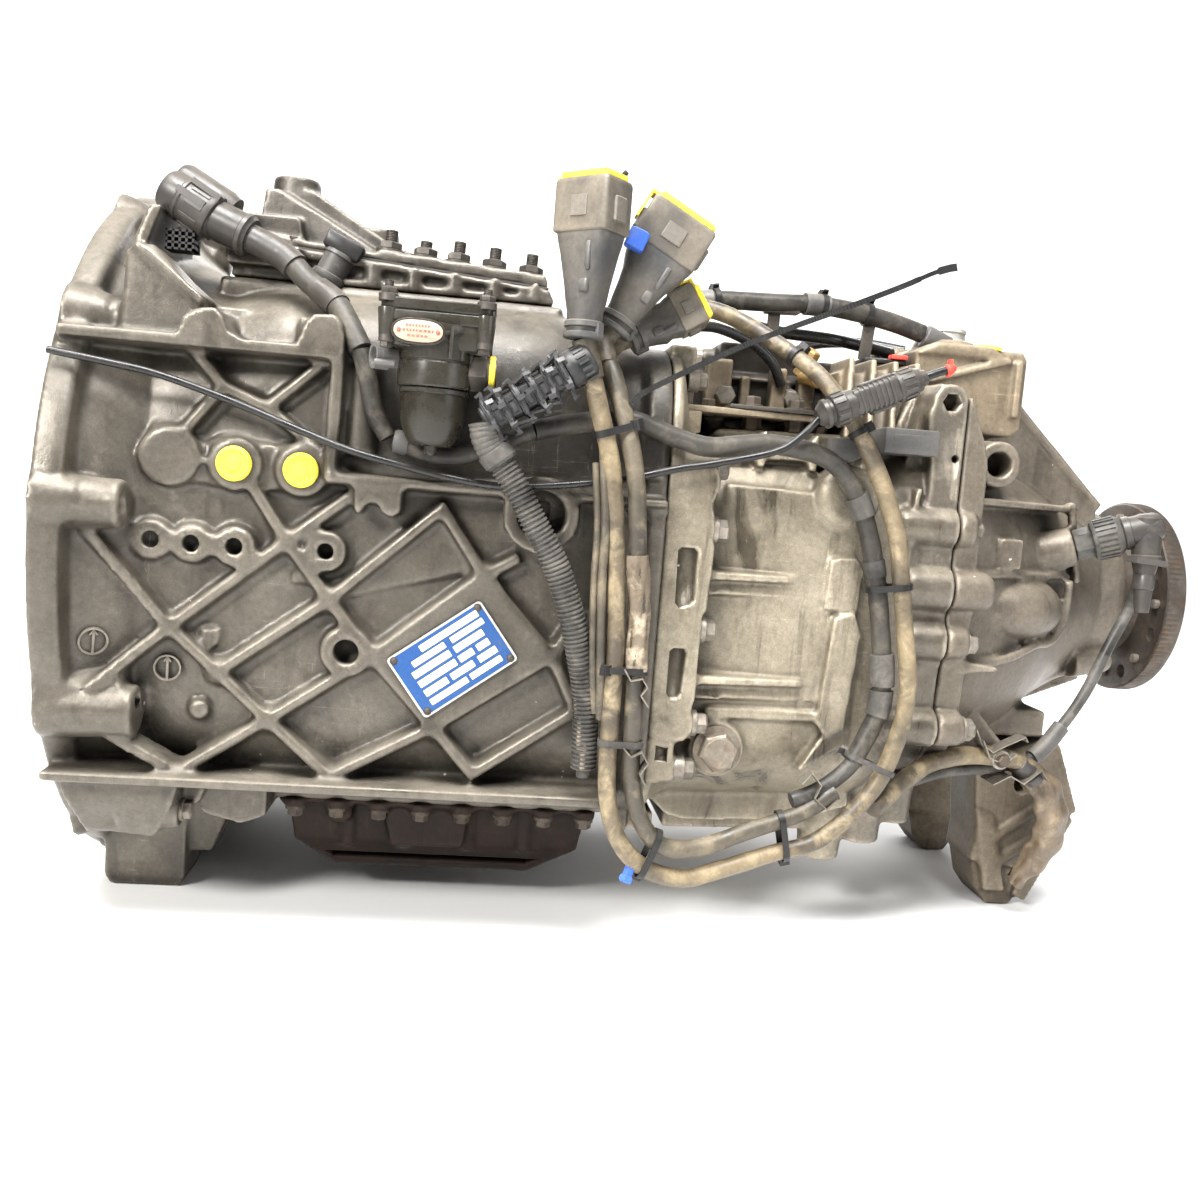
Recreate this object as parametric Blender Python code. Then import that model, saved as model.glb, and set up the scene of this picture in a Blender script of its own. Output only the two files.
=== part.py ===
"""Heavy truck manual transmission with automated shifting, twin countershafts and a range group.

Metres, +Z up. +X runs along the shafts from the bell housing to the output flange, and the
side with the harness and the nameplate faces -Y. The working frame below is in millimetres
with the shaft axis at y = z = 0 and the bell housing's mounting face at x = 0.
"""
import bpy
import bmesh
import math
from mathutils import Vector, Matrix

for ob in list(bpy.data.objects):
    bpy.data.objects.remove(ob, do_unlink=True)

# ---------------------------------------------------------------- driving dimensions (mm)
AXIS_HEIGHT = 278.0          # shaft axis above the floor
LENGTH = 924.0               # bell face to output flange face
MID_X = 462.0                # half length
MID_Y = -6.165                 # middle of the width, harness included
BELL_R = 276.0               # clutch housing flange, size 1
BELL_BOLT_R = 265.1
SPIGOT_R = 255.6
WALL = 9.0
GAP = 0.3
CASE_END = 425.0             # end of the front housing
REAR_END = 655.0             # end of the rear housing
TAIL_END = 874.0             # end of the range housing
MODULE = 5.5                 # main gear set
CENTRES = 99.0               # main shaft to countershaft
RANGE_MODULE = 5.0           # planetary range group
OUTPUT_FLANGE_R = 90.0
CABLE_R = 6.5

MM = 0.001


def world(p):
    return Vector(((p[0] - MID_X) * MM, (p[1] - MID_Y) * MM, (p[2] + AXIS_HEIGHT) * MM))


root = bpy.data.objects.new("transmission", None)
bpy.context.scene.collection.objects.link(root)


def material(name, colour, rough, metal):
    mat = bpy.data.materials.new(name)
    mat.use_nodes = True
    bsdf = mat.node_tree.nodes["Principled BSDF"]
    bsdf.inputs["Base Color"].default_value = (colour[0], colour[1], colour[2], 1.0)
    bsdf.inputs["Roughness"].default_value = rough
    bsdf.inputs["Metallic"].default_value = metal
    mat.diffuse_color = (colour[0], colour[1], colour[2], 1.0)
    return mat


# ---------------------------------------------------------------- solids in millimetres
def make(verts, faces, name="tool"):
    mesh = bpy.data.meshes.new(name)
    mesh.from_pydata([Vector(v) for v in verts], [], faces)
    bm = bmesh.new()
    bm.from_mesh(mesh)
    bmesh.ops.recalc_face_normals(bm, faces=bm.faces)
    bm.to_mesh(mesh)
    bm.free()
    mesh.update()
    ob = bpy.data.objects.new(name, mesh)
    bpy.context.scene.collection.objects.link(ob)
    return ob


def rings(loops):
    """Closed solid through loops with the same number of points, capped at both ends."""
    n = len(loops[0])
    verts = [p for loop in loops for p in loop]
    faces = [tuple(range(n))[::-1]]
    for k in range(len(loops) - 1):
        a, b = k * n, (k + 1) * n
        for i in range(n):
            j = (i + 1) % n
            faces.append((a + i, a + j, b + j, b + i))
    last = (len(loops) - 1) * n
    faces.append(tuple(last + i for i in range(n)))
    return make(verts, faces)


def section(x, cy, cz, hy, hz, e, n):
    pts = []
    for i in range(n):
        t = 2 * math.pi * (i + 0.5) / n
        c, s = math.cos(t), math.sin(t)
        pts.append((x, cy + hy * math.copysign(abs(c) ** (2.0 / e), c),
                    cz + hz * math.copysign(abs(s) ** (2.0 / e), s)))
    return pts


def loft(sections, n=32):
    return rings([section(x, cy, cz, hy, hz, e, n) for x, cy, cz, hy, hz, e in sections])


def turned(profile, n=20, y=0.0, z=0.0):
    """Solid of revolution about a line along X; profile is (x, r) from one end to the other."""
    return rings([[(x, y + r * math.cos(2 * math.pi * (i + 0.5) / n),
                    z + r * math.sin(2 * math.pi * (i + 0.5) / n)) for i in range(n)]
                  for x, r in profile])


def ring(profile, n=24, y=0.0, z=0.0):
    """Ring about a line along X; profile is a closed (x, r) polygon."""
    verts, faces = [], []
    m = len(profile)
    for i in range(n):
        t = 2 * math.pi * (i + 0.5) / n
        for x, r in profile:
            verts.append((x, y + r * math.cos(t), z + r * math.sin(t)))
    for i in range(n):
        a, b = i * m, ((i + 1) % n) * m
        for k in range(m):
            l = (k + 1) % m
            faces.append((a + k, a + l, b + l, b + k))
    return make(verts, faces)


def cylinder(p0, p1, r0, r1=None, n=12):
    p0, p1 = Vector(p0), Vector(p1)
    r1 = r0 if r1 is None else r1
    d = (p1 - p0).normalized()
    u = d.orthogonal().normalized()
    if abs(d.x) > 0.99:
        u = Vector((0, 1, 0))
    elif abs(d.y) > 0.99:
        u = Vector((1, 0, 0))
    elif abs(d.z) > 0.99:
        u = Vector((1, 0, 0))
    w = d.cross(u)
    loops = []
    for p, r in ((p0, r0), (p1, r1)):
        loops.append([tuple(p + (u * math.cos(a) + w * math.sin(a)) * r)
                      for a in [2 * math.pi * (i + 0.5) / n for i in range(n)]])
    return rings(loops)


def box(x0, x1, y0, y1, z0, z1):
    return rings([[(x0, y0, z), (x1, y0, z), (x1, y1, z), (x0, y1, z)] for z in (z0, z1)])


def slab_xz(points, y0, y1):
    """Polygon in the XZ plane, thick along Y."""
    return rings([[(x, y, z) for x, z in points] for y in (y0, y1)])


def slab_yz(points, x0, x1):
    return rings([[(x, y, z) for y, z in points] for x in (x0, x1)])


def slab_xy(points, z0, z1):
    return rings([[(x, y, z) for x, y in points] for z in (z0, z1)])


def bar_xz(a, b, width, y0, y1, grow=0.0):
    """Rib between two (x, z) points on a wall that faces -Y."""
    d = (Vector((b[0], b[1])) - Vector((a[0], a[1]))).normalized()
    s = Vector((-d.y, d.x)) * width * 0.5
    a = Vector(a) - d * grow
    b = Vector(b) + d * grow
    return slab_xz([tuple(a + s), tuple(b + s), tuple(b - s), tuple(a - s)], y0, y1)


def tilted(centre, size, angle):
    """Box turned about Y by angle, its long side along +X tilted up."""
    c, s = math.cos(angle), math.sin(angle)
    hx, hy, hz = size[0] / 2, size[1] / 2, size[2] / 2
    pts = [(centre[0] + u * c - v * s, centre[2] + u * s + v * c)
           for u, v in ((-hx, -hz), (hx, -hz), (hx, hz), (-hx, hz))]
    return slab_xz(pts, centre[1] - hy, centre[1] + hy)


def combine(base, others, operation):
    if not others:
        return base
    group = bpy.data.collections.new("operands")
    for ob in others:
        group.objects.link(ob)
    mod = base.modifiers.new("cut", "BOOLEAN")
    mod.operation = operation
    mod.operand_type = "COLLECTION"
    mod.collection = group
    mod.solver = "EXACT"
    mod.use_self = operation == "UNION"
    dg = bpy.context.evaluated_depsgraph_get()
    dg.update()
    mesh = bpy.data.meshes.new_from_object(base.evaluated_get(dg))
    base.modifiers.clear()
    base.data = mesh
    for ob in others:
        bpy.data.objects.remove(ob, do_unlink=True)
    bpy.data.collections.remove(group)
    return base


def union(base, *others):
    return combine(base, list(others), "UNION")


def cut(base, *others):
    for ob in others:
        combine(base, [ob], "DIFFERENCE")
    return base


def finish(name, ob, colour, rough=0.5, metal=0.0, origin=(0.0, 0.0, 0.0), angle=35.0):
    """Name a solid, bring it to metres and put its origin on its own axis."""
    o = world(origin) if origin != (0.0, 0.0, 0.0) else Vector((0, 0, 0))
    for v in ob.data.vertices:
        v.co = world(v.co) - o
    ob.name = name
    ob.data.name = name
    ob.location = o
    ob.data.materials.clear()
    ob.data.materials.append(material(name, colour, rough, metal))
    ob.data.shade_smooth()
    ob.data.set_sharp_from_angle(angle=math.radians(angle))
    ob.parent = root
    return ob


def route(points, step):
    """Smooth run of points through the given ones, about one step apart."""
    pts = [Vector(p) for p in points]
    ends = [pts[0] * 2 - pts[1]] + pts + [pts[-1] * 2 - pts[-2]]
    out = [pts[0]]
    for k in range(1, len(ends) - 2):
        a, b, c, d = ends[k - 1], ends[k], ends[k + 1], ends[k + 2]
        m = max(1, int(round((c - b).length / step)))
        for i in range(1, m + 1):
            t = i / m
            out.append(0.5 * ((2 * b) + (c - a) * t + (2 * a - 5 * b + 4 * c - d) * t * t
                              + (3 * b - a - 3 * c + d) * t ** 3))
    return out


def tube(name, points, radius, colour, rough=0.6, step=26.0, resolution=2):
    curve = bpy.data.curves.new(name, "CURVE")
    curve.dimensions = "3D"
    curve.bevel_depth = radius * MM
    curve.bevel_resolution = resolution
    curve.use_fill_caps = True
    pts = route(points, step)
    spline = curve.splines.new("POLY")
    spline.points.add(len(pts) - 1)
    for p, q in zip(spline.points, pts):
        w = world(q)
        p.co = (w.x, w.y, w.z, 1.0)
        p.radius = 1.0
    ob = bpy.data.objects.new(name, curve)
    bpy.context.scene.collection.objects.link(ob)
    curve.materials.append(material(name, colour, rough, 0.0))
    ob.parent = root
    return ob


def tube_solid(points, radius, step=22.0, n=8):
    """The same kind of run as a plain solid, to join to a moulded plug."""
    pts = route(points, step)
    loops = []
    side = None
    for k, p in enumerate(pts):
        d = (pts[min(k + 1, len(pts) - 1)] - pts[max(k - 1, 0)]).normalized()
        if side is None:
            side = d.orthogonal().normalized()
        side = (side - d * side.dot(d)).normalized()
        up = d.cross(side)
        loops.append([tuple(p + (side * math.cos(2 * math.pi * i / n)
                                 + up * math.sin(2 * math.pi * i / n)) * radius) for i in range(n)])
    return rings(loops)


# ---------------------------------------------------------------- colours
CAST_FRONT = (0.20, 0.17, 0.14)
CAST_REAR = (0.40, 0.35, 0.27)
CAST_RANGE = (0.18, 0.155, 0.125)
CAST_DARK = (0.08, 0.065, 0.05)
STEEL = (0.45, 0.44, 0.42)
DARK_STEEL = (0.16, 0.15, 0.14)
PLASTIC = (0.05, 0.05, 0.05)
GREY_PLASTIC = (0.13, 0.12, 0.11)
YELLOW = (0.80, 0.62, 0.08)
SHEATH = (0.28, 0.22, 0.14)
BRONZE = (0.42, 0.31, 0.14)

# ================================================================ front housing
RIB_Y = -240.0
RIB_BASE = -224.0
LATTICE = {"A": (83, -54), "B": (117, -84), "C": (153, -116), "D": (160, 11), "E": (191, -28),
           "G": (223, -66), "H": (266, 42), "I": (298, -3), "J": (269, -115), "K": (33, 9),
           "Q": (36, -97), "L": (299, -148), "M": (93, -157), "N": (198, -155), "O": (136, 46),
           "P": (206, 49), "R": (371, -97), "S": (369, -27), "T": (351, -58), "V": (320, 10)}
RIBS = ("KA", "AB", "BC", "CN", "QA", "AD", "DP", "MC", "CG", "GI", "IV", "BE", "EH",
        "OD", "DE", "EG", "GJ", "JL", "NJ", "JT", "TS", "HI", "IT", "TR", "LR")
UPPER = (((90, 138), (112, 114)), ((112, 114), (142, 102)), ((142, 102), (181, 138)),
         ((142, 102), (178, 76)), ((112, 114), (89, 84)))

front = loft([(0, 0, 0, BELL_R, BELL_R, 2), (20, 0, 0, BELL_R, BELL_R, 2),
              (23, 0, 0, 258, 258, 2.15), (60, 0, -2, 238, 222, 2.8),
              (104, 0, 0, 229, 198, 4.2), (150, 0, 6, 228, 192, 6), (340, 0, 6, 226, 192, 6),
              (404, 0, -3, 225, 182, 6), (408, 0, -6, 236, 184, 6), (CASE_END, 0, -6, 236, 184, 6)])
adds = []
for k, (a, b) in enumerate(RIBS):
    adds.append(bar_xz(LATTICE[a], LATTICE[b], 8.0, RIB_Y + 0.03 * k, RIB_BASE, 3.0))
for k, (a, b) in enumerate(UPPER):
    adds.append(bar_xz(a, b, 7.0, RIB_Y + 2.0 + 0.05 * k, RIB_BASE, 3.0))
adds += [box(4, 190, -250, -218, 137.5, 145), box(184, 191.5, -248, -218, 56, 141),
         box(186, 312, -249.5, -218, 54, 61), slab_xz([(205, 58), (238, 58), (238, 37), (232, 34),
                                                       (208, 34), (205, 38)], -249, -218),
         box(4, 400, -250.5, -218, -165, -157.5), box(300, 425, -249.5, -218, 55, 60)]
for x, z, r in ((79, 64, 20), (123, 62, 17), (168, 61, 17)):
    adds.append(cylinder((x, RIB_Y, z), (x, -215, z), r, r + 2, 14))
for x, z, r in ((69, 6, 13), (96, 5, 13), (125, 5, 13), (187, 6, 13), (205, -64, 17)):
    adds.append(cylinder((x, RIB_Y + 3, z), (x, -215, z), r, r + 1, 10))
adds.append(cylinder((206, -228, 77), (206, -228, 133), 11, 11, 10))
adds.append(slab_xz([(236, -68), (302, -19), (324, -66), (270, -106)], RIB_Y + 1.0, RIB_BASE))
# lifting eye that stands off the wall
eye = cylinder((335, -250, 43), (335, -240, 43), 27, 27, 20)
eye = cut(eye, cylinder((335, -255, 43), (335, -235, 43), 17.5, 17.5, 16))
adds.append(eye)
# flange bosses, one at each flange bolt
BELL_HOLES = [143.5 + 30 * k for k in range(12)]
for k, a in enumerate(BELL_HOLES):
    t = math.radians(a)
    long_one = 54 if k in (0, 1, 2, 10, 9, 8) else 36
    adds.append(cylinder((1.0, 258 * math.cos(t), 258 * math.sin(t)),
                         (long_one, 258 * math.cos(t), 258 * math.sin(t)), 17.5, 17.0, 10))
# two feet under the bell, dowel pads on top
for s in (-1, 1):
    adds.append(box(16, 78, s * 112 - 28, s * 112 + 28, -278, -205))
    adds.append(box(30, 120, s * 196 - 5, s * 196 + 5, 120, 172))
# far side: plain bars
for k, (a, b) in enumerate(("AB", "AD", "DE", "BE", "EG")):
    s = bar_xz(LATTICE[a], LATTICE[b], 8.0, 224.0, 238.0 + 0.05 * k, 3.0)
    adds.append(s)
adds += [box(4, 400, 218, 248, -165, -157.5), box(4, 400, 218, 248, 54, 61)]
front = union(front, *adds)
front = cut(front,
            loft([(-3, 0, 0, SPIGOT_R, SPIGOT_R, 2), (6, 0, 0, SPIGOT_R, SPIGOT_R, 2),
                  (7, 0, 0, 249, 249, 2.1), (23, 0, 0, 247, 247, 2.1), (60, 0, -2, 228, 212, 2.8),
                  (104, 0, 0, 219, 188, 4.2), (122, 0, 2, 219, 184, 5)], 32),
            loft([(138, 0, 6, 219, 182, 6), (340, 0, 6, 217, 183, 6), (404, 0, -3, 216, 173, 6),
                  (430, 0, -4, 216, 172, 6)], 32),
            cylinder((110, 0, 0), (150, 0, 0), 22.8, 22.8, 24))
for a in BELL_HOLES:
    t = math.radians(a)
    cut(front, cylinder((-2, BELL_BOLT_R * math.cos(t), BELL_BOLT_R * math.sin(t)),
                        (60, BELL_BOLT_R * math.cos(t), BELL_BOLT_R * math.sin(t)), 6.0, 6.0, 8))
for x, z, r in ((69, 6, 6.5), (96, 5, 6.5), (125, 5, 6.5), (187, 6, 6.0), (205, -64, 10)):
    cut(front, cylinder((x, -250, z), (x, -229.5, z), r, r, 8))
finish("front_housing", front, CAST_FRONT, 0.62, 0.35)

# caps in the ledge bosses
for name, x, z in (("sealing_cap_front", 123, 62), ("sealing_cap_rear", 168, 61)):
    cap = union(cylinder((x, RIB_Y - GAP, z), (x, RIB_Y - 3.5, z), 13.5, 13.0, 18),
                cylinder((x, RIB_Y - 3.0, z), (x, RIB_Y - 5.0, z), 10.0, 9.0, 18))
    finish(name, cap, YELLOW, 0.45)

PLATE_ANGLE = math.atan2(47, 63)
plate = tilted((280, RIB_Y - GAP - 0.6, -64), (78, 1.2, 50), PLATE_ANGLE)
finish("nameplate", plate, (0.08, 0.20, 0.48), 0.4, 0.3)

# oil pan under the front housing
pan = slab_xz([(153, -187), (398, -187), (394, -232), (352, -254), (190, -254), (158, -230)],
              -168, 168)
pan = cut(pan, slab_xz([(162, -180), (388, -180), (385, -227), (348, -247), (194, -247),
                        (167, -225)], -160, 160))
finish("oil_pan", pan, CAST_DARK, 0.7, 0.2)

# ================================================================ rear housing
rear = loft([(CASE_END + GAP, 0, -6, 236, 184, 6), (447, 0, -6, 236, 184, 6),
             (449, 0, -33, 214, 152, 4.5), (600, 0, -30, 210, 150, 4.5),
             (636, 0, -8, 203, 154, 4.5), (REAR_END, 0, -4, 202, 152, 4.5)])
adds = []
for z in (-69, 8):
    adds.append(slab_xy([(440, -236), (462, -229), (552, -217), (560, -200), (440, -200)],
                        z - 4, z + 4))
    adds.append(slab_xy([(440, 236), (462, 229), (552, 217), (560, 200), (440, 200)], z - 4, z + 4))
for s in (-1, 1):
    for z in (55, 8, -33, -101):
        adds.append(cylinder((612, s * 200, z), (REAR_END, s * 200, z), 13.5, 14.5, 8))
    adds.append(slab_xz([(606, 60), (624, 146), (634, 163), (650, 163), (654.9, 150), (654.9, 60)],
                        min(s * 198, s * 150), max(s * 198, s * 150)))
adds.append(cylinder((641, -204, 150), (641, -160, 150), 13, 13, 12))
adds.append(cylinder((481, -217, -124), (481, -190, -124), 20, 22, 16))
for x in (470, 530):
    adds.append(cylinder((x, -150, 90), (x, -150, 127.6), 10, 9, 10))
for z in (41, -33, -103, 85):
    for s in (-1, 1):
        adds.append(cylinder((440, s * 222, z), (460, s * 222, z), 12, 11, 8))
rear = union(rear, *adds)
rear = cut(rear,
           loft([(441, 0, -33, 204, 142, 4.5), (600, 0, -30, 200, 140, 4.5),
                 (636, 0, -8, 193, 144, 4.5), (660, 0, -4, 192, 142, 4.5)]),
           cylinder((420, 0, 0), (450, 0, 0), 40, 40, 20),
           cylinder((641, -210, 150), (641, -190, 150), 6, 6, 6))
finish("rear_housing", rear, CAST_REAR, 0.6, 0.35)

plug = union(cylinder((481, -217 - GAP, -124), (481, -220, -124), 18, 18, 18),
             cylinder((481, -219.5, -124), (481, -231, -124), 14, 13.5, 6))
finish("oil_level_plug", plug, STEEL, 0.45, 0.8)

# ================================================================ range housing
D_SENSOR = Vector((42, -18, 16)).normalized()     # axis of the output speed sensor
tail = loft([(REAR_END + GAP, 0, -4, 202, 152, 4.5), (676, 0, -4, 202, 152, 4.5),
             (678, 0, -4, 180, 136, 3.6), (720, 0, -8, 162, 132, 3.0),
             (760, 0, -10, 138, 122, 2.5), (800, 0, -4, 112, 102, 2.1),
             (832, 0, 0, 92, 90, 2.0), (TAIL_END, 0, 0, 78, 78, 2.0)])
adds = []
for s in (-1, 1):
    adds.append(slab_xz([(REAR_END + GAP, 60), (REAR_END + GAP, 148), (664, 136), (675, 112),
                         (675.9, 60)], min(s * 198, s * 150), max(s * 198, s * 150)))
    for z in (55, 8, -33, -101):
        adds.append(cylinder((REAR_END + GAP, s * 200, z), (684, s * 200, z), 14.5, 13, 8))
    adds.append(slab_xz([(737, 80), (737, 184), (745, 184), (842, 84), (848, 50)],
                        s * 60 - 5, s * 60 + 5))
    for z in (78, 21):
        adds.append(slab_xy([(672, s * 186), (700, s * 178), (792, s * 122), (800, s * 60),
                             (672, s * 60)], z - 3.5, z + 3.5))
adds.append(cylinder((697, -174, 108), (697, -100, 108), 14, 15, 14))
adds.append(cylinder(Vector((792.0, -127.0, 48.0)) - D_SENSOR * 62, (792.0, -127.0, 48.0), 22, 16, 12))
adds.append(slab_xz([(668, -54), (700, -52), (700, -46), (668, -48)], -201, -150))
tail = union(tail, *adds)
tail = cut(tail,
           loft([(650, 0, -4, 192, 142, 4.5), (676, 0, -4, 170, 127, 3.6),
                 (720, 0, -8, 152, 122, 3.0), (760, 0, -10, 128, 112, 2.5),
                 (800, 0, -4, 102, 92, 2.1), (822, 0, 0, 78, 78, 2.0)]),
           cylinder((815, 0, 0), (TAIL_END + 4, 0, 0), 60.3, 60.3, 24),
           cylinder((697, -180, 108), (697, -160, 108), 8, 8, 12))
finish("range_housing", tail, CAST_RANGE, 0.6, 0.3)

# support bracket under the range housing
foot = slab_xz([(738, -148), (764, -148), (806, -122), (829, -187), (798, -262), (786, -278),
                (760, -278), (748, -216)], -108, 108)
foot = cut(foot, box(700, 860, -52, 52, -300, -172),
           cylinder((783, -120, -165), (783, 120, -165), 9, 9, 10))
finish("rear_bracket", foot, CAST_RANGE, 0.65, 0.3)

# ================================================================ top of the case
cyl_box = slab_xz([(640, 166), (640, 198), (650, 204), (732, 204), (736, 198), (736, 140),
                   (728, 134), (682, 134), (682, 166)], -122, 60)
cyl_box = union(cyl_box, cylinder((674, -92, 200), (674, -92, 210), 26, 24, 18),
                cylinder((674, -92, 209), (674, -92, 222), 17, 16, 18))
finish("range_cylinder", cyl_box, CAST_REAR, 0.55, 0.4)

block = box(452, 596, -100, 74, 122, 172)
block = union(block, box(482, 560, -96, -40, 170, 196), box(562, 592, -90, -30, 170, 186),
              cylinder((568, 20, 168), (568, 20, 190), 20, 18, 12))
finish("valve_block", block, DARK_STEEL, 0.6, 0.2)


base = slab_xz([(104, 198.4), (334, 198.4), (334, 209), (330, 211.3), (104, 226)], -172, 30)
base = union(base, box(96, 150, -180, -120, 205, 222))
finish("shift_actuator_housing", base, CAST_DARK, 0.6, 0.4)
cover = slab_xz([(105, 226.4), (329, 211.8), (322, 218), (212, 236), (156, 268), (118, 268),
                 (105, 250)], -168, 26)
cover = union(cover, cylinder((134, -120, 262), (134, -120, 279), 17, 15, 14),
              cylinder((190, -60, 230), (190, -60, 262), 22, 20, 14))
finish("shift_actuator_cover", cover, CAST_REAR, 0.55, 0.5)

# pressure regulator with its bowl
RX, RY = 256.0, -262.0
head = union(box(219, 293, -285, -240, 163, 178),
             cylinder((RX, RY, 165), (RX, RY, 122.5), 25, 25, 18),
             cylinder((236, RY, 141), (209, RY, 141), 5, 5, 10),
             cylinder((276, RY, 136), (294, RY, 136), 12, 12, 6),
             box(240, 272, -244, -229, 128, 165))
finish("pressure_regulator", head, PLASTIC, 0.45, 0.4)
bowl = union(cylinder((RX, RY, 122.2), (RX, RY, 98), 22, 22, 18),
             cylinder((RX, RY, 99), (RX, RY, 84), 18, 15, 18))
finish("regulator_bowl", bowl, PLASTIC, 0.4, 0.4)

# ================================================================ harness
def plug_body(bottom, top, y, w0, w1, depth, colour, name, collar=13.0):
    """Cable plug housing: a round collar, a tapering body and a square head."""
    a, b = Vector((bottom[0], bottom[1])), Vector((top[0], top[1]))
    d = (b - a).normalized()
    s = Vector((-d.y, d.x))
    length = (b - a).length
    pts = []
    for t, w in ((0.18, w0), (0.62, w1 * 0.92), (0.66, w1), (1.0, w1)):
        pts.append((a + d * length * t, w))
    left = [tuple(p + s * w / 2) for p, w in pts]
    right = [tuple(p - s * w / 2) for p, w in reversed(pts)]
    body = slab_xz(left + right, y - depth / 2, y + depth / 2)
    p0, p1 = a, a + d * length * 0.24
    body = union(body, cylinder((p0.x, y, p0.y), (p1.x, y, p1.y), collar - 1, collar, 14))
    socket_a = a + d * length * 0.72
    socket_b = a + d * length * 1.1
    body = cut(body, bar_xz(tuple(socket_a), tuple(socket_b), w1 - 8, y - depth / 2 + 4,
                            y + depth / 2 - 4))
    finish(name, body, colour, 0.65)
    return d, s, length


CONNECTORS = (("connector_large_a", (353, 163), (353, 266), -272.0, 27, 43, 27, 12.5),
              ("connector_large_b", (375, 174), (419, 256), -242.0, 28, 44, 26, 12.5),
              ("connector_small", (390, 173), (439, 202), -214.0, 24, 30, 24, 11.0))
LOCK_AXES = {}
for k, (name, lo, hi, y, w0, w1, depth, collar) in enumerate(CONNECTORS):
    d, s, length = plug_body(lo, hi, y, w0, w1, depth, GREY_PLASTIC, name, collar)
    tip = Vector(hi)
    lock_name = ("connector_lock_a", "connector_lock_b", "connector_lock_small")[k]
    centre = tip + d * (GAP + 1.6)
    half = w1 / 2 - 3
    a = centre - s * half
    b = centre + s * half
    lock = bar_xz(tuple(a), tuple(b), 3.2, y - depth / 2 + 2, y + depth / 2 - 2)
    finish(lock_name, lock, YELLOW, 0.45, origin=(centre.x, y, centre.y))
    LOCK_AXES[lock_name] = s

cluster = tilted((318, -272, 122), (66, 21, 28), math.radians(35))
cluster = union(cluster, tilted((308, -272, 122), (9, 25, 36), math.radians(35)),
                tilted((326, -272, 127), (9, 25, 34), math.radians(35)))
finish("harness_splitter", cluster, PLASTIC, 0.6)

tube("harness_cable_outer",
     [(354, -272, 161), (366, -270, 124), (380, -267, 78), (388, -266, 17), (392, -266, -39),
      (393, -266, -96), (395, -264, -147), (406, -262, -183), (427, -258, -204), (456, -252, -213),
      (482, -247, -208), (523, -242, -195), (561, -240, -182), (597, -238, -145),
      (613, -238, -103), (617, -238, -66), (613, -238, -38), (605, -238, 4), (597, -238, 44),
      (585, -238, 76), (570, -234, 107), (552, -228, 136), (533, -215, 160), (508, -190, 182),
      (476, -170, 202), (452, -160, 210)], CABLE_R, SHEATH, step=32.0)
tube("harness_cable_inner",
     [(374.0, -242, 172.2), (368.4, -242.5, 161.5), (379, -256, 138), (396, -266, 79), (403, -266, 18), (408, -266, -38),
      (409, -266, -95), (412, -264, -139), (422, -262, -170), (440, -258, -188), (468, -252, -189),
      (505, -247, -176), (543, -242, -163), (569, -239, -146)], CABLE_R, SHEATH, step=32.0)
tube("branch_hose",
     [(582, -234, -124), (591, -231, -106), (599, -229, -86), (600, -229, -62), (595, -229, -26),
      (588, -229, 10), (577, -229, 50), (564, -230, 76), (549, -233, 93), (530, -236, 102),
      (495, -236, 106), (453, -244, 100), (428, -245, 104), (409, -244, 110), (390, -244, 114),
      (353, -247, 108), (326, -251, 101)], 7.4, (0.10, 0.09, 0.075), step=32.0)
tube("corrugated_conduit",
     [(304, -268, 77), (315, -268, 62), (329, -268, 39), (346, -266, 11), (359, -264, -21),
      (367, -261, -48), (374, -257, -77), (377, -254, -106), (378, -252, -134)],
     9.4, (0.16, 0.145, 0.125), step=32.0)

# thin lead with its moulded inline plug
lead = tube_solid([(3, -254, 127), (42, -254, 122), (74, -252, 117), (120, -250, 104),
                   (167, -252, 88), (202, -255, 77), (236, -256, 70), (270, -256, 64),
                   (305, -256, 61), (347, -256, 65), (392, -254.5, 73), (429, -252, 83),
                   (452, -251, 88), (496, -250, 100), (514, -249, 112), (531, -248, 131)],
                  2.6, 24.0, 6)
lead = union(lead, cylinder((529, -248, 129), (552, -247.4, 140), 9, 12, 12),
             tilted((566, -247, 146), (36, 20, 20), math.radians(23.5)),
             cylinder((580, -246.6, 152), (600, -246, 160.5), 11, 9, 12),
             cylinder((598, -246, 160), (619, -246, 169), 3.4, 3.4, 8))
finish("sensor_lead", lead, (0.03, 0.03, 0.035), 0.4)

# output speed sensor in the range housing, and the elbow plug with its cable
P_SENSOR = Vector((792.0, -127.0, 48.0)) + D_SENSOR * 0.6
sensor = union(cylinder(P_SENSOR, P_SENSOR + D_SENSOR * 22, 13, 13, 14),
               cylinder(P_SENSOR + D_SENSOR * 16, P_SENSOR + D_SENSOR * 38, 17, 17, 16))
finish("output_speed_sensor", sensor, GREY_PLASTIC, 0.6)
Q = P_SENSOR + D_SENSOR * 38.4
elbow = union(cylinder(Q, Q + D_SENSOR * 22, 14, 14, 12),
              cylinder(Q + D_SENSOR * 19 + Vector((0, 0, 10)), Q + D_SENSOR * 19 + Vector((1, -2, -32)),
                       12, 10, 10),
              tube_solid([tuple(Q + D_SENSOR * 19 + Vector((1, -2, -28))), (844, -136, 0),
                          (828, -138, -34), (810, -142, -74), (790, -146, -104),
                          (764, -152, -131), (725, -162, -139), (686, -172, -141),
                          (651, -186, -147), (630, -197, -155)], 4.6, 24.0, 8))
finish("sensor_cable", elbow, SHEATH, 0.6)

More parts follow.
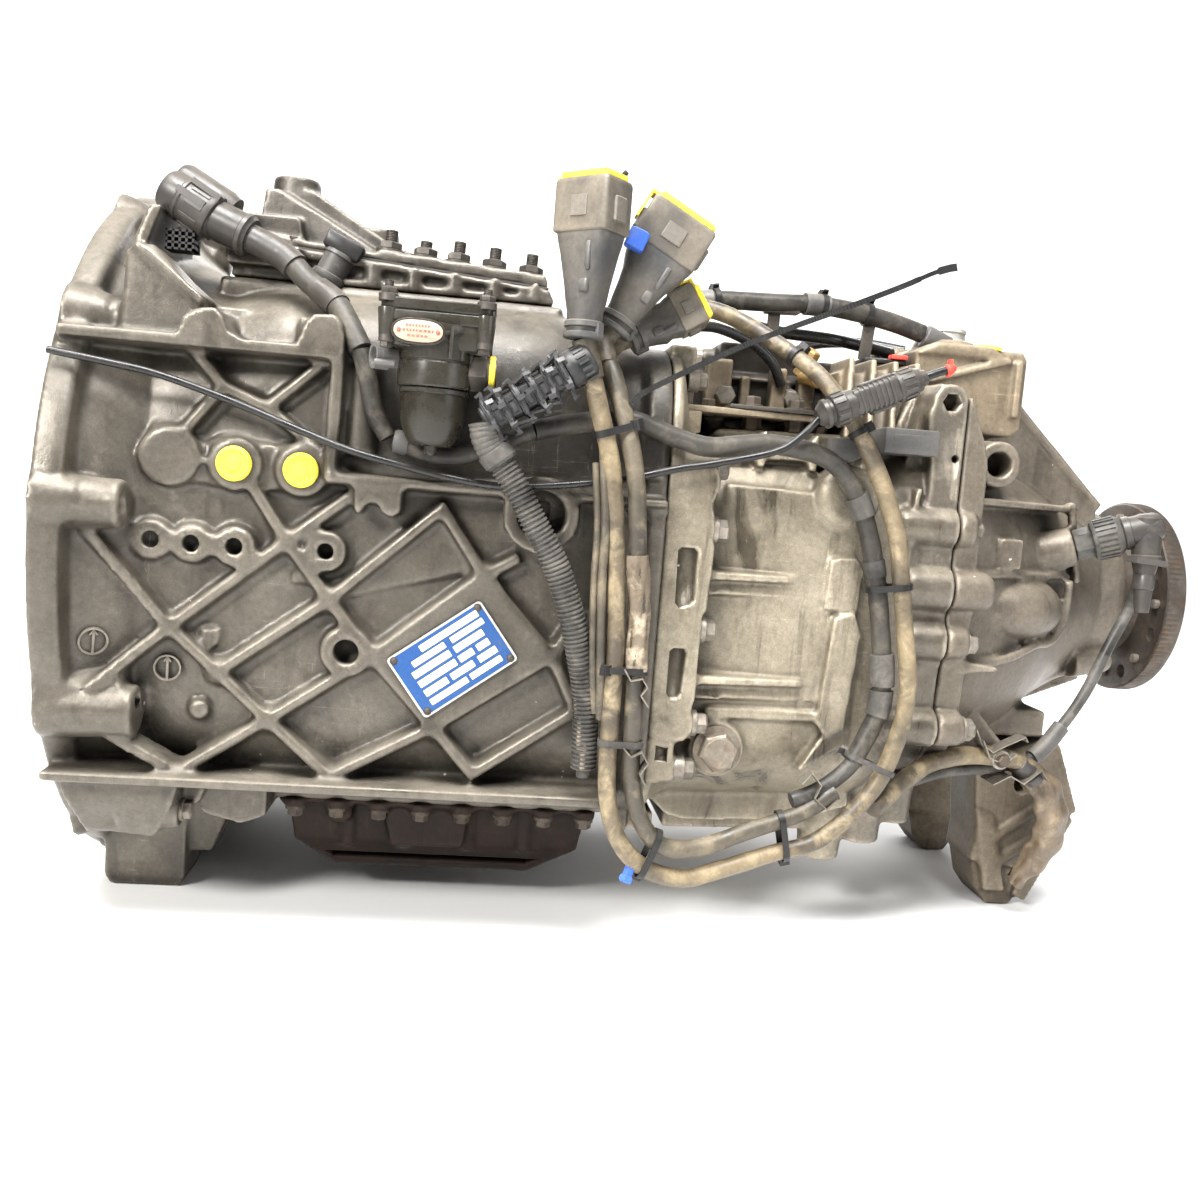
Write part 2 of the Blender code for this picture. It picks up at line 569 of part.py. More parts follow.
# elbow plug and cable of the shift actuator
act = union(cylinder((58, -190, 251), (92, -192, 232), 15, 17, 14),
            cylinder((88, -191.5, 234), (118, -196, 222), 14, 14, 14),
            tube_solid([(112, -195, 224), (142, -202, 210), (163, -212, 192), (183, -225, 178),
                        (195, -236, 161), (204, -242, 146)], 8.0, 20.0, 10))
finish("actuator_cable", act, GREY_PLASTIC, 0.6)

# ================================================================ clutch release
guide = ring([(22, 26), (22, 30), (112, 30), (112, 62), (121.7, 62), (121.7, 26)], 24)
finish("guide_tube", guide, STEEL, 0.4, 0.8)
bearing = ring([(52, 30.4), (52, 50), (58, 62), (76, 62), (76, 30.4)], 24)
finish("release_bearing", bearing, STEEL, 0.4, 0.8)
fork = slab_yz([(112, 14), (60, 52), (20, 58), (-20, 58), (-60, 52), (-168, 18), (-176, 0),
                (-168, -18), (-60, -52), (-20, -58), (20, -58), (60, -52), (112, -14), (122, 0)],
               90, 98)
fork = cut(fork, cylinder((85, 0, 0), (103, 0, 0), 37, 37, 20))
fork = union(fork, box(77.2, 92, -5, 5, 41, 55), box(77.2, 92, -5, 5, -55, -41))
finish("release_fork", fork, DARK_STEEL, 0.5, 0.7, origin=(98, 115, 0))

# ================================================================ gears and shafts
def gear_solid(x0, x1, teeth, module, shaft_r, phase, y=0.0, z=0.0):
    """Spur gear with pointed teeth; one tooth tip points at angle phase, from +Y towards +Z.

    Its bore, a polygon, clears a shaft of radius shaft_r.
    """
    bore = (shaft_r + 0.35) / math.cos(math.pi / teeth)
    r = teeth * module / 2
    tip, foot_r = r + 0.55 * module, r - 1.0 * module
    step = 2 * math.pi / teeth
    verts, faces = [], []
    per = 3
    for x in (x0, x1):
        for k in range(teeth):
            a = phase + k * step
            for rad, ang in ((tip, a), (foot_r, a + step / 2), (bore, a + step / 2)):
                verts.append((x, y + rad * math.cos(ang), z + rad * math.sin(ang)))
    n = teeth * per
    for k in range(teeth):
        j = (k - 1) % teeth
        t, f, b = k * per, k * per + 1, k * per + 2
        fj, bj = j * per + 1, j * per + 2
        faces.append((fj, t, f, b, bj))
        faces.append((n + bj, n + b, n + f, n + t, n + fj))
        faces.append((fj, n + fj, n + t, t))
        faces.append((t, n + t, n + f, f))
        faces.append((b, n + b, n + bj, bj))
    return make(verts, faces)


def mesh_phase(theta, za, pa, zb):
    """Phase of gear b, placed at angle theta from gear a, so that the two are in mesh."""
    ua = ((theta - pa) * za / (2 * math.pi)) % 1.0
    ub = (0.5 - ua) % 1.0
    return theta + math.pi - ub * 2 * math.pi / zb


def spin_solid(x0, x1, r, n=20):
    return turned([(x0, r), (x1, r)], n)


SETS = {"splitter_low": (148, 172, 14, 22), "splitter_high": (210, 234, 17, 19),
        "second": (272, 296, 21, 15), "first": (300, 326, 25, 11)}
REVERSE = (362, 386, 21, 10, 10)          # main, idler, countershaft

main_input = turned([(12, 14), (30, 14), (31, 20), (70, 20), (71, 22), (148, 22), (190, 22)], 20)
finish("input_shaft", main_input, STEEL, 0.35, 0.9, origin=(12, 0, 0))
splines = None

for key, name in (("splitter_low", "splitter_gear_low"), ("splitter_high", "splitter_gear_high"),
                  ("second", "second_gear"), ("first", "first_gear")):
    x0, x1, zm, zc = SETS[key]
    bore = 22.0 if key == "splitter_low" else 26.0
    finish(name, gear_solid(x0, x1, zm, MODULE, bore, 0.0), STEEL, 0.35, 0.9, origin=(x0, 0, 0))
x0, x1, zr, zi, zk = REVERSE
finish("reverse_gear", gear_solid(x0, x1, zr, MODULE, 26.0, 0.0), STEEL, 0.35, 0.9,
       origin=(x0, 0, 0))

D_IDLER = (zr + zi) / 2 * MODULE
D_BACK = (zi + zk) / 2 * MODULE
IDLER_Y = (CENTRES ** 2 + D_IDLER ** 2 - D_BACK ** 2) / (2 * CENTRES)
IDLER_Z = math.sqrt(D_IDLER ** 2 - IDLER_Y ** 2)
for side, name in ((-1, "left"), (1, "right")):
    theta = math.pi if side < 0 else 0.0
    cy = side * CENTRES
    parts = []
    for key, (a, b, zm, zc) in SETS.items():
        parts.append(gear_solid(a, b, zc, MODULE, 10.0, mesh_phase(theta, zm, 0.0, zc), cy, 0.0))
    t_i = math.atan2(IDLER_Z, side * IDLER_Y)
    p_i = mesh_phase(t_i, zr, 0.0, zi)
    t_k = math.atan2(-IDLER_Z, side * (CENTRES - IDLER_Y))
    p_k = mesh_phase(t_k, zi, p_i, zk)
    parts.append(gear_solid(x0, x1, zk, MODULE, 10.0, p_k, cy, 0.0))
    shaft = turned([(142, 12), (147, 12), (147.5, 17), (388, 17), (389, 12), (402, 12)], 16, cy, 0.0)
    shaft = union(shaft, *parts)
    finish("countershaft_" + name, shaft, STEEL, 0.35, 0.9, origin=(142, cy, 0))
    idler = gear_solid(x0, x1, zi, MODULE, 6.0, p_i, side * IDLER_Y, IDLER_Z)
    idler = union(idler, turned([(350, 9), (400, 9)], 14, side * IDLER_Y, IDLER_Z))
    finish("reverse_idler_" + name, idler, STEEL, 0.35, 0.9, origin=(350, side * IDLER_Y, IDLER_Z))

SUN, PLANET, ANNULUS = 10, 12, 34
sun_part = gear_solid(500, 540, SUN, RANGE_MODULE, 8.0, 0.0)
main = turned([(194, 26), (404, 26), (404.5, 24), (470, 24), (471, 17), (541, 17)], 20)
main = union(main, sun_part)
finish("main_shaft", main, STEEL, 0.35, 0.9, origin=(194, 0, 0))


def sleeve_solid(xm, inner, outer, groove, width=22.0):
    h = width / 2
    return ring([(xm - h, inner), (xm - h, outer), (xm - 4, outer), (xm - 4, groove),
                 (xm + 4, groove), (xm + 4, outer), (xm + h, outer), (xm + h, inner)], 20)


SLEEVES = (("splitter_sleeve", 186.0, 26.6, 50.0, 42.0),
           ("shift_sleeve_fast", 253.0, 26.4, 50.0, 42.0),
           ("shift_sleeve_slow", 344.0, 26.4, 50.0, 42.0),
           ("range_sleeve", 480.0, 26.6, 86.0, 76.0))
for name, xm, inner, outer, groove in SLEEVES:
    finish(name, sleeve_solid(xm, inner, outer, groove), BRONZE, 0.4, 0.8, origin=(xm, 0, 0))


def fork_solid(xm, groove, outer, rail_y, rail_z, r0, r1):
    """Selector fork with its rail: a half ring in the sleeve groove, an arm and a rod."""
    inner, rim = groove + 0.8, outer + 8.0
    pts = []
    for k in range(13):
        a = math.pi * k / 12
        pts.append((rim * math.cos(a), rim * math.sin(a)))
    for k in range(12, -1, -1):
        a = math.pi * k / 12
        pts.append((inner * math.cos(a), inner * math.sin(a)))
    f = slab_yz(pts, xm - 3.0, xm + 3.0)
    arm = slab_yz([(rail_y - 12, rail_z), (rail_y + 12, rail_z), (8 + rail_y * 0.3, rim - 5),
                   (-8 + rail_y * 0.3, rim - 5)], xm - 2.9, xm + 2.9)
    return union(f, arm, turned([(r0, 7.0), (r1, 7.0)], 12, rail_y, rail_z),
                 turned([(xm - 12, 12.0), (xm + 12, 12.0)], 12, rail_y, rail_z))


FORKS = (("splitter_fork", 186.0, 42.0, 50.0, -44.0, 140.0, 150.0, 236.0),
         ("shift_fork_fast", 253.0, 42.0, 50.0, 0.0, 140.0, 160.0, 330.0),
         ("shift_fork_slow", 344.0, 42.0, 50.0, 44.0, 140.0, 160.0, 396.0))
for name, xm, groove, outer, ry, rz, r0, r1 in FORKS:
    finish(name, fork_solid(xm, groove, outer, ry, rz, r0, r1), CAST_REAR, 0.5, 0.6,
           origin=(xm, ry, rz))
rf = slab_yz([(94 * math.cos(math.pi * k / 12), 94 * math.sin(math.pi * k / 12)) for k in range(13)]
             + [(76.8 * math.cos(math.pi * k / 12), 76.8 * math.sin(math.pi * k / 12))
                for k in range(12, -1, -1)], 477, 483)
rf = union(rf, turned([(456, 7), (620, 7)], 12, -120, 60), box(476, 484, -124, -76, 52, 68),
           turned([(606, 20), (614, 20)], 14, -120, 60))
finish("range_fork", rf, CAST_REAR, 0.5, 0.6, origin=(480, -120, 60))

# planetary range group
PLANET_R = (SUN + PLANET) / 2 * RANGE_MODULE
for k in range(4):
    theta = k * math.pi / 2
    p = mesh_phase(theta, SUN, 0.0, PLANET)
    yy, zz = PLANET_R * math.cos(theta), PLANET_R * math.sin(theta)
    finish("planet_gear_%d" % (k + 1), gear_solid(501, 539, PLANET, RANGE_MODULE, 12.0, p, yy, zz),
           STEEL, 0.35, 0.9, origin=(501, yy, zz))
ann_r = ANNULUS * RANGE_MODULE / 2
tips, feet = ann_r - 0.55 * RANGE_MODULE, ann_r + 1.0 * RANGE_MODULE
step = 2 * math.pi / ANNULUS
verts, faces = [], []
for x in (498, 542):
    for k in range(ANNULUS):
        a = k * step
        for rad, ang in ((tips, a), (feet, a + step / 2), (101.0, a + step / 2)):
            verts.append((x, rad * math.cos(ang), rad * math.sin(ang)))
n3 = ANNULUS * 3
for k in range(ANNULUS):
    j = (k - 1) % ANNULUS
    t, f, b = 3 * k, 3 * k + 1, 3 * k + 2
    fj, bj = 3 * j + 1, 3 * j + 2
    faces += [(fj, bj, b, f, t), (n3 + t, n3 + f, n3 + b, n3 + bj, n3 + fj),
              (fj, t, n3 + t, n3 + fj), (t, f, n3 + f, n3 + t), (bj, n3 + bj, n3 + b, b)]
finish("ring_gear", make(verts, faces), STEEL, 0.35, 0.9, origin=(498, 0, 0))

out = turned([(546, 78), (560, 78), (562, 50), (600, 36), (602, 32), (872, 32), (873, 24),
              (918, 24)], 24)
pins = [turned([(500, 12), (548, 12)], 16, PLANET_R * math.cos(k * math.pi / 2),
               PLANET_R * math.sin(k * math.pi / 2)) for k in range(4)]
out = union(out, *pins)
finish("output_shaft", out, STEEL, 0.35, 0.9, origin=(546, 0, 0))

finish("output_bearing", ring([(826, 32.3), (826, 60), (854, 60), (854, 32.3)], 24), STEEL,
       0.3, 0.9, origin=(826, 0, 0))

flange = ring([(878, 24.6), (878, 50), (902, 52), (906, 62), (906, OUTPUT_FLANGE_R),
               (LENGTH, OUTPUT_FLANGE_R), (LENGTH, 46), (918, 44), (918, 24.6)], 28)
for k in range(8):
    a = math.radians(22.5 + 45 * k)
    cut(flange, cylinder((900, 75 * math.cos(a), 75 * math.sin(a)),
                         (930, 75 * math.cos(a), 75 * math.sin(a)), 6.5, 6.5, 6))
finish("output_flange", flange, DARK_STEEL, 0.4, 0.85, origin=(878, 0, 0))
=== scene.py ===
import bpy
import bmesh
import math
import random
from mathutils import Vector, Matrix


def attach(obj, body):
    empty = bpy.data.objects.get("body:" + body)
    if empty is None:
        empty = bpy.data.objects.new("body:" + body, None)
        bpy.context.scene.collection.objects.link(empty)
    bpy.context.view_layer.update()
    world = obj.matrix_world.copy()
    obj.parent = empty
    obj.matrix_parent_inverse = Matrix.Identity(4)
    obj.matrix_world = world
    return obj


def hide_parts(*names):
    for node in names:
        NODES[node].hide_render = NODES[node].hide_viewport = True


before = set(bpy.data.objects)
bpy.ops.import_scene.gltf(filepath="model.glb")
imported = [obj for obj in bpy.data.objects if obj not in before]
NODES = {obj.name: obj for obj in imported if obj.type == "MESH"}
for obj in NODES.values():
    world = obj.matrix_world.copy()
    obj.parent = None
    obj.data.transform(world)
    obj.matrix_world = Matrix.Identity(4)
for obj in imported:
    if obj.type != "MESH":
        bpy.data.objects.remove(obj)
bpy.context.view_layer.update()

random.seed(7)

# working frame in millimetres: shaft axis at y = z = 0, bell face at x = 0
MID_X, MID_Y, AXIS_H = 462.0, -6.165, 278.0
MM = 0.001


def W(p):
    return Vector(((p[0] - MID_X) * MM, (p[1] - MID_Y) * MM, (p[2] + AXIS_H) * MM))


# ------------------------------------------------------------------ raw shapes, as (verts, faces)
def rings(loops, closed=False):
    n = len(loops[0])
    verts = [p for loop in loops for p in loop]
    faces = []
    m = len(loops)
    if not closed:
        faces.append(tuple(range(n))[::-1])
        faces.append(tuple((m - 1) * n + i for i in range(n)))
    for k in range(m if closed else m - 1):
        a, b = k * n, ((k + 1) % m) * n
        for i in range(n):
            j = (i + 1) % n
            faces.append((a + i, a + j, b + j, b + i))
    return verts, faces


def section(x, cy, cz, hy, hz, e, n):
    pts = []
    for i in range(n):
        t = 2 * math.pi * (i + 0.5) / n
        c, s = math.cos(t), math.sin(t)
        pts.append((x, cy + hy * math.copysign(abs(c) ** (2.0 / e), c),
                    cz + hz * math.copysign(abs(s) ** (2.0 / e), s)))
    return pts


def loft(sections, n=128, smooth=4):
    """Sections along X; in between, the size eases from one to the next."""
    out = []
    for k in range(len(sections) - 1):
        a, b = sections[k], sections[k + 1]
        steps = smooth if b[0] - a[0] > 12 else 1
        for i in range(steps):
            t = i / steps
            out.append(section(*[u + (v - u) * t for u, v in zip(a, b)], n))
    out.append(section(*sections[-1], n))
    return rings(out)


def frame_of(d):
    d = Vector(d).normalized()
    u = Vector((0, 0, 1)).cross(d)
    if u.length < 1e-3:
        u = Vector((1, 0, 0))
    u.normalize()
    return d, u, d.cross(u)


def turned(p0, d, profile, n=24, phase=0.0):
    """Solid of revolution: profile of (distance along d, radius)."""
    d, u, w = frame_of(d)
    p0 = Vector(p0)
    loops = []
    for s, r in profile:
        loops.append([tuple(p0 + d * s + (u * math.cos(phase + 2 * math.pi * i / n)
                                          + w * math.sin(phase + 2 * math.pi * i / n)) * r)
                      for i in range(n)])
    return rings(loops)


def cyl(p0, p1, r0, r1=None, n=24):
    p0, p1 = Vector(p0), Vector(p1)
    return turned(p0, p1 - p0, [(0, r0), ((p1 - p0).length, r0 if r1 is None else r1)], n)


def washer(p0, d, r_in, r_out, h, n=32):
    d, u, w = frame_of(d)
    p0 = Vector(p0)
    prof = [(0, r_in), (0, r_out), (h, r_out), (h, r_in)]
    loops = []
    for i in range(n):
        a = 2 * math.pi * i / n
        q = u * math.cos(a) + w * math.sin(a)
        loops.append([tuple(p0 + d * s + q * r) for s, r in prof])
    return rings(loops, closed=True)


def box(x0, x1, y0, y1, z0, z1):
    return rings([[(x0, y0, z), (x1, y0, z), (x1, y1, z), (x0, y1, z)] for z in (z0, z1)])


def slab_xz(points, y0, y1):
    return rings([[(x, y, z) for x, z in points] for y in (y0, y1)])


def slab_xy(points, z0, z1):
    return rings([[(x, y, z) for x, y in points] for z in (z0, z1)])


def slab_yz(points, x0, x1):
    return rings([[(x, y, z) for y, z in points] for x in (x0, x1)])


def bar_xz(a, b, w0, w1, y0, y1, grow=2.0):
    """Rib with draft: w0 wide at y0 (its top), w1 at y1 (its root)."""
    a, b = Vector(a), Vector(b)
    d = (b - a).normalized()
    s = Vector((-d.y, d.x))
    a, b = a - d * grow, b + d * grow
    loops = []
    for y, w in ((y0, w0), (y1, w1)):
        h = s * (w / 2)
        loops.append([(p.x, y, p.y) for p in (a + h, b + h, b - h, a - h)])
    return rings(loops)


def bar(p0, p1, side, w, h):
    """Rectangular bar from p0 to p1, w wide along side and h deep across."""
    p0, p1 = Vector(p0), Vector(p1)
    d = (p1 - p0).normalized()
    s = Vector(side)
    s = (s - d * s.dot(d)).normalized()
    t = d.cross(s)
    return rings([[tuple(p + s * (a * w / 2) + t * (b * h / 2))
                   for a, b in ((-1, -1), (1, -1), (1, 1), (-1, 1))] for p in (p0, p1)])


def ball(c, rx, ry, rz, n=24, m=12):
    loops = []
    for k in range(m + 1):
        t = -math.pi / 2 + math.pi * (0.04 + 0.92 * k / m)
        loops.append([(c[0] + rx * math.cos(t) * math.cos(2 * math.pi * i / n),
                       c[1] + ry * math.cos(t) * math.sin(2 * math.pi * i / n),
                       c[2] + rz * math.sin(t)) for i in range(n)])
    return rings(loops)


def route(points, step):
    pts = [Vector(p) for p in points]
    ends = [pts[0] * 2 - pts[1]] + pts + [pts[-1] * 2 - pts[-2]]
    out = [pts[0]]
    for k in range(1, len(ends) - 2):
        a, b, c, d = ends[k - 1], ends[k], ends[k + 1], ends[k + 2]
        m = max(1, int(round((c - b).length / step)))
        for i in range(1, m + 1):
            t = i / m
            out.append(0.5 * ((2 * b) + (c - a) * t + (2 * a - 5 * b + 4 * c - d) * t * t
                              + (3 * b - a - 3 * c + d) * t ** 3))
    return out


def sweep(points, radius, n=20, step=4.0, flat=1.0):
    """Tube along a smooth run; radius is a number or a function of distance in mm."""
    pts = route(points, step)
    loops = []
    side = None
    dist = 0.0
    for k, p in enumerate(pts):
        if k:
            dist += (p - pts[k - 1]).length
        d = (pts[min(k + 1, len(pts) - 1)] - pts[max(k - 1, 0)]).normalized()
        if side is None:
            side = d.orthogonal().normalized()
        side = (side - d * side.dot(d)).normalized()
        up = d.cross(side)
        r = radius(dist) if callable(radius) else radius
        loops.append([tuple(p + (side * math.cos(2 * math.pi * i / n)
                                 + up * math.sin(2 * math.pi * i / n) * flat) * r)
                      for i in range(n)])
    return rings(loops)


def merge(prims):
    verts, faces = [], []
    for v, f in prims:
        k = len(verts)
        verts += v
        faces += [tuple(i + k for i in q) for q in f]
    return verts, faces


def make(name, prims, mat=None, body="case", angle=35.0, bevel=0.0, replaces=()):
    """One object out of closed shapes, in metres, riding on a body."""
    v, f = merge(prims) if isinstance(prims, list) else prims
    mesh = bpy.data.meshes.new(name)
    mesh.from_pydata([W(p) for p in v], [], f)
    bm = bmesh.new()
    bm.from_mesh(mesh)
    bmesh.ops.recalc_face_normals(bm, faces=bm.faces)
    bm.to_mesh(mesh)
    bm.free()
    ob = bpy.data.objects.new(name, mesh)
    bpy.context.scene.collection.objects.link(ob)
    if bevel:
        m = ob.modifiers.new("round", "BEVEL")
        m.width = bevel * MM
        m.segments = 2
        m.limit_method = "ANGLE"
        m.angle_limit = math.radians(40)
        m.harden_normals = False
        bake(ob)
    ob.data.shade_smooth()
    ob.data.set_sharp_from_angle(angle=math.radians(angle))
    if mat:
        ob.data.materials.append(mat)
    if body:
        if replaces:
            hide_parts(*replaces)
        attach(ob, body)
    return ob


def bake(ob):
    dg = bpy.context.evaluated_depsgraph_get()
    dg.update()
    mesh = bpy.data.meshes.new_from_object(ob.evaluated_get(dg))
    ob.modifiers.clear()
    old = ob.data
    ob.data = mesh
    bpy.data.meshes.remove(old)
    return ob


def raw(prims):
    v, f = merge(prims) if isinstance(prims, list) else prims
    mesh = bpy.data.meshes.new("raw")
    mesh.from_pydata([W(p) for p in v], [], f)
    bm = bmesh.new()
    bm.from_mesh(mesh)
    bmesh.ops.recalc_face_normals(bm, faces=bm.faces)
    bm.to_mesh(mesh)
    bm.free()
    ob = bpy.data.objects.new("raw", mesh)
    bpy.context.scene.collection.objects.link(ob)
    return ob


def subtract(base, cutters):
    for c in cutters:
        tool = raw(c)
        m = base.modifiers.new("cut", "BOOLEAN")
        m.operation = "DIFFERENCE"
        m.solver = "EXACT"
        m.object = tool
        bake(base)
        bpy.data.objects.remove(tool, do_unlink=True)
    return base


def cast(name, prims, mat, body, voxel, replaces, hollow=(), pockets=(), smooth=5,
         keep=None, faces=170000):
    """Casting: closed shapes run together, with the round corners that a mould gives."""
    first = raw(prims[0])
    if hollow:
        subtract(first, hollow)
    rest = raw(prims[1:]) if len(prims) > 1 else None
    bm = bmesh.new()
    bm.from_mesh(first.data)
    if rest:
        bm.from_mesh(rest.data)
        bpy.data.objects.remove(rest, do_unlink=True)
    bm.to_mesh(first.data)
    bm.free()
    ob = first
    m = ob.modifiers.new("skin", "REMESH")
    m.mode = "VOXEL"
    m.voxel_size = voxel * MM * 1.0
    m = ob.modifiers.new("soft", "SMOOTH")
    m.factor = 0.5
    m.iterations = smooth
    bake(ob)
    if pockets:
        subtract(ob, pockets)
    n = len(ob.data.polygons)
    if n * 2 > faces:
        m = ob.modifiers.new("light", "DECIMATE")
        m.ratio = faces / (n * 2.0)
        bake(ob)
    ob.name = name
    ob.data.name = name
    ob.data.shade_smooth()
    ob.data.materials.clear()
    ob.data.materials.append(mat)
    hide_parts(*replaces)
    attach(ob, body)
    return ob


# ------------------------------------------------------------------ materials
class Nodes:
    def __init__(self, name):
        self.mat = bpy.data.materials.new(name)
        self.mat.use_nodes = True
        self.t = self.mat.node_tree
        self.bsdf = self.t.nodes["Principled BSDF"]
        self.coord = self.t.nodes.new("ShaderNodeTexCoord")

    def new(self, kind, **inputs):
        n = self.t.nodes.new(kind)
        for k, v in inputs.items():
            k = k.replace("_", " ")
            n.inputs[k].default_value = v
        return n

    def link(self, a, b):
        self.t.links.new(a, b)

    def scaled(self, scale):
        m = self.t.nodes.new("ShaderNodeMapping")
        m.inputs["Scale"].default_value = scale
        self.link(self.coord.outputs["Object"], m.inputs["Vector"])
        return m.outputs["Vector"]

    def noise(self, scale, detail=4.0, rough=0.55, vector=None, distortion=0.0):
        n = self.new("ShaderNodeTexNoise", Scale=scale, Detail=detail, Roughness=rough,
                     Distortion=distortion)
        self.link(vector or self.coord.outputs["Object"], n.inputs["Vector"])
        return n.outputs["Fac"]

    def ramp(self, src, stops):
        r = self.t.nodes.new("ShaderNodeValToRGB")
        e = r.color_ramp.elements
        while len(e) < len(stops):
            e.new(0.5)
        for k, (pos, col) in enumerate(stops):
            e[k].position = pos
            c = (col, col, col) if not isinstance(col, tuple) else col
            e[k].color = (c[0], c[1], c[2], 1.0)
        self.link(src, r.inputs["Fac"])
        return r.outputs["Color"]

    def mix(self, fac, a, b, mode="MIX"):
        m = self.t.nodes.new("ShaderNodeMix")
        m.data_type = "RGBA"
        m.blend_type = mode
        if isinstance(fac, float):
            m.inputs[0].default_value = fac
        else:
            self.link(fac, m.inputs[0])
        for sock, v in ((m.inputs[6], a), (m.inputs[7], b)):
            if isinstance(v, tuple):
                sock.default_value = (v[0], v[1], v[2], 1.0)
            else:
                self.link(v, sock)
        return m.outputs[2]

    def math(self, op, a, b=None, clamp=False):
        m = self.t.nodes.new("ShaderNodeMath")
        m.operation = op
        m.use_clamp = clamp
        for k, v in enumerate((a, b)):
            if v is None:
                continue
            if isinstance(v, (int, float)):
                m.inputs[k].default_value = v
            else:
                self.link(v, m.inputs[k])
        return m.outputs[0]

    def point(self):
        g = self.t.nodes.new("ShaderNodeNewGeometry")
        return g.outputs["Pointiness"]

    def up(self):
        g = self.t.nodes.new("ShaderNodeNewGeometry")
        s = self.t.nodes.new("ShaderNodeSeparateXYZ")
        self.link(g.outputs["Normal"], s.inputs[0])
        return s.outputs["Z"]

    def bump(self, parts):
        """parts: (height, strength, distance in mm), run one after another."""
        last = None
        for h, strength, dist in parts:
            b = self.t.nodes.new("ShaderNodeBump")
            b.inputs["Strength"].default_value = strength
            b.inputs["Distance"].default_value = dist * MM
            self.link(h, b.inputs["Height"])
            if last:
                self.link(last, b.inputs["Normal"])
            last = b.outputs["Normal"]
        self.link(last, self.bsdf.inputs["Normal"])

    def done(self, colour=None, rough=None, metal=None, spec=None, coat=None):
        b = self.bsdf.inputs
        if colour is not None:
            self.link(colour, b["Base Color"])
        if rough is not None:
            if isinstance(rough, float):
                b["Roughness"].default_value = rough
            else:
                self.link(rough, b["Roughness"])
        if metal is not None:
            if isinstance(metal, float):
                b["Metallic"].default_value = metal
            else:
                self.link(metal, b["Metallic"])
        if spec is not None:
            b["Specular IOR Level"].default_value = spec
        return self.mat


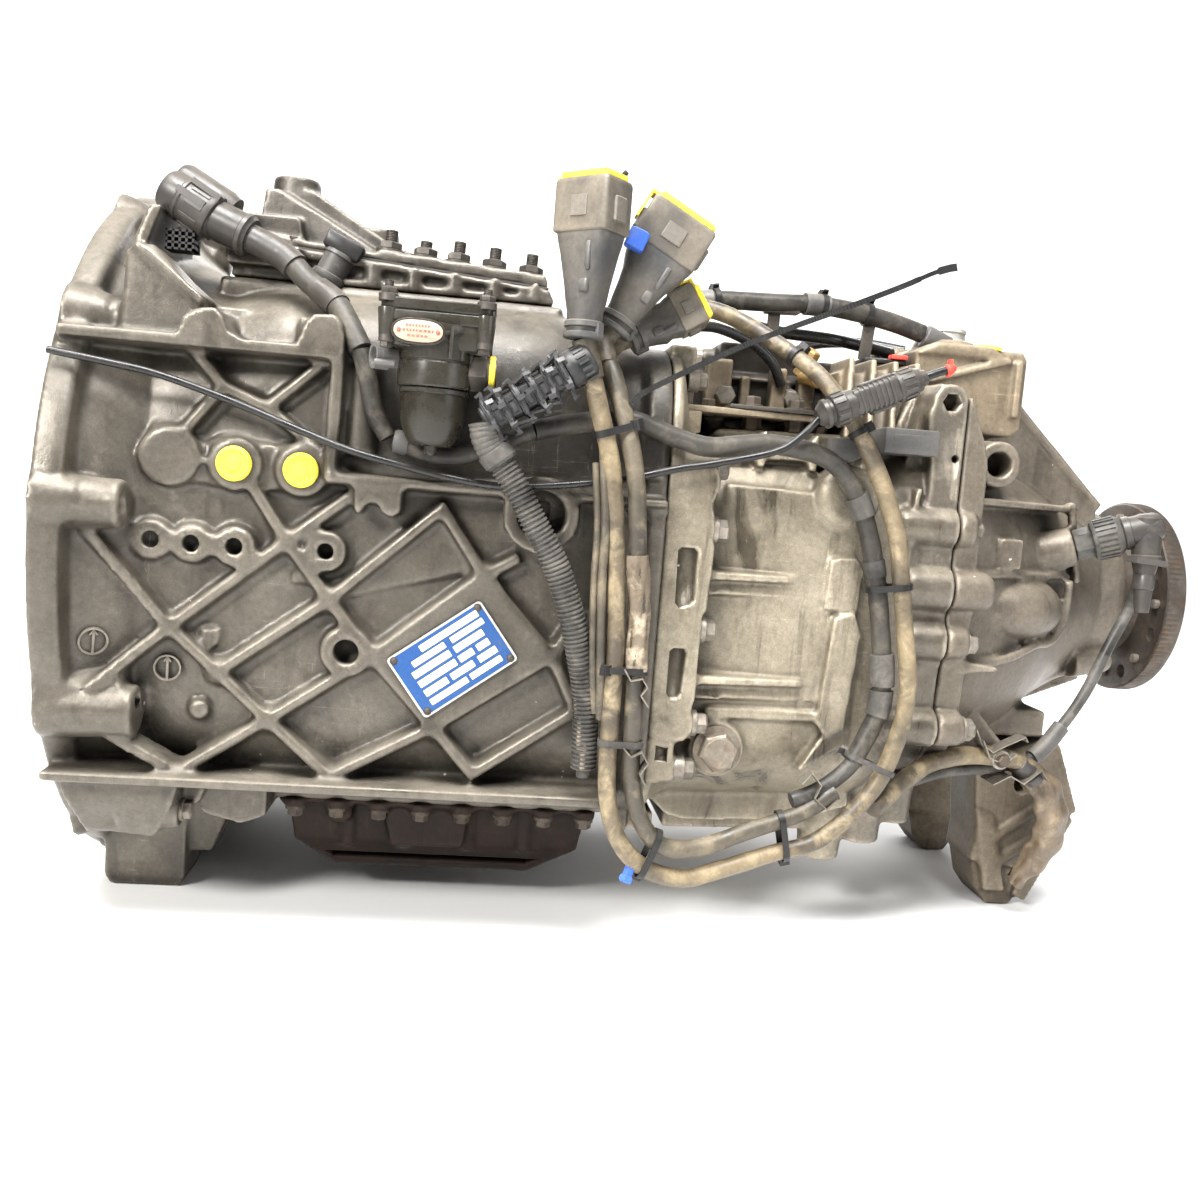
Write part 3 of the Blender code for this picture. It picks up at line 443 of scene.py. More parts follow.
def cast_metal(name, deep, mid, pale, dust, oil=0.4, metal=0.35, edge=0.7, sand=1.0, seed=0.0,
               reach=0.026, gloss=0.40, far=None, shade_patch=None):
    """Sand-cast alloy with a satin skin: painted shade and grime in the corners, oil films, settled dust, rubbed edges
    with a painted highlight.
    """
    m = Nodes(name)
    shift = m.t.nodes.new("ShaderNodeMapping")
    shift.inputs["Location"].default_value = (seed, seed * 0.7, seed * 1.3)
    m.link(m.coord.outputs["Object"], shift.inputs["Vector"])
    v = shift.outputs["Vector"]
    # dark colour for the painted shade in corners and hollows
    dirt_and_shade = (deep[0] * 0.40, deep[1] * 0.37, deep[2] * 0.32)
    light = (min(1, pale[0] * 1.45), min(1, pale[1] * 1.43), min(1, pale[2] * 1.40))
    big = m.noise(5.0, 5.0, 0.55, v, 0.6)
    med = m.noise(21.0, 7.0, 0.60, v, 0.5)
    mott = m.noise(74.0, 6.0, 0.62, v, 0.3)
    fine = m.noise(240.0, 5.0, 0.65, v)
    grain = m.noise(1150.0, 2.0, 0.5, v)
    lower = (mid[0] * 0.80, mid[1] * 0.79, mid[2] * 0.77)
    upper = (mid[0] * 1.16, mid[1] * 1.15, mid[2] * 1.13)
    base = m.mix(m.ramp(big, [(0.36, 0.0), (0.64, 1.0)]), lower, upper)
    if far:
        # towards the far end the skin is darker and greyer
        sep = m.t.nodes.new("ShaderNodeSeparateXYZ")
        m.link(m.coord.outputs["Object"], sep.inputs[0])
        along = m.math("ADD", sep.outputs["X"], m.math("MULTIPLY", m.math("SUBTRACT", med, 0.5), 0.05))
        turn = m.ramp(m.math("MULTIPLY", m.math("SUBTRACT", along, far[0]), 26.0, True), [(0.0, 0.0), (1.0, 1.0)])
        base = m.mix(turn, base, far[1])
    base = m.mix(m.ramp(med, [(0.52, 0.0), (0.74, 0.42)]), base, pale)
    base = m.mix(m.ramp(med, [(0.27, 0.55), (0.42, 0.0)]), base, deep)
    if shade_patch:
        # painted shade on the shoulder behind the regulator and under the actuator, where they block the light
        sep = m.t.nodes.new("ShaderNodeSeparateXYZ")
        m.link(m.coord.outputs["Object"], sep.inputs[0])
        wob = m.math("MULTIPLY", m.math("SUBTRACT", med, 0.5), 0.03)
        mx = m.math("MULTIPLY", m.math("SUBTRACT", m.math("ADD", sep.outputs["X"], wob), shade_patch[0]), 45.0, True)
        mz = m.math("MULTIPLY", m.math("SUBTRACT", m.math("ADD", sep.outputs["Z"], wob), shade_patch[1]), 70.0, True)
        base = m.mix(m.math("MULTIPLY", m.math("MULTIPLY", mx, mz, True), 0.80, True), base, shade_patch[2])
    base = m.mix(m.ramp(mott, [(0.60, 0.0), (0.74, 0.22)]), base, light)
    base = m.mix(m.ramp(mott, [(0.26, 0.35), (0.38, 0.0)]), base, deep)
    # oil films, drawn out downwards
    run = m.noise(1.0, 5.0, 0.62, m.scaled((30.0, 30.0, 4.5)), 1.2)
    oily = m.ramp(run, [(0.54, 0.0), (0.66, oil)])
    base = m.mix(oily, base, deep)
    # dust lies on what faces up
    up = m.ramp(m.up(), [(0.35, 0.0), (0.95, 0.75)])
    dusty = m.math("MULTIPLY", up, m.ramp(med, [(0.36, 0.35), (0.60, 1.0)]), True)
    base = m.mix(dusty, base, dust)
    # painted shade, with some grime, in the corners between ribs, bosses and walls, driven by ambient occlusion
    ao = m.t.nodes.new("ShaderNodeAmbientOcclusion")
    ao.samples = 5
    ao.inputs["Distance"].default_value = reach
    shade = m.math("ADD", ao.outputs["AO"], m.math("MULTIPLY", m.math("SUBTRACT", mott, 0.5), 0.35))
    corner_shade = m.ramp(shade, [(0.30, 0.94), (0.80, 0.0)])
    base = m.mix(corner_shade, base, dirt_and_shade)
    # painted shade in the hollows, where pointiness is low
    p = m.point()
    pocket_shade = m.ramp(p, [(0.43, 0.80), (0.495, 0.0)])
    base = m.mix(pocket_shade, base, dirt_and_shade)
    # rubbed wear on convex edges, which also serves as a painted highlight along the rib edges
    rub_and_highlight = m.math("MULTIPLY", m.ramp(p, [(0.515, 0.0), (0.560, edge)]),
                 m.ramp(mott, [(0.30, 0.35), (0.56, 1.0)]), True)
    base = m.mix(rub_and_highlight, base, light)
    # a few scuffs and flecks
    for scale, turn in (((7.0, 60.0, 95.0), 0.5), ((95.0, 60.0, 9.0), -0.4)):
        sc = m.t.nodes.new("ShaderNodeMapping")
        sc.inputs["Scale"].default_value = scale
        sc.inputs["Rotation"].default_value = (0.0, turn, 0.0)
        m.link(m.coord.outputs["Object"], sc.inputs["Vector"])
        line = m.noise(2.4, 3.0, 0.55, sc.outputs["Vector"], 0.2)
        hit = m.math("MULTIPLY", m.ramp(line, [(0.655, 0.0), (0.670, 0.5), (0.685, 0.0)]),
                     m.ramp(big, [(0.52, 0.0), (0.62, 1.0)]), True)
        base = m.mix(hit, base, light)
    vo = m.new("ShaderNodeTexVoronoi", Scale=70.0, Randomness=1.0)
    m.link(v, vo.inputs["Vector"])
    fleck = m.math("MULTIPLY", m.ramp(vo.outputs["Distance"], [(0.06, 0.8), (0.10, 0.0)]),
                   m.ramp(mott, [(0.60, 0.0), (0.64, 1.0)]), True)
    base = m.mix(fleck, base, (0.60, 0.58, 0.54))
    base = m.mix(1.0, base, m.ramp(fine, [(0.30, 0.80), (0.70, 1.16)]), "MULTIPLY")
    base = m.mix(1.0, base, m.ramp(grain, [(0.3, 0.86), (0.7, 1.12)]), "MULTIPLY")
    rough = m.ramp(med, [(0.28, gloss - 0.04), (0.72, gloss + 0.18)])
    rough = m.mix(oily, rough, (0.24, 0.24, 0.24))
    rough = m.mix(corner_shade, rough, (0.70, 0.70, 0.70))
    rough = m.mix(dusty, rough, (0.85, 0.85, 0.85))
    met = m.ramp(med, [(0.3, metal), (0.75, metal * 0.7)])
    m.bump([(big, 0.15, 2.0), (mott, 0.22, 0.8), (fine, 0.34 * sand, 0.6), (grain, 0.30 * sand, 0.30)])
    return m.done(base, rough, met)


def machined(name, colour, dirt_and_shade=(0.05, 0.04, 0.03), rough=0.35, amount=0.5, metal=0.9, rust=0.0):
    m = Nodes(name)
    med = m.noise(40.0, 6.0, 0.65)
    fine = m.noise(260.0, 4.0, 0.6)
    p = m.point()
    base = m.mix(m.ramp(med, [(0.42, 0.0), (0.60, amount)]), colour, dirt_and_shade)
    if rust:
        base = m.mix(m.ramp(m.noise(90.0, 6.0, 0.7), [(0.52, 0.0), (0.66, rust)]), base,
                     (0.150, 0.072, 0.032))
    # painted shade in the creases, where pointiness is low
    base = m.mix(m.ramp(p, [(0.40, 0.8), (0.49, 0.0)]), base, dirt_and_shade)
    base = m.mix(1.0, base, m.ramp(fine, [(0.3, 0.82), (0.7, 1.12)]), "MULTIPLY")
    r = m.ramp(med, [(0.3, rough), (0.7, min(1.0, rough + 0.35))])
    m.bump([(med, 0.12, 0.6), (fine, 0.15, 0.2)])
    return m.done(base, r, m.ramp(med, [(0.4, metal), (0.75, metal * 0.4)]))


def plastic(name, colour, dust=(0.30, 0.26, 0.20), amount=0.5, rough=0.5, scuff=0.4):
    m = Nodes(name)
    big = m.noise(14.0, 5.0, 0.62, None, 0.5)
    med = m.noise(60.0, 6.0, 0.65)
    fine = m.noise(420.0, 3.0, 0.55)
    up = m.ramp(m.up(), [(0.2, 0.0), (0.95, 0.7)])
    base = m.mix(m.ramp(big, [(0.40, 0.0), (0.72, amount)]), colour, dust)
    base = m.mix(m.math("MULTIPLY", up, m.ramp(med, [(0.35, 0.3), (0.65, 0.9)]), True), base, dust)
    p = m.point()
    # painted shade in the creases, where pointiness is low
    base = m.mix(m.ramp(p, [(0.40, 0.75), (0.488, 0.0)]), base,
                 (colour[0] * 0.4, colour[1] * 0.38, colour[2] * 0.34))
    base = m.mix(m.ramp(p, [(0.515, 0.0), (0.60, scuff)]), base,
                 (min(1, colour[0] * 2.0 + 0.03), min(1, colour[1] * 2.0 + 0.03),
                  min(1, colour[2] * 2.0 + 0.03)))
    base = m.mix(m.ramp(med, [(0.60, 0.0), (0.72, 0.35)]), base, dust)
    base = m.mix(1.0, base, m.ramp(fine, [(0.3, 0.85), (0.7, 1.1)]), "MULTIPLY")
    r = m.ramp(med, [(0.3, rough), (0.72, min(1.0, rough + 0.35))])
    m.bump([(med, 0.10, 0.5), (fine, 0.14, 0.12)])
    return m.done(base, r, 0.0)


def sheath(name, colour, dark, pale, worn=0.6):
    """Cable covering with grimy and rubbed lengths."""
    m = Nodes(name)
    big = m.noise(11.0, 4.0, 0.6, None, 0.8)
    med = m.noise(48.0, 6.0, 0.68, None, 0.5)
    fine = m.noise(380.0, 4.0, 0.6)
    base = m.mix(m.ramp(big, [(0.40, 0.0), (0.62, 1.0)]), dark, colour)
    base = m.mix(m.ramp(med, [(0.50, 0.0), (0.68, worn)]), base, pale)
    base = m.mix(m.ramp(med, [(0.30, 0.7), (0.42, 0.0)]), base,
                 (dark[0] * 0.5, dark[1] * 0.5, dark[2] * 0.5))
    base = m.mix(1.0, base, m.ramp(fine, [(0.3, 0.84), (0.7, 1.12)]), "MULTIPLY")
    r = m.ramp(med, [(0.3, 0.34), (0.7, 0.66)])
    m.bump([(med, 0.20, 0.7), (fine, 0.22, 0.16)])
    return m.done(base, r, 0.0)


# the front casting's last setting paints shade on the shoulder behind the regulator and under the actuator
M_FRONT = cast_metal("cast_front", (0.033, 0.028, 0.021), (0.080, 0.070, 0.056),
                     (0.150, 0.134, 0.110), (0.175, 0.152, 0.118), 0.50, 0.42, 0.62, gloss=0.31,
                     shade_patch=(-0.264, 0.346, (0.022, 0.019, 0.016)))
M_REAR = cast_metal("cast_rear", (0.082, 0.068, 0.048), (0.228, 0.198, 0.148),
                    (0.385, 0.342, 0.268), (0.275, 0.238, 0.175), 0.95, 0.45, 0.50, seed=3.1, gloss=0.34,
                    far=(0.128, (0.112, 0.096, 0.076)))
M_RANGE = cast_metal("cast_range", (0.050, 0.040, 0.030), (0.128, 0.108, 0.084),
                     (0.205, 0.178, 0.142), (0.225, 0.190, 0.142), 0.45, 0.45, 0.50, seed=5.7, gloss=0.36)
M_DARK = cast_metal("cast_dark", (0.016, 0.013, 0.010), (0.046, 0.038, 0.030),
                    (0.105, 0.090, 0.072), (0.160, 0.138, 0.106), 0.6, 0.45, 0.6, seed=8.2, gloss=0.34)
M_PAN = cast_metal("cast_pan", (0.004, 0.003, 0.002), (0.012, 0.007, 0.005),
                   (0.032, 0.017, 0.011), (0.030, 0.020, 0.013), 0.6, 0.30, 0.3, seed=4.4, gloss=0.38)
M_ACTUATOR = cast_metal("cast_actuator", (0.022, 0.019, 0.016), (0.064, 0.056, 0.046),
                        (0.135, 0.122, 0.104), (0.190, 0.168, 0.135), 0.55, 0.50, 0.8, seed=6.3, gloss=0.32)
M_BRACKET = cast_metal("cast_bracket", (0.045, 0.034, 0.023), (0.118, 0.094, 0.066),
                       (0.190, 0.158, 0.115), (0.210, 0.175, 0.128), 0.45, 0.30, 0.5, seed=1.2, gloss=0.42)
M_BROWN = cast_metal("cast_brown", (0.062, 0.047, 0.030), (0.155, 0.122, 0.082),
                     (0.260, 0.215, 0.150), (0.280, 0.235, 0.165), 0.40, 0.32, 0.45, seed=2.2, gloss=0.44)
M_STEEL = machined("steel", (0.25, 0.225, 0.19), (0.08, 0.064, 0.046), 0.36, 0.75, 0.75)
M_CLEAN = machined("clean_steel", (0.56, 0.55, 0.53), (0.20, 0.18, 0.15), 0.24, 0.35)
M_FLANGE = machined("flange_steel", (0.095, 0.080, 0.066), (0.032, 0.024, 0.017), 0.30, 0.7, 0.75, 0.35)
M_RUST = machined("rusty_screw", (0.085, 0.068, 0.052), (0.030, 0.022, 0.016), 0.46, 0.75, 0.55, 0.25)
M_GUN = machined("dark_steel", (0.085, 0.076, 0.066), (0.026, 0.022, 0.018), 0.34, 0.6, 0.7, 0.12)
M_BLACK = plastic("black_plastic", (0.007, 0.007, 0.007), (0.060, 0.052, 0.042), 0.28, 0.28, 0.2)
M_REG = plastic("regulator_black", (0.015, 0.013, 0.009), (0.050, 0.042, 0.030), 0.20, 0.13, 0.5)
M_GREY = plastic("grey_plastic", (0.036, 0.034, 0.032), (0.190, 0.168, 0.140), 0.45, 0.38, 0.7)
M_YELLOW = plastic("yellow_plastic", (0.86, 0.655, 0.038), (0.74, 0.56, 0.09), 0.15, 0.40, 0.0)
M_BLUE_BIT = plastic("blue_plastic", (0.010, 0.065, 0.34), (0.12, 0.14, 0.17), 0.2, 0.4)
M_RED_BIT = plastic("red_plastic", (0.60, 0.03, 0.015), (0.2, 0.1, 0.08), 0.15, 0.4)
M_SHEATH = sheath("harness_sheath", (0.165, 0.126, 0.072), (0.052, 0.040, 0.026),
                  (0.380, 0.300, 0.175), 0.55)
M_SHEATH2 = sheath("harness_sheath_dark", (0.086, 0.070, 0.047), (0.030, 0.025, 0.018),
                   (0.205, 0.165, 0.105))
M_HOSE = sheath("hose_dark", (0.050, 0.045, 0.037), (0.017, 0.015, 0.013),
                (0.150, 0.130, 0.098), 0.45)
M_CONDUIT = sheath("conduit_grey", (0.074, 0.069, 0.062), (0.022, 0.020, 0.018),
                   (0.190, 0.170, 0.142), 0.4)
M_TAPE = sheath("torn_sleeve", (0.250, 0.200, 0.135), (0.100, 0.076, 0.050),
                (0.430, 0.360, 0.260), 0.8)
M_LEAD = plastic("lead_black", (0.006, 0.006, 0.006), (0.040, 0.036, 0.031), 0.12, 0.16, 0.0)
M_TIE = plastic("tie_black", (0.008, 0.008, 0.008), (0.055, 0.049, 0.041), 0.20, 0.24, 0.05)
M_RUBBER = plastic("rubber_black", (0.024, 0.022, 0.020), (0.11, 0.095, 0.078), 0.4, 0.7)
M_BRONZE = machined("bronze", (0.50, 0.33, 0.13), (0.12, 0.08, 0.04), 0.34, 0.5)
M_GEAR = machined("gear_steel", (0.46, 0.44, 0.41), (0.16, 0.11, 0.05), 0.22, 0.45)
M_PLUG = machined("plug_steel", (0.26, 0.225, 0.18), (0.10, 0.08, 0.058), 0.40, 0.8, 0.8, 0.25)
M_PLATE_METAL = machined("plate_metal", (0.62, 0.60, 0.56), (0.20, 0.17, 0.13), 0.3, 0.4)
M_PLATE_BLUE = plastic("plate_blue", (0.001, 0.046, 0.175), (0.05, 0.08, 0.13), 0.12, 0.30, 0.0)
M_PLATE_CREAM = plastic("plate_cream", (0.60, 0.57, 0.46), (0.34, 0.29, 0.21), 0.35, 0.45, 0.0)
M_PLATE_MARK = plastic("plate_mark", (0.06, 0.06, 0.065), (0.3, 0.28, 0.22), 0.2, 0.5, 0.0)
M_OVAL = plastic("label_oval", (0.42, 0.30, 0.22), (0.22, 0.14, 0.10), 0.50, 0.4, 0.0)
M_OVAL_MARK = plastic("label_oval_mark", (0.20, 0.07, 0.05), (0.30, 0.20, 0.14), 0.3, 0.4, 0.0)
M_GREY2 = plastic("grey_plastic_brown", (0.026, 0.023, 0.021), (0.105, 0.090, 0.070), 0.38, 0.26, 0.3)
M_SPLIT = plastic("splitter_plastic", (0.008, 0.008, 0.0085), (0.080, 0.072, 0.062), 0.22, 0.24, 0.7)
M_BOOT = sheath("torn_boot", (0.165, 0.122, 0.078), (0.052, 0.037, 0.024), (0.300, 0.240, 0.165), 0.6)
M_CHEAD = plastic("connector_head", (0.060, 0.052, 0.042), (0.205, 0.172, 0.128), 0.80, 0.42, 0.6)
M_CBOOT = plastic("connector_boot", (0.036, 0.036, 0.037), (0.185, 0.160, 0.125), 0.55, 0.30, 0.5)
for mat, level in ((M_PAN, 0.18), (M_REG, 0.34), (M_TIE, 0.28), (M_BLACK, 0.30), (M_LEAD, 0.40), (M_SPLIT, 0.34),
                   (M_RUBBER, 0.25), (M_GREY2, 0.36), (M_HOSE, 0.30), (M_CONDUIT, 0.30), (M_CBOOT, 0.34)):
    for node in mat.node_tree.nodes:
        if node.type == "BSDF_PRINCIPLED":
            node.inputs["Specular IOR Level"].default_value = level


def names(*starts):
    return [n for n in NODES if n.startswith(starts)]


def hexbolt(p, d, r=6.0, head=7.5, flange=2.0, proud=0.0, sunk=6.0, phase=0.0):
    """Hexagon bolt head with a washer face and a domed, chamfered top."""
    d = Vector(d).normalized()
    p = Vector(p) + d * proud
    return [turned(p - d * sunk, d, [(0, r * 1.25), (sunk + flange, r * 1.25), (sunk + flange + 0.4, r * 1.15)], 20),
            turned(p + d * flange, d, [(0, r * 1.04), (head * 0.82, r * 1.04), (head, r * 0.86)], 6, phase),
            turned(p + d * (flange + head * 0.9), d, [(0, r * 0.72), (head * 0.12, r * 0.66)], 12)]


def stud(p, d, r=4.0, nut=7.5, height=7.0, proud=7.0, phase=0.3):
    """Nut on a stud, with the threaded end standing out."""
    d = Vector(d).normalized()
    p = Vector(p)
    prof = [(height - 1.0, r)]
    t = height - 1.0
    while t < height + proud:
        prof += [(t + 0.5, r), (t + 0.9, r * 0.86), (t + 1.2, r)]
        t += 1.2
    return [turned(p - d * 3, d, [(0, nut * 1.25), (4.4, nut * 1.25), (4.8, nut * 1.15)], 20),
            turned(p + d * 1.6, d, [(0, nut * 0.92), (1.0, nut * 1.05), (height - 2.6, nut * 1.05),
                                    (height - 1.6, nut * 0.88)], 6, phase),
            turned(p, d, prof, 14)]


# ================================================================== front housing
LATTICE = {"A": (83, -54), "B": (117, -84), "C": (153, -116), "D": (160, 11), "E": (191, -28),
           "G": (223, -66), "H": (266, 42), "I": (298, -3), "J": (269, -115), "K": (33, 9),
           "Q": (36, -97), "L": (299, -148), "M": (93, -157), "N": (198, -155), "O": (136, 46),
           "P": (206, 49), "R": (371, -97), "S": (369, -27), "T": (351, -58), "V": (320, 10)}
RIBS = ("KA", "AB", "BC", "CN", "QA", "AD", "DP", "MC", "CG", "GI", "IV", "BE", "EH",
        "OD", "DE", "EG", "GJ", "JL", "NJ", "JT", "TS", "HI", "IT", "TR", "LR")
UPPER = (((90, 138), (112, 114)), ((112, 114), (142, 102)), ((142, 102), (181, 138)),
         ((142, 102), (178, 76)), ((112, 114), (89, 84)))
RIB_Y = -240.0

front = [loft([(0, 0, 0, 276, 276, 2), (14, 0, 0, 276, 276, 2), (20, 0, 0, 274, 274, 2),
               (23, 0, 0, 258, 258, 2.15), (60, 0, -2, 234, 222, 2.8), (104, 0, 0, 228, 198, 4.2),
               (150, 0, 6, 228, 192, 6), (340, 0, 6, 226, 192, 6), (404, 0, -3, 225, 182, 6),
               (409, 0, -6, 236, 184, 6), (425, 0, -6, 236, 184, 6)], 160, 6)]
for k, (a, b) in enumerate(RIBS):
    front.append(bar_xz(LATTICE[a], LATTICE[b], 7.2, 12.5, RIB_Y + 0.03 * k, -216, 3.0))
for k, (a, b) in enumerate(UPPER):
    front.append(bar_xz(a, b, 6.5, 12, RIB_Y + 2.0 + 0.05 * k, -214, 3.0))
# ribs that climb the bell's flare
for (x0, z0), (x1, z1), y0 in (((30, 13), (83, -54), -259), ((33, -101), (83, -54), -257), ((52, -132), (93, -157), -250),
                               ((33, -101), (52, -132), -255)):
    y1 = -241.2 if x1 > 80 else -250
    n = Vector((z0 - z1, 0, x1 - x0)).normalized()
    front.append(bar((x0, y0 + 14, z0), (x1, y1 + 14, z1), n, 8.0, 28))
# webs that thicken the crossings
for key in "ABCDEGIJT":
    x, z = LATTICE[key]
    front.append(cyl((x, RIB_Y + 3.5, z), (x, -216, z), 8.0, 15.0, 20))
front += [
    # rails and their ears
    bar_xz((8, 141.5), (187, 141.5), 7.5, 10, -250, -205, 3),
    slab_xz([(82, 138), (83, 147), (87, 157), (94, 163), (107, 165.5), (113, 160), (116, 151),
             (125, 146), (128, 138)], -250, -205),
    slab_xz([(158, 139), (163, 150), (166, 160), (172, 166.5), (186, 168), (192, 162),
             (193.5, 150), (193.5, 139)], -250, -205),
    slab_xz([(184, 56), (191.5, 56), (193.5, 110), (193.5, 141), (186, 141), (184, 110)], -248, -205),
    bar_xz((186, 57.5), (312, 57.5), 7.0, 10, -249.5, -212, 0),
    slab_xz([(205, 58), (238, 58), (238, 38), (232, 33), (225, 36), (222, 42), (214, 42),
             (210, 34), (206, 36)], -249, -212),
    bar_xz((6, -161.2), (398, -161.2), 7.5, 11, -250.5, -196, 2),
    bar_xz((300, 57.5), (425, 57.5), 5.0, 8, -249.5, -212, 0),
    # strip beside the parting line
    slab_xz([(412, 60), (425, 60), (425, -160), (412, -160)], -242, -210),
    # upper panel edge that runs down from the bell, with its rounded end
    slab_xz([(42, 201), (60, 206), (92, 174), (97, 160), (97, 141), (40, 141)], -229, -185),
    bar_xz((50, 204), (94, 171), 5, 8, -232, -190, 2),
    slab_xz([(51, 235), (60, 236), (46, 194), (34, 190)], -212, -100),
    # nameplate pad and the pad for a casting number, left blank
    slab_xz([(227, -66), (301, 4), (347, -57), (269, -120)], RIB_Y + 0.9, -214),
    slab_xz([(201, -27), (291, -1), (268, 35), (214, -12)], -231.2, -216),
    # oval pad, small pads and nubs
    slab_xz([(159, 150), (193, 150), (193, 166), (159, 166)], -233, -210),
    slab_xz([(401, 108), (421, 106), (421, 74), (401, 74)], -240, -205),
    slab_xz([(397, 53), (427, 53), (424, 47), (399, 47)], -240, -205),
    cyl((104, -231.0, -113), (104, -200, -113), 7.0, 9.0, 20),
    slab_xz([(104, -55), (116, -55), (116, -65), (111, -69), (104, -66)], -232, -214),
    slab_xz([(164, -10), (176, -10), (176, -18), (164, -18)], -233, -214),
    turned((158, -205, -95), (0, -1, 0), [(0, 24), (20, 23), (23.5, 20)], 40),
    # rising wall between the ledge bosses and the rail
    slab_xz([(58, 66), (66, 84), (78, 86), (90, 78), (100, 74), (112, 80), (134, 78), (150, 76),
             (164, 80), (184, 74), (184, 52), (150, 46), (110, 46), (66, 50)], -234, -212),
]
for x, z, r in ((79, 64, 20.5), (123, 62, 18.2), (168, 61, 18.2)):
    front.append(cyl((x, RIB_Y - 0.3, z), (x, -205, z), r, r + 2, 48))
for x, z, r in ((69, 6, 14), (96, 5, 13.5), (125, 5, 14)):
    front.append(cyl((x, RIB_Y - 0.6, z), (x, -205, z), r, r + 1.5, 40))
front += [bar_xz((69, 6), (125, 5), 15, 18, -239.6, -212, 0),
          cyl((187, RIB_Y + 0.5, 6), (187, -205, 6), 14.2, 15.8, 40),
          cyl((205, RIB_Y, -64), (205, -205, -64), 18, 20, 44),
          cyl((206, -228, 74), (206, -228, 134), 11.5, 10.5, 32),
          ball((206, -228, 134), 10.5, 10.5, 8)]
# date discs: the list is empty, so none are drawn here
for x, z, y, r in ():
    front += [washer((x, y + 1.0, z), (0, -1, 0), r - 2.2, r, 2.4, 40),
              bar_xz((x, z - r + 2), (x, z + r - 2), 2.0, 2.4, y - 1.2, y + 2, 0),
              bar_xz((x - r + 2, z), (x + r - 2, z), 2.0, 2.4, y - 1.0, y + 2, 0)]
# lifting eye
front.append(washer((335, -240, 43), (0, -1, 0), 17.5, 27, 10, 48))
front += [bar_xz((322, 20), (335, 43), 30, 34, -246, -214, -22),
          slab_xz([(312, 64), (330, 66), (330, 52), (312, 30)], -246, -214),
          slab_xz([(343, 66), (362, 64), (362, 30), (343, 20)], -243, -214)]
# bell flange bosses
HOLES = [143.5 + 30 * k for k in range(12)]
for k, a in enumerate(HOLES):
    t = math.radians(a)
    c, s = math.cos(t), math.sin(t)
    if k == 2:
        # this one stands out beside the lattice
        front += [cyl((2, -241, -114), (62, -241, -114), 21.0, 18.5, 40),
                  turned((58, -241, -114), (1, 0, 0), [(0, 18.6), (6.5, 18.4), (8, 17.0)], 40),
                  cyl((2, -232, -112), (52, -232, -112), 26, 18, 32)]
    end = 54 if k in (0, 1, 2, 10, 9, 8) else 36
    front += [cyl((2, 258 * c, 258 * s), (end, 258 * c, 258 * s), 18.5, 16.5, 32),
              cyl((2, 262 * c, 262 * s), (end * 0.55, 262 * c, 262 * s), 22, 16, 28),
              turned((end - 3, 258 * c, 258 * s), (1, 0, 0), [(0, 17.2), (5, 17.0), (6, 15.8)], 32),
              turned((2, 238 * c, 238 * s), (1, 0, 0), [(0, 24), (end * 0.8, 17), (end, 8)], 24)]
# feet, dowel pads
for s in (-1, 1):
    y = s * 112
    front += [rings([[(16, y - 28, z), (78, y - 28, z), (78, y + 28, z), (16, y + 28, z)]
                     for z in (-270, -205)]),
              rings([[(20, y - 25, -277.5), (74, y - 25, -277.5), (74, y + 25, -277.5), (20, y + 25, -277.5)],
                     [(16, y - 28, -268), (78, y - 28, -268), (78, y + 28, -268), (16, y + 28, -268)]]),
              rings([[(10, y - 20, -250), (96, y - 20, -250), (96, y + 20, -250), (10, y + 20, -250)],
                     [(6, y - 30, -190), (120, y - 30, -190), (120, y + 30, -190), (6, y + 30, -190)]]),
              box(30, 120, s * 196 - 6, s * 196 + 6, 112, 172)]
front += [rings([[(24, -216, -208), (76, -226, -209), (76, -150, -209), (24, -150, -208)],
                 [(16, -234, -182), (90, -236, -182), (90, -150, -182), (16, -150, -182)],
                 [(10, -236, -164), (94, -236, -164), (94, -150, -164), (10, -150, -164)]]),
          cyl((50, -216, -190), (92, -216, -190), 15.5, 13.0, 28),
          slab_xz([(19, -166), (110, -166), (104, -184), (78, -208), (24, -212)], -212, -120),
          slab_xz([(19, -166), (110, -166), (104, -184), (78, -208), (24, -212)], 120, 226)]
# far side: bars and rails
for k, (a, b) in enumerate(("AB", "AD", "DE", "BE", "EG", "BC", "CG", "GI", "IV", "EH", "DP",
                            "GJ", "NJ", "JT", "TS")):
    front.append(bar_xz(LATTICE[a], LATTICE[b], 7.2, 12.0, 238.0 + 0.05 * k, 216, 3.0))
front += [bar_xz((6, -161.2), (398, -161.2), 7.5, 11, 248, 196, 2),
          bar_xz((6, 57.5), (420, 57.5), 7.0, 10, 247, 205, 0),
          bar_xz((40, 141.5), (400, 141.5), 7.0, 10, 240, 200, 0),
          bar_xz((250, 57), (250, 140), 7, 10, 240, 205, 0),
          bar_xz((380, -160), (380, 140), 7, 10, 240, 205, 0)]
for x, z in ((100, 100), (180, 100), (310, 100), (330, -110)):
    front.append(cyl((x, 242, z), (x, 200, z), 14, 17, 28))
# underside rim that carries the pan, and the lower gallery in front of it
front += [box(148, 404, -176, 176, -190, -178),
          slab_xz([(96, -168), (150, -168), (150, -196), (132, -203), (104, -196)], -204, 190),
          slab_xz([(398, -160), (425, -160), (425, -206), (410, -206)], -170, 170)]
# roof: rails under the shift actuator
front += [box(96, 340, -174, -150, 186, 197.8), box(96, 340, 16, 34, 186, 197.8),
          box(92, 110, -174, 34, 186, 197.8), box(330, 344, -174, 34, 186, 197.8),
          slab_xz([(356, 190), (410, 180), (410, 190), (360, 204)], 40, 190),
          cyl((300, 120, 180), (300, 120, 214), 26, 22, 32),
          cyl((180, 130, 180), (180, 130, 208), 20, 17, 32)]

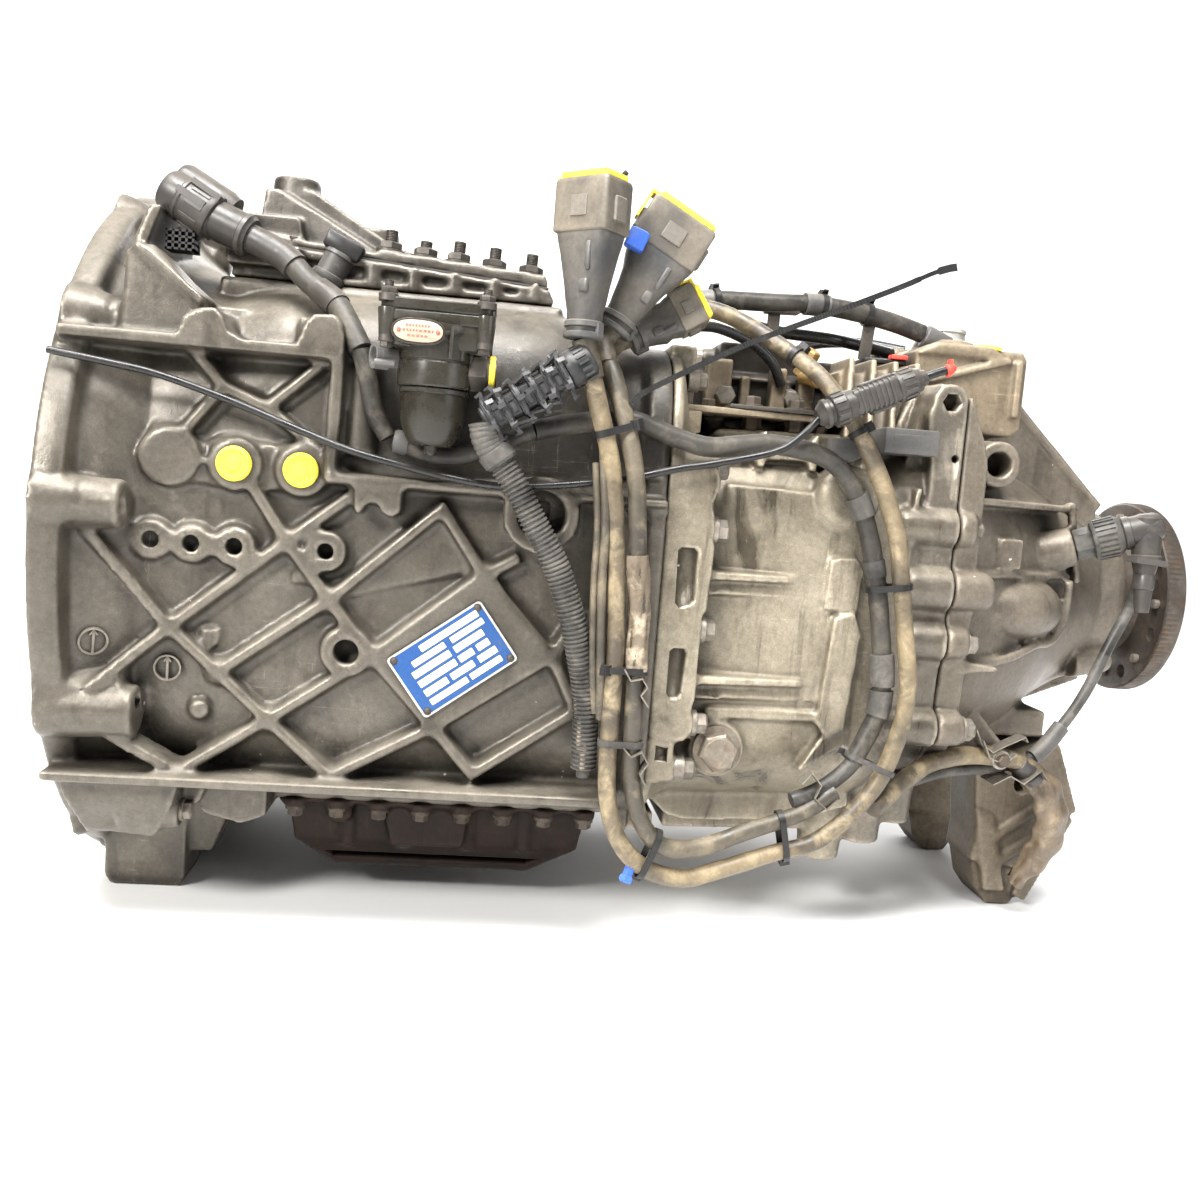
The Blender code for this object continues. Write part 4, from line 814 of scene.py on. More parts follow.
gear_room = loft([(138, 0, 6, 219, 182, 6), (340, 0, 6, 217, 183, 6), (404, 0, -3, 216, 173, 6),
                  (430, 0, -4, 216, 172, 6)], 64, 1)
clutch_room = loft([(-3, 0, 0, 255.6, 255.6, 2), (6, 0, 0, 255.6, 255.6, 2), (7, 0, 0, 249, 249, 2.1),
                    (23, 0, 0, 247, 247, 2.1), (60, 0, -2, 228, 212, 2.8), (104, 0, 0, 219, 188, 4.2),
                    (122, 0, 2, 219, 184, 5)], 96, 4)
holes = []
for a in HOLES:
    t = math.radians(a)
    c, s = math.cos(t), math.sin(t)
    holes.append(cyl((-2, 265.1 * c, 265.1 * s), (66, 265.1 * c, 265.1 * s), 6.0, 6.0, 20))
for x, z, r, deep in ((69, 6, 6.3, -234.5), (96, 5, 6.3, -231), (125, 5, 6.3, -229), (187, 6, 6.0, -226),
                      (205, -64, 9.5, -226)):
    holes.append(cyl((x, -255, z), (x, deep, z), r, r * 0.93, 24))
holes += [cyl((110, 0, 0), (150, 0, 0), 22.8, 22.8, 48), cyl((335, -260, 43), (335, -229, 43), 17.4, 17.4, 40)]
# shallow pockets in the feet
for s in (-1, 1):
    for x in (33, 61):
        holes.append(cyl((x, s * 112, -290), (x, s * 112, -262), 7, 7, 20))
FRONT = cast("casting_front", front, M_FRONT, "case", 2.3, ["front_housing"],
             pockets=[merge([gear_room]), merge([clutch_room]), merge(holes)],
             faces=180000)

# ================================================================== rear housing
rear = [loft([(425.3, 0, -6, 236, 184, 6), (432, 0, -6, 236, 184, 6), (436, 0, -6, 228, 178, 6),
              (449, 0, -33, 214, 152, 4.5), (520, 0, -32, 214, 152, 4.2), (600, 0, -30, 210, 150, 4.5),
              (636, 0, -8, 203, 154, 4.5), (655, 0, -4, 202, 152, 4.5)], 160, 6)]
for s in (-1, 1):
    def yy(y):
        return s * y
    # wavy screw flange with its windows
    rear += [slab_xz([(425.3, 83), (461, 86), (464, 74), (459, 60), (461, 50), (461, 30), (463, 30),
                      (461, -18), (458, -22), (458, -44), (458, -84), (456, -92), (455, -112),
                      (452, -116), (425.3, -112)], yy(236), yy(196)),
             slab_xz([(425.3, -112), (446, -116), (446, -146), (425.3, -150)], yy(234), yy(190))]
    for z in (41, -33, -103):
        rear += [cyl((432, yy(223), z), (462 if z > 0 else 459, yy(223), z), 14, 12.5, 28)]
    rear += [cyl((430, yy(222), -138), (452, yy(222), -138), 12, 11, 24),
             cyl((430, yy(222), 85), (460, yy(222), 85), 12, 11, 24)]
    # horizontal ribs and the block where the upper one ends
    for z, x1 in ((-70, 566), (8, 552)):
        rear += [rings([[(440, yy(237), z - 3), (462, yy(231), z - 3.2), (x1 - 30, yy(219), z - 2.6),
                         (x1, yy(206), z - 2.2), (x1, yy(192), z - 2.2), (440, yy(192), z - 5)],
                        [(440, yy(237), z + 3), (462, yy(231), z + 3.2), (x1 - 30, yy(219), z + 2.6),
                         (x1, yy(206), z + 2.2), (x1, yy(192), z + 2.2), (440, yy(192), z + 5)]]),
                 rings([[(440, yy(224), z - 16), (x1 + 10, yy(212), z - 12), (x1 + 10, yy(190), z - 12),
                         (440, yy(190), z - 16)],
                        [(440, yy(215), z + 12), (x1 + 10, yy(206), z + 8), (x1 + 10, yy(185), z + 8),
                         (440, yy(185), z + 12)]])]
    rear += [slab_xz([(556, 26), (576, 28), (582, 18), (580, -12), (554, -13)], yy(216.5), yy(190)),
             slab_xz([(562, -18), (578, -14), (584, -30), (578, -104), (564, -110), (556, -100)],
                     yy(219), yy(185)),
             rings([[(545, yy(216), -140), (590, yy(208), -112), (590, yy(180), -112), (545, yy(180), -140)],
                    [(560, yy(218), -112), (600, yy(206), -96), (600, yy(180), -96), (560, yy(180), -112)]]),
             bar((470, yy(212), -96), (566, yy(210), -95), (0, 1, 0), 12, 8),
             slab_xz([(430, 96), (436, 84), (500, 96), (570, 98), (570, 110), (436, 106)], yy(196), yy(120)),
             # low, flat pads that break up the cover
             rings([[(470, yy(213.0), 22), (548, yy(211), 22), (548, yy(200), 22), (470, yy(200), 22)],
                    [(474, yy(209), 76), (548, yy(208), 74), (548, yy(196), 74), (474, yy(196), 76)]]),
             turned((566, yy(192), 72), (0, s, 0), [(0, 26), (20, 24), (24, 18)], 32)]
    # end block: long screw bosses on the flange towards the range group
    rear += [slab_xz([(630, 100), (624, 140), (632, 163), (646, 163), (654.8, 152), (654.8, 60),
                      (654.8, -52), (640, -56), (632, -20)], yy(205), yy(150)),
             slab_xz([(606, 60), (624, 146), (634, 160), (640, 60)], yy(190), yy(150))]
    for z, x0, r in ((55, 612, 14.5), (8, 622, 17), (-33, 628, 15), (-101, 612, 14)):
        rear += [cyl((x0, yy(199), z), (654.8, yy(200), z), r, r + 1, 32),
                 ball((x0, yy(199), z), r * 0.5, r, r, 20, 8)]
    rear += [bar_xz((622, 84), (614, -24), 4, 8, yy(208), yy(180), 0),
             bar_xz((618, 20), (606, -24), 3, 7, yy(206), yy(180), 0)]
    rear += [cyl((641, yy(204), 150), (641, yy(150), 150), 14, 17, 32),
             slab_xz([(610, 128), (622, 160), (646, 168), (654.8, 160), (654.8, 120)], yy(172), yy(120))]
rear += [cyl((481, -217, -124), (481, -185, -124), 21, 26, 36),
         cyl((481, 217, -60), (481, 185, -60), 19, 24, 32),
         # bottom plate and its bosses
         slab_xz([(440, -176), (456, -190), (470, -193), (560, -190), (604, -176), (604, -166),
                  (440, -166)], -170, 170),
         slab_xz([(456, -206), (583, -202), (606, -196), (606, -186), (456, -190)], -150, 120),
         slab_xz([(425.3, -190), (447, -190), (447, -206), (425.3, -206)], -160, 160),
         cyl((648, -150, -150), (648, -150, -190), 17, 14, 28),
         cyl((622, -150, -150), (622, -150, -208), 19, 16, 28),
         cyl((592, -140, -150), (592, -140, -226), 22, 17, 28),
         cyl((560, 60, -150), (560, 60, -205), 22, 19, 28),
         # top: stands of the hose bracket, deck under the valve block
         cyl((470, -150, 90), (470, -150, 127.6), 11, 9, 24),
         cyl((530, -150, 90), (530, -150, 127.6), 11, 9, 24),
         box(436, 600, -112, 90, 100, 121.5),
         slab_xz([(425.3, 100), (446, 100), (446, 176), (425.3, 176)], -190, -120),
         slab_xz([(425.3, 100), (446, 100), (446, 176), (425.3, 176)], 100, 200),
         slab_xz([(449, 100), (470, 118), (600, 122), (632, 100)], -176, -112),
         slab_xz([(449, 100), (470, 118), (600, 122), (632, 100)], 90, 180)]
for x in (500, 540, 580):
    rear.append(slab_xz([(x - 3, 90), (x + 3, 90), (x + 3, 119), (x - 3, 113)], -200, -150))
    rear.append(slab_xz([(x - 3, 90), (x + 3, 90), (x + 3, 119), (x - 3, 113)], 150, 200))
rear_room = loft([(441, 0, -33, 204, 142, 4.5), (600, 0, -30, 200, 140, 4.5),
                  (636, 0, -8, 193, 144, 4.5), (664, 0, -4, 192, 142, 4.5)], 64, 1)
cuts = [cyl((420, 0, 0), (450, 0, 0), 40, 40, 48)]
for s in (-1, 1):
    def yy(y):
        return s * y
    # windows of the screw flange
    for pts in (((435, 26), (438, 29), (450, 29), (453, 26), (453, -12), (449, -16), (440, -19), (436, -15)),
                ((435, -48), (438, -45), (448, -45), (450, -49), (448, -80), (445, -84), (438, -85), (435, -81)),
                ((430, -119), (441, -121), (441, -132), (430, -131))):
        low = [(x + (442 - x) * 0.22, z + (sum(q[1] for q in pts) / len(pts) - z) * 0.10) for x, z in pts]
        cuts.append(rings([[(x, yy(245), z) for x, z in pts], [(x, yy(230.5), z) for x, z in low]]))
    cuts += [turned((641, yy(212), 150), (0, -s, 0), [(0, 7.5), (20, 7.5)], 6),
             cyl((648, yy(212), 108), (648, yy(196), 108), 3.2, 3.2, 16)]
REAR = cast("casting_rear", rear, M_REAR, "case", 2.1, ["rear_housing"],
            pockets=[merge([rear_room]), merge(cuts)], faces=170000)

# ================================================================== range housing
D_S = Vector((42, -18, 16)).normalized()
tail = [loft([(655.3, 0, -4, 202, 152, 4.5), (676, 0, -4, 202, 152, 4.5), (678, 0, -4, 180, 136, 3.6),
              (700, 0, -6, 172, 135, 3.3), (720, 0, -8, 162, 132, 3.0), (760, 0, -10, 138, 122, 2.5),
              (800, 0, -4, 112, 102, 2.1), (832, 0, 0, 92, 90, 2.0), (846, 0, 0, 84, 84, 2),
              (866, 0, 0, 80, 80, 2), (874, 0, 0, 77, 77, 2)], 160, 6)]
for s in (-1, 1):
    def yy(y):
        return s * y
    tail += [slab_xz([(655.3, 60), (655.3, 160), (660, 150), (672, 120), (676, 104), (676, -26),
                      (672, -50), (655.3, -54)], yy(204), yy(150))]
    for z, x1, r in ((55, 668, 15), (8, 684, 16.5), (-33, 672, 14), (-101, 676, 14)):
        tail += [cyl((655.3, yy(200), z), (x1, yy(200), z), r, r - 1, 32),
                 ball((x1 - 1, yy(200), z), 5 if z != 8 else 9, r - 1, r - 1, 20, 8)]
    # gussets up to the top box, with their bent tips
    tail += [slab_xz([(728, 78), (730, 181), (736, 186), (745, 184), (842, 84), (850, 50), (780, 50)],
                     yy(64), yy(56)),
             bar((738, yy(60), 184), (845, yy(60), 82), (0, 1, 0), 14, 7),
             slab_xz([(728, 80), (736, 80), (736, 184), (729, 180)], yy(70), yy(30))]
    # side ribs and the rounded bulge with its seam
    for z, lo in ((78, 3.0), (21, 3.0)):
        tail.append(rings([[(674, yy(188), z - lo), (700, yy(179), z - lo), (794, yy(124), z - lo + 0.4),
                            (802, yy(60), z - lo), (674, yy(60), z - lo - 2)],
                           [(674, yy(188), z + lo), (700, yy(179), z + lo), (794, yy(124), z + lo - 0.4),
                            (802, yy(60), z + lo), (674, yy(60), z + lo + 2)]]))
    tail.append(bar((786, yy(126), 84), (806, yy(112), 16), (0, 1, 0), 8, 6))
    seam = [(676, yy(181), -52), (700, yy(174), -52), (730, yy(163), -46), (758, yy(148), -36),
            (775, yy(138), -34), (790, yy(127), -20), (792, yy(127), 4), (790, yy(130), 18)]
    tail.append(sweep(seam, 4.0, 12, 4.0))
    tail += [ball((726, yy(118), -8), 62, 54, 34, 40, 20),
             cyl((830, yy(70), -58), (866, yy(66), -54), 15, 12, 28),
             ball((866, yy(66), -54), 6, 12, 12, 20, 8),
             slab_xz([(668, -57), (702, -53), (702, -50), (668, -46)], yy(205), yy(150))]
    tail += [slab_xz([(708, 26), (728, 26), (728, 50), (708, 50)], yy(170), yy(120))]
tail += [washer((697, -176, 108), (0, 1, 0), 10, 18.5, 60, 40),
         cyl((697, -168, 108), (697, -100, 108), 18.5, 22, 36),
         cyl((697, 172, 108), (697, 100, 108), 16, 20, 36),
         cyl(Vector((792.0, -127.0, 48.0)) - D_S * 70, Vector((792.0, -127.0, 48.0)) - D_S * 0.3, 25, 16.5, 36),
         # underside: pads for the bracket, ribs
         box(738, 800, -100, 100, -124, -100),
         slab_xz([(676, -120), (738, -120), (738, -100), (676, -100)], -120, 120)]
for y in (-150, -90, 90, 150):
    tail.append(slab_xz([(676, -134), (740, -122), (700, -80), (676, -80)], y - 3, y + 3))
for k in range(12):
    t = math.radians(15 + 30 * k)
    if 40 < math.degrees(t) < 140 or abs(math.cos(t)) > 0.9:
        continue
    tail.append(bar((800, 100 * math.cos(t), 100 * math.sin(t) - 4), (866, 78 * math.cos(t), 78 * math.sin(t)),
                    (0, -math.sin(t), math.cos(t)), 5, 12))
tail_room = loft([(640, 0, -4, 192, 142, 4.5), (676, 0, -4, 170, 127, 3.6), (720, 0, -8, 152, 122, 3.0),
                  (760, 0, -10, 128, 112, 2.5), (800, 0, -4, 102, 92, 2.1), (822, 0, 0, 78, 78, 2.0)], 64, 1)
cuts = [cyl((815, 0, 0), (880, 0, 0), 60.3, 60.3, 64), cyl((697, -190, 108), (697, -150, 108), 10, 9, 32)]
TAIL = cast("casting_range", tail, M_RANGE, "case", 2.1, ["range_housing"],
            pockets=[merge([tail_room]), merge(cuts)], faces=170000)

# ================================================================== bracket under the tail
bk = [slab_xz([(738, -148), (764, -148), (806, -122), (822, -150), (829, -187), (826, -204),
               (804, -244), (742, -236), (744, -216)], -107, 107),
      slab_xz([(743, -225), (812, -225), (796, -262), (786, -277), (764, -277), (752, -262)], -100, 100)]
for s in (-1, 1):
    bk += [bar((806, s * 104, -130), (829, s * 104, -190), (0, 1, 0), 8, 14),
           bar((827, s * 104, -192), (790, s * 104, -268), (0, 1, 0), 8, 14),
           slab_xz([(741, -190), (758, -196), (776, -262), (756, -262)], s * 111, s * 90),
           bar((760, s * 108, -238), (812, s * 108, -206), (0, 1, 0), 6, 8),
           bar((756, s * 108, -216), (806, s * 108, -180), (0, 1, 0), 6, 8)]
holes = [box(700, 860, -52, 52, -300, -172), cyl((783, -125, -165), (783, 125, -165), 9, 9, 32),
         slab_xz([(806, -196), (818, -192), (792, -250), (782, -250)], -120, -96),
         slab_xz([(806, -196), (818, -192), (792, -250), (782, -250)], 96, 120)]
cast("casting_bracket", bk, M_BRACKET, "case", 2.2, ["rear_bracket"], pockets=[merge(holes)],
     faces=60000)

# ================================================================== oil pan
pan = [slab_xz([(153, -187.4), (398, -187.4), (398, -193), (153, -193)], -174, 174),
       rings([[(158, y0, -190), (394, y0, -190), (394, y1, -190), (158, y1, -190)]
              for y0, y1 in ((-160, 160),)] +
             [[(164, -154, -228), (388, -154, -228), (388, 154, -228), (164, 154, -228)],
              [(194, -140, -252), (350, -140, -252), (350, 140, -252), (194, 140, -252)]])]
for y in (-110, -60, -10, 40, 90, 130):
    pan.append(bar((200, y, -252), (346, y, -252), (0, 1, 0), 7, 6))
for x in (206, 250, 300, 344):
    pan.append(rings([[(x - 4, -162, -194), (x + 4, -162, -194), (x + 4, 162, -194), (x - 4, 162, -194)],
                      [(x - 4, -158, -232), (x + 4, -158, -232), (x + 4, 158, -232), (x - 4, 158, -232)]]))
pan += [cyl((200, -168, -200), (200, -100, -200), 10, 10, 24),
        slab_xz([(232, -194), (300, -194), (296, -226), (240, -226)], -168, -150)]
screws = []
for x in range(166, 396, 32):
    for y in (-170, 170):
        pan.append(cyl((x, y, -197), (x, y, -188), 8.5, 9.5, 20))
cast("casting_pan", pan, M_PAN, "case", 2.4, ["oil_pan"],
     pockets=[slab_xz([(162, -180), (388, -180), (385, -224), (348, -244), (194, -244), (167, -222)],
                      -148, 148)], faces=70000)
screws = []
for x in range(166, 396, 32):
    for y in (-170, 170):
        screws += hexbolt((x, y, -197), (0, 0, -1), 6.0, 5.5, 1.5, phase=random.random())
screws += [turned((262, 0, -250), (0, 0, -1), [(0, 16), (5, 16), (6, 15)], 28),
           turned((262, 0, -255), (0, 0, -1), [(0, 11.5), (7, 11.5), (8.5, 10)], 6)]
make("pan_screws", screws, M_RUST)

# ================================================================== top boxes
top = [slab_xz([(640, 166), (640, 198), (650, 204), (732, 204), (736, 198), (736, 140), (728, 134),
                (682, 134), (682, 166)], -122, 60),
       cyl((674, -92, 200), (674, -92, 210), 27, 25, 40),
       slab_xz([(642, 196), (655, 206), (704, 206), (716, 196)], -126, -60),
       cyl((725, -100, 140), (725, -100, 205), 12, 12, 28),
       cyl((700, -118, 168), (700, -60, 168), 26, 26, 36),
       cyl((655, 40, 170), (655, 40, 207), 13, 13, 28), cyl((720, 40, 150), (720, 40, 207), 13, 13, 28),
       bar((690, -20, 206), (640, -20, 206), (0, 1, 0), 60, 4),
       bar((728, -124, 150), (728, -124, 196), (1, 0, 0), 6, 6), bar((650, -124, 174), (720, -124, 196), (0, 1, 0), 6, 5)]
cast("casting_range_cylinder", top, M_BROWN, "case", 2.0, ["range_cylinder"], faces=60000)
make("range_vent_cap", [turned((674, -92, 209), (0, 0, 1),
                               [(0, 18), (2, 18.5), (3, 17), (8, 16.2), (8.8, 17.4), (11, 17.4), (12.5, 16),
                                (13, 12), (12.4, 11), (12.4, 0.5)], 48)], M_CLEAN)
yellow_mark = [slab_xz([(688, 204.4), (712, 203.6), (712, 206.2), (700, 207.4), (688, 206.4)], -124, -112)]
make("range_paint_tab", yellow_mark, M_YELLOW, bevel=0.6)

vb = [box(452, 596, -100, 74, 122, 168), slab_xy([(456, -96), (592, -96), (592, 70), (456, 70)], 166, 172),
      box(482, 560, -96, -40, 168, 194), box(562, 592, -90, -30, 168, 185),
      cyl((568, 20, 166), (568, 20, 189), 20, 18, 36), cyl((500, 20, 166), (500, 20, 184), 16, 15, 32),
      cyl((484, -68, 182), (470, -68, 182), 9, 8, 24), cyl((540, -100, 150), (540, -112, 150), 9, 9, 24),
      cyl((484, -100, 148), (484, -114, 148), 11, 10, 24), cyl((575, -100, 146), (575, -110, 146), 8, 8, 24),
      bar((460, -101, 134), (590, -101, 134), (0, 1, 0), 6, 5), bar((460, -101, 164), (590, -101, 164), (0, 1, 0), 6, 4),
      bar((460, 75, 134), (590, 75, 134), (0, 1, 0), 6, 5), box(470, 540, 70, 90, 128, 158)]
for x in (466, 506, 548, 584):
    for y in (-88, 62):
        vb.append(cyl((x, y, 166), (x, y, 174), 8, 7.5, 20))
cast("valve_block_body", vb, M_DARK, "case", 1.8, ["valve_block"], faces=70000)
bits = []
for x in (466, 506, 548, 584):
    for y in (-88, 62):
        bits += hexbolt((x, y, 173.5), (0, 0, 1), 5.0, 5.5, 1.4, phase=random.random())
bits += [turned((500, 20, 183), (0, 0, 1), [(0, 9), (6, 9), (6.5, 6), (14, 6), (15, 4.5)], 20),
         turned((484, -113, 148), (0, -1, 0), [(0, 8.5), (8, 8.5), (9, 7.5)], 6),
         turned((540, -111, 150), (0, -1, 0), [(0, 7), (6, 7), (7, 6)], 6),
         turned((575, -109, 146), (0, -1, 0), [(0, 6.5), (7, 6.5), (8, 5.5)], 6),
         turned((471, -68, 182), (-1, 0, 0), [(0, 7), (7, 7), (8, 5), (16, 4.4), (17, 5.2), (18, 4.2)], 20)]
make("valve_block_screws", bits, M_STEEL)
# finned shoulder and lugs on the roof, in front of the valve block
roof = [rings([[(598, -172, 118), (642, -172, 118), (642, -30, 118), (598, -30, 118)],
               [(598, -148, 176), (642, -148, 176), (642, -30, 176), (598, -30, 176)]]),
        rings([[(568, -172, 118), (601, -172, 118), (601, -103, 118), (568, -103, 118)],
               [(568, -148, 172), (601, -148, 172), (601, -103, 172), (568, -103, 172)]])]
for x in (576, 594, 612, 630):
    roof.append(rings([[(x - 10.6, -186, 118), (x - 5.4, -186, 118), (x - 5.4, -104, 118), (x - 10.6, -104, 118)],
                       [(x - 2.6, -156, 183), (x + 2.6, -156, 183), (x + 2.6, -104, 183), (x - 2.6, -104, 183)]]))
roof += [box(468, 490, -114, -100.5, 138, 178), box(498, 506, -112, -100.5, 134, 166),
         box(522, 535, -117, -100.5, 138, 174), box(546, 560, -114, -100.5, 138, 170)]
cast("roof_shoulder", roof, M_BROWN, "case", 1.8, [], faces=60000)

# ================================================================== shift actuator on the roof
ah = [slab_xz([(104, 198.4), (334, 198.4), (334, 206), (330, 208.5), (300, 211), (104, 223)], -168, 26),
      slab_xz([(100, 198.4), (336, 198.4), (336, 203.5), (100, 203.5)], -173, 31),
      slab_xz([(98, 206), (150, 206), (150, 222), (96, 221)], -181, -120),
      slab_xz([(104, 217), (334, 206.5), (334, 209.5), (104, 225)], -173, 31)]
for x in (112, 142, 172, 202, 232, 262, 292, 322):
    ah.append(cyl((x, -167, 200), (x, -167, 208 + (322 - x) * 0.05), 7.5, 7, 20))
    ah.append(bar((x, -172, 200), (x, -171, 214 + (322 - x) * 0.03), (1, 0, 0), 4, 5))
    ah.append(cyl((x, 25, 200), (x, 25, 208 + (322 - x) * 0.05), 7.5, 7, 20))
cast("actuator_base", ah, M_ACTUATOR, "case", 1.8, ["shift_actuator_housing"], faces=90000)

ac = [slab_xz([(105, 226.6), (329, 212.0), (326, 217), (322, 219), (250, 227), (214, 236), (185, 252),
               (157, 268), (150, 272), (138, 268), (120, 256), (112, 246), (105, 240)], -140, 10),
      slab_xz([(103, 226.6), (331, 211.8), (331, 216.5), (103, 232)], -169, 27),
      # upright wall with the tower
      rings([[(114, -152, 230), (214, -152, 223), (214, -138, 223), (114, -138, 230)],
             [(117, -150, 268), (128, -150, 268), (128, -140, 268), (117, -140, 268)]]),
      cyl((136, -122, 250), (136, -122, 281), 19.5, 17.5, 48),
      cyl((190, -60, 225), (190, -60, 261), 23, 19.5, 40),
      cyl((160, -90, 232), (160, -90, 264), 17, 14, 32),
      slab_xz([(205, 222), (330, 214), (330, 221), (205, 228)], -168, -100),
      slab_xz([(105, 228), (150, 226), (146, 246), (108, 246)], -166, -110)]
TOPS = ((212, 224), (238, 222), (263, 220.5), (290, 218.5), (318, 216.5))
for x, z in TOPS:
    ac.append(cyl((x, -156, z - 12), (x, -156, z + 4.5), 12.5, 11, 32))
    ac.append(cyl((x, 14, z - 6), (x, 14, z + 1.0), 10, 9.5, 24))
for k in range(4):
    (x, z), (x1, z1) = TOPS[k], TOPS[k + 1]
    ac.append(bar(((x + x1) / 2, -163, z - 2), ((x + x1) / 2, -120, z + 3), (1, 0, 0), 6, 5))
for x in (120, 150, 180):
    ac.append(cyl((x, 14, 222), (x, 14, 233), 9, 8.5, 24))
    ac.append(bar((x, 8, 240), (x + 30, -60, 242), (0, 0, 1), 14, 5))
for y in (-100, -60, -20):
    ac.append(slab_xz([(200, 224), (318, 214), (318, 223), (240, 232), (200, 246)], y - 3, y + 3))
cast("actuator_cover", ac, M_ACTUATOR, "case", 1.9, ["shift_actuator_cover"],
     pockets=[cyl((136, -122, 276), (136, -122, 290), 12, 12.5, 40), cyl((190, -60, 254), (190, -60, 270), 13, 13, 32)],
     faces=90000)
bits = []
for k, (x, z) in enumerate(TOPS):
    bits += stud((x, -156, z + 4.0), (0.05, 0, 1), 4.6, 8.8, 7.5, 7.5 if k != 1 else 4.0, random.random())
    bits += stud((x, 14, z + 0.5), (0.05, 0, 1), 3.4, 6.5, 6.5, 3.0, random.random())
for x in (120, 150, 180):
    bits += hexbolt((x, 14, 233), (0, 0, 1), 5.5, 6.0, 1.5, phase=random.random())
for x in (112, 142, 172):
    bits += hexbolt((x, -164, 227 - (x - 112) * 0.06), (0, 0, 1), 4.6, 5.0, 1.2, phase=random.random())
make("actuator_screws", bits, M_GUN)
# gasket line and the capped tube
make("actuator_gasket", [slab_xz([(103, 224.8), (332, 209.9), (332, 211.4), (103, 226.4)], -170.5, 28.5)],
     M_RUBBER)
d = Vector((0.42, 0, 0.907)).normalized()
p0 = Vector((168, -170, 200))
make("capped_tube", [turned(p0, d, [(0, 11), (3, 12.5), (6, 12.5), (6.5, 11), (20, 11), (20.5, 12), (23, 12), (23.5, 10)], 36),
                     turned(p0 + d * 2, (-0.9, 0, 0.42), [(0, 3.5), (12, 3.5), (13, 2.5)], 16)], M_GREY)
q = p0 + d * 22
s = Vector((0.907, 0, -0.42))
loops = []
for h, g in ((0, 12.5), (1.5, 14), (12, 14), (13.5, 12.8)):
    loops.append([tuple(q + d * h + s * (a * g) + Vector((0, b * g * 0.62, 0)))
                  for a, b in ((-1, -1), (1, -1), (1, 1), (-1, 1))])
make("square_cap", [rings(loops)], M_BLACK, bevel=1.0)

# ================================================================== pressure regulator
RX, RY = 256.0, -262.0


def lofted(p0, d, side, sections, n=48):
    """Rounded rectangle sections (distance, half width, half depth, exponent) along any line."""
    d = Vector(d).normalized()
    side = Vector(side)
    side = (side - d * side.dot(d)).normalized()
    up = d.cross(side)
    p0 = Vector(p0)
    loops = []
    for s, hw, hd, e in sections:
        loop = []
        for i in range(n):
            t = 2 * math.pi * (i + 0.5) / n
            c, q = math.cos(t), math.sin(t)
            loop.append(tuple(p0 + d * s + side * (hw * math.copysign(abs(c) ** (2.0 / e), c))
                              + up * (hd * math.copysign(abs(q) ** (2.0 / e), q))))
        loops.append(loop)
    return rings(loops)


reg = [lofted((RX, RY, 163), (0, 0, 1), (1, 0, 0), [(0, 35.5, 21.5, 8), (1, 36.5, 22.5, 8), (6.5, 36.5, 22.5, 8), (7.5, 35.8, 22, 8)]),
       lofted((RX, RY, 170.7), (0, 0, 1), (1, 0, 0), [(0, 36.0, 22, 8), (1, 37, 23, 8), (6.6, 37, 23, 8), (7.4, 36.2, 22.4, 8)]),
       turned((RX, RY, 122.5), (0, 0, 1), [(0, 24.0), (1.2, 25.0), (16, 25.0), (16.8, 24.2), (17.8, 24.2),
                                           (18.6, 25.2), (34, 25.2), (36, 27.5), (41, 27.5)], 64),
       box(240, 272, -244, -229, 128, 165),
       lofted((RX, RY, 146), (0, 0, 1), (1, 0, 0), [(0, 27, 17.5, 5), (2, 31.5, 20, 6), (14, 33.5, 21, 8), (17.5, 33.5, 21, 8)]),
       lofted((RX + 22, RY - 6, 146), (0, 0, 1), (1, 0, 0), [(0, 9, 8, 5), (18, 11, 10, 5)]),
       lofted((RX - 24, RY - 6, 150), (0, 0, 1), (1, 0, 0), [(0, 6, 8, 5), (14, 9, 10, 5)]),
       turned((276, RY, 136), (1, 0, 0), [(-4, 10), (2, 10)], 32)]
for x, y in ((224, -280), (288, -280), (224, -245), (288, -245)):
    reg.append(cyl((x, y, 150), (x, y, 171), 5.0, 6.5, 24))
for k in (4, 5, 6):
    t = math.radians(205 + 22 * k)
    reg.append(bar((RX + 25.4 * math.cos(t), RY + 25.4 * math.sin(t), 141),
                   (RX + 26.6 * math.cos(t), RY + 26.6 * math.sin(t), 162), (-math.sin(t), math.cos(t), 0), 2.2, 2.2))
make("regulator_body", reg, M_REG, replaces=["pressure_regulator"], bevel=0.5)
make("regulator_bowl_shape", [turned((RX, RY, 84), (0, 0, 1), [(0, 12), (1.0, 14.5), (4, 16.8), (8, 18.6), (14, 20.5),
                                                         (20, 21.6), (30, 22.0), (34, 22.0), (35, 23.2), (37.4, 23.2),
                                                         (38.1, 22.2)], 64),
                        turned((RX, RY, 78), (0, 0, 1), [(0, 3), (1, 4), (7, 4.4)], 20)],
     M_REG, replaces=["regulator_bowl"])
make("regulator_fittings",
     [turned((238, RY, 141), (-1, 0, 0), [(0, 5.5), (14, 5.5)], 24),
      washer((224, RY - 1, 141), (-0.9, -0.42, 0), 6.0, 8.8, 10, 40),
      turned((232, RY, 141), (-0.9, -0.42, 0), [(0, 7.4), (14, 7.4)], 24),
      turned((230, RY - 14, 136), (-1, 0, 0), [(0, 2.4), (13, 2.2)], 12)], M_GREY)
make("regulator_hex",
     [turned((278, RY, 136), (1, 0, 0), [(0, 12.6), (1, 13.6), (11, 13.6), (12, 12.8)], 6, 0.3),
      turned((290, RY, 136), (1, 0, 0), [(0, 10.5), (4, 10.5), (4.4, 9), (7, 9)], 32)], M_GUN)
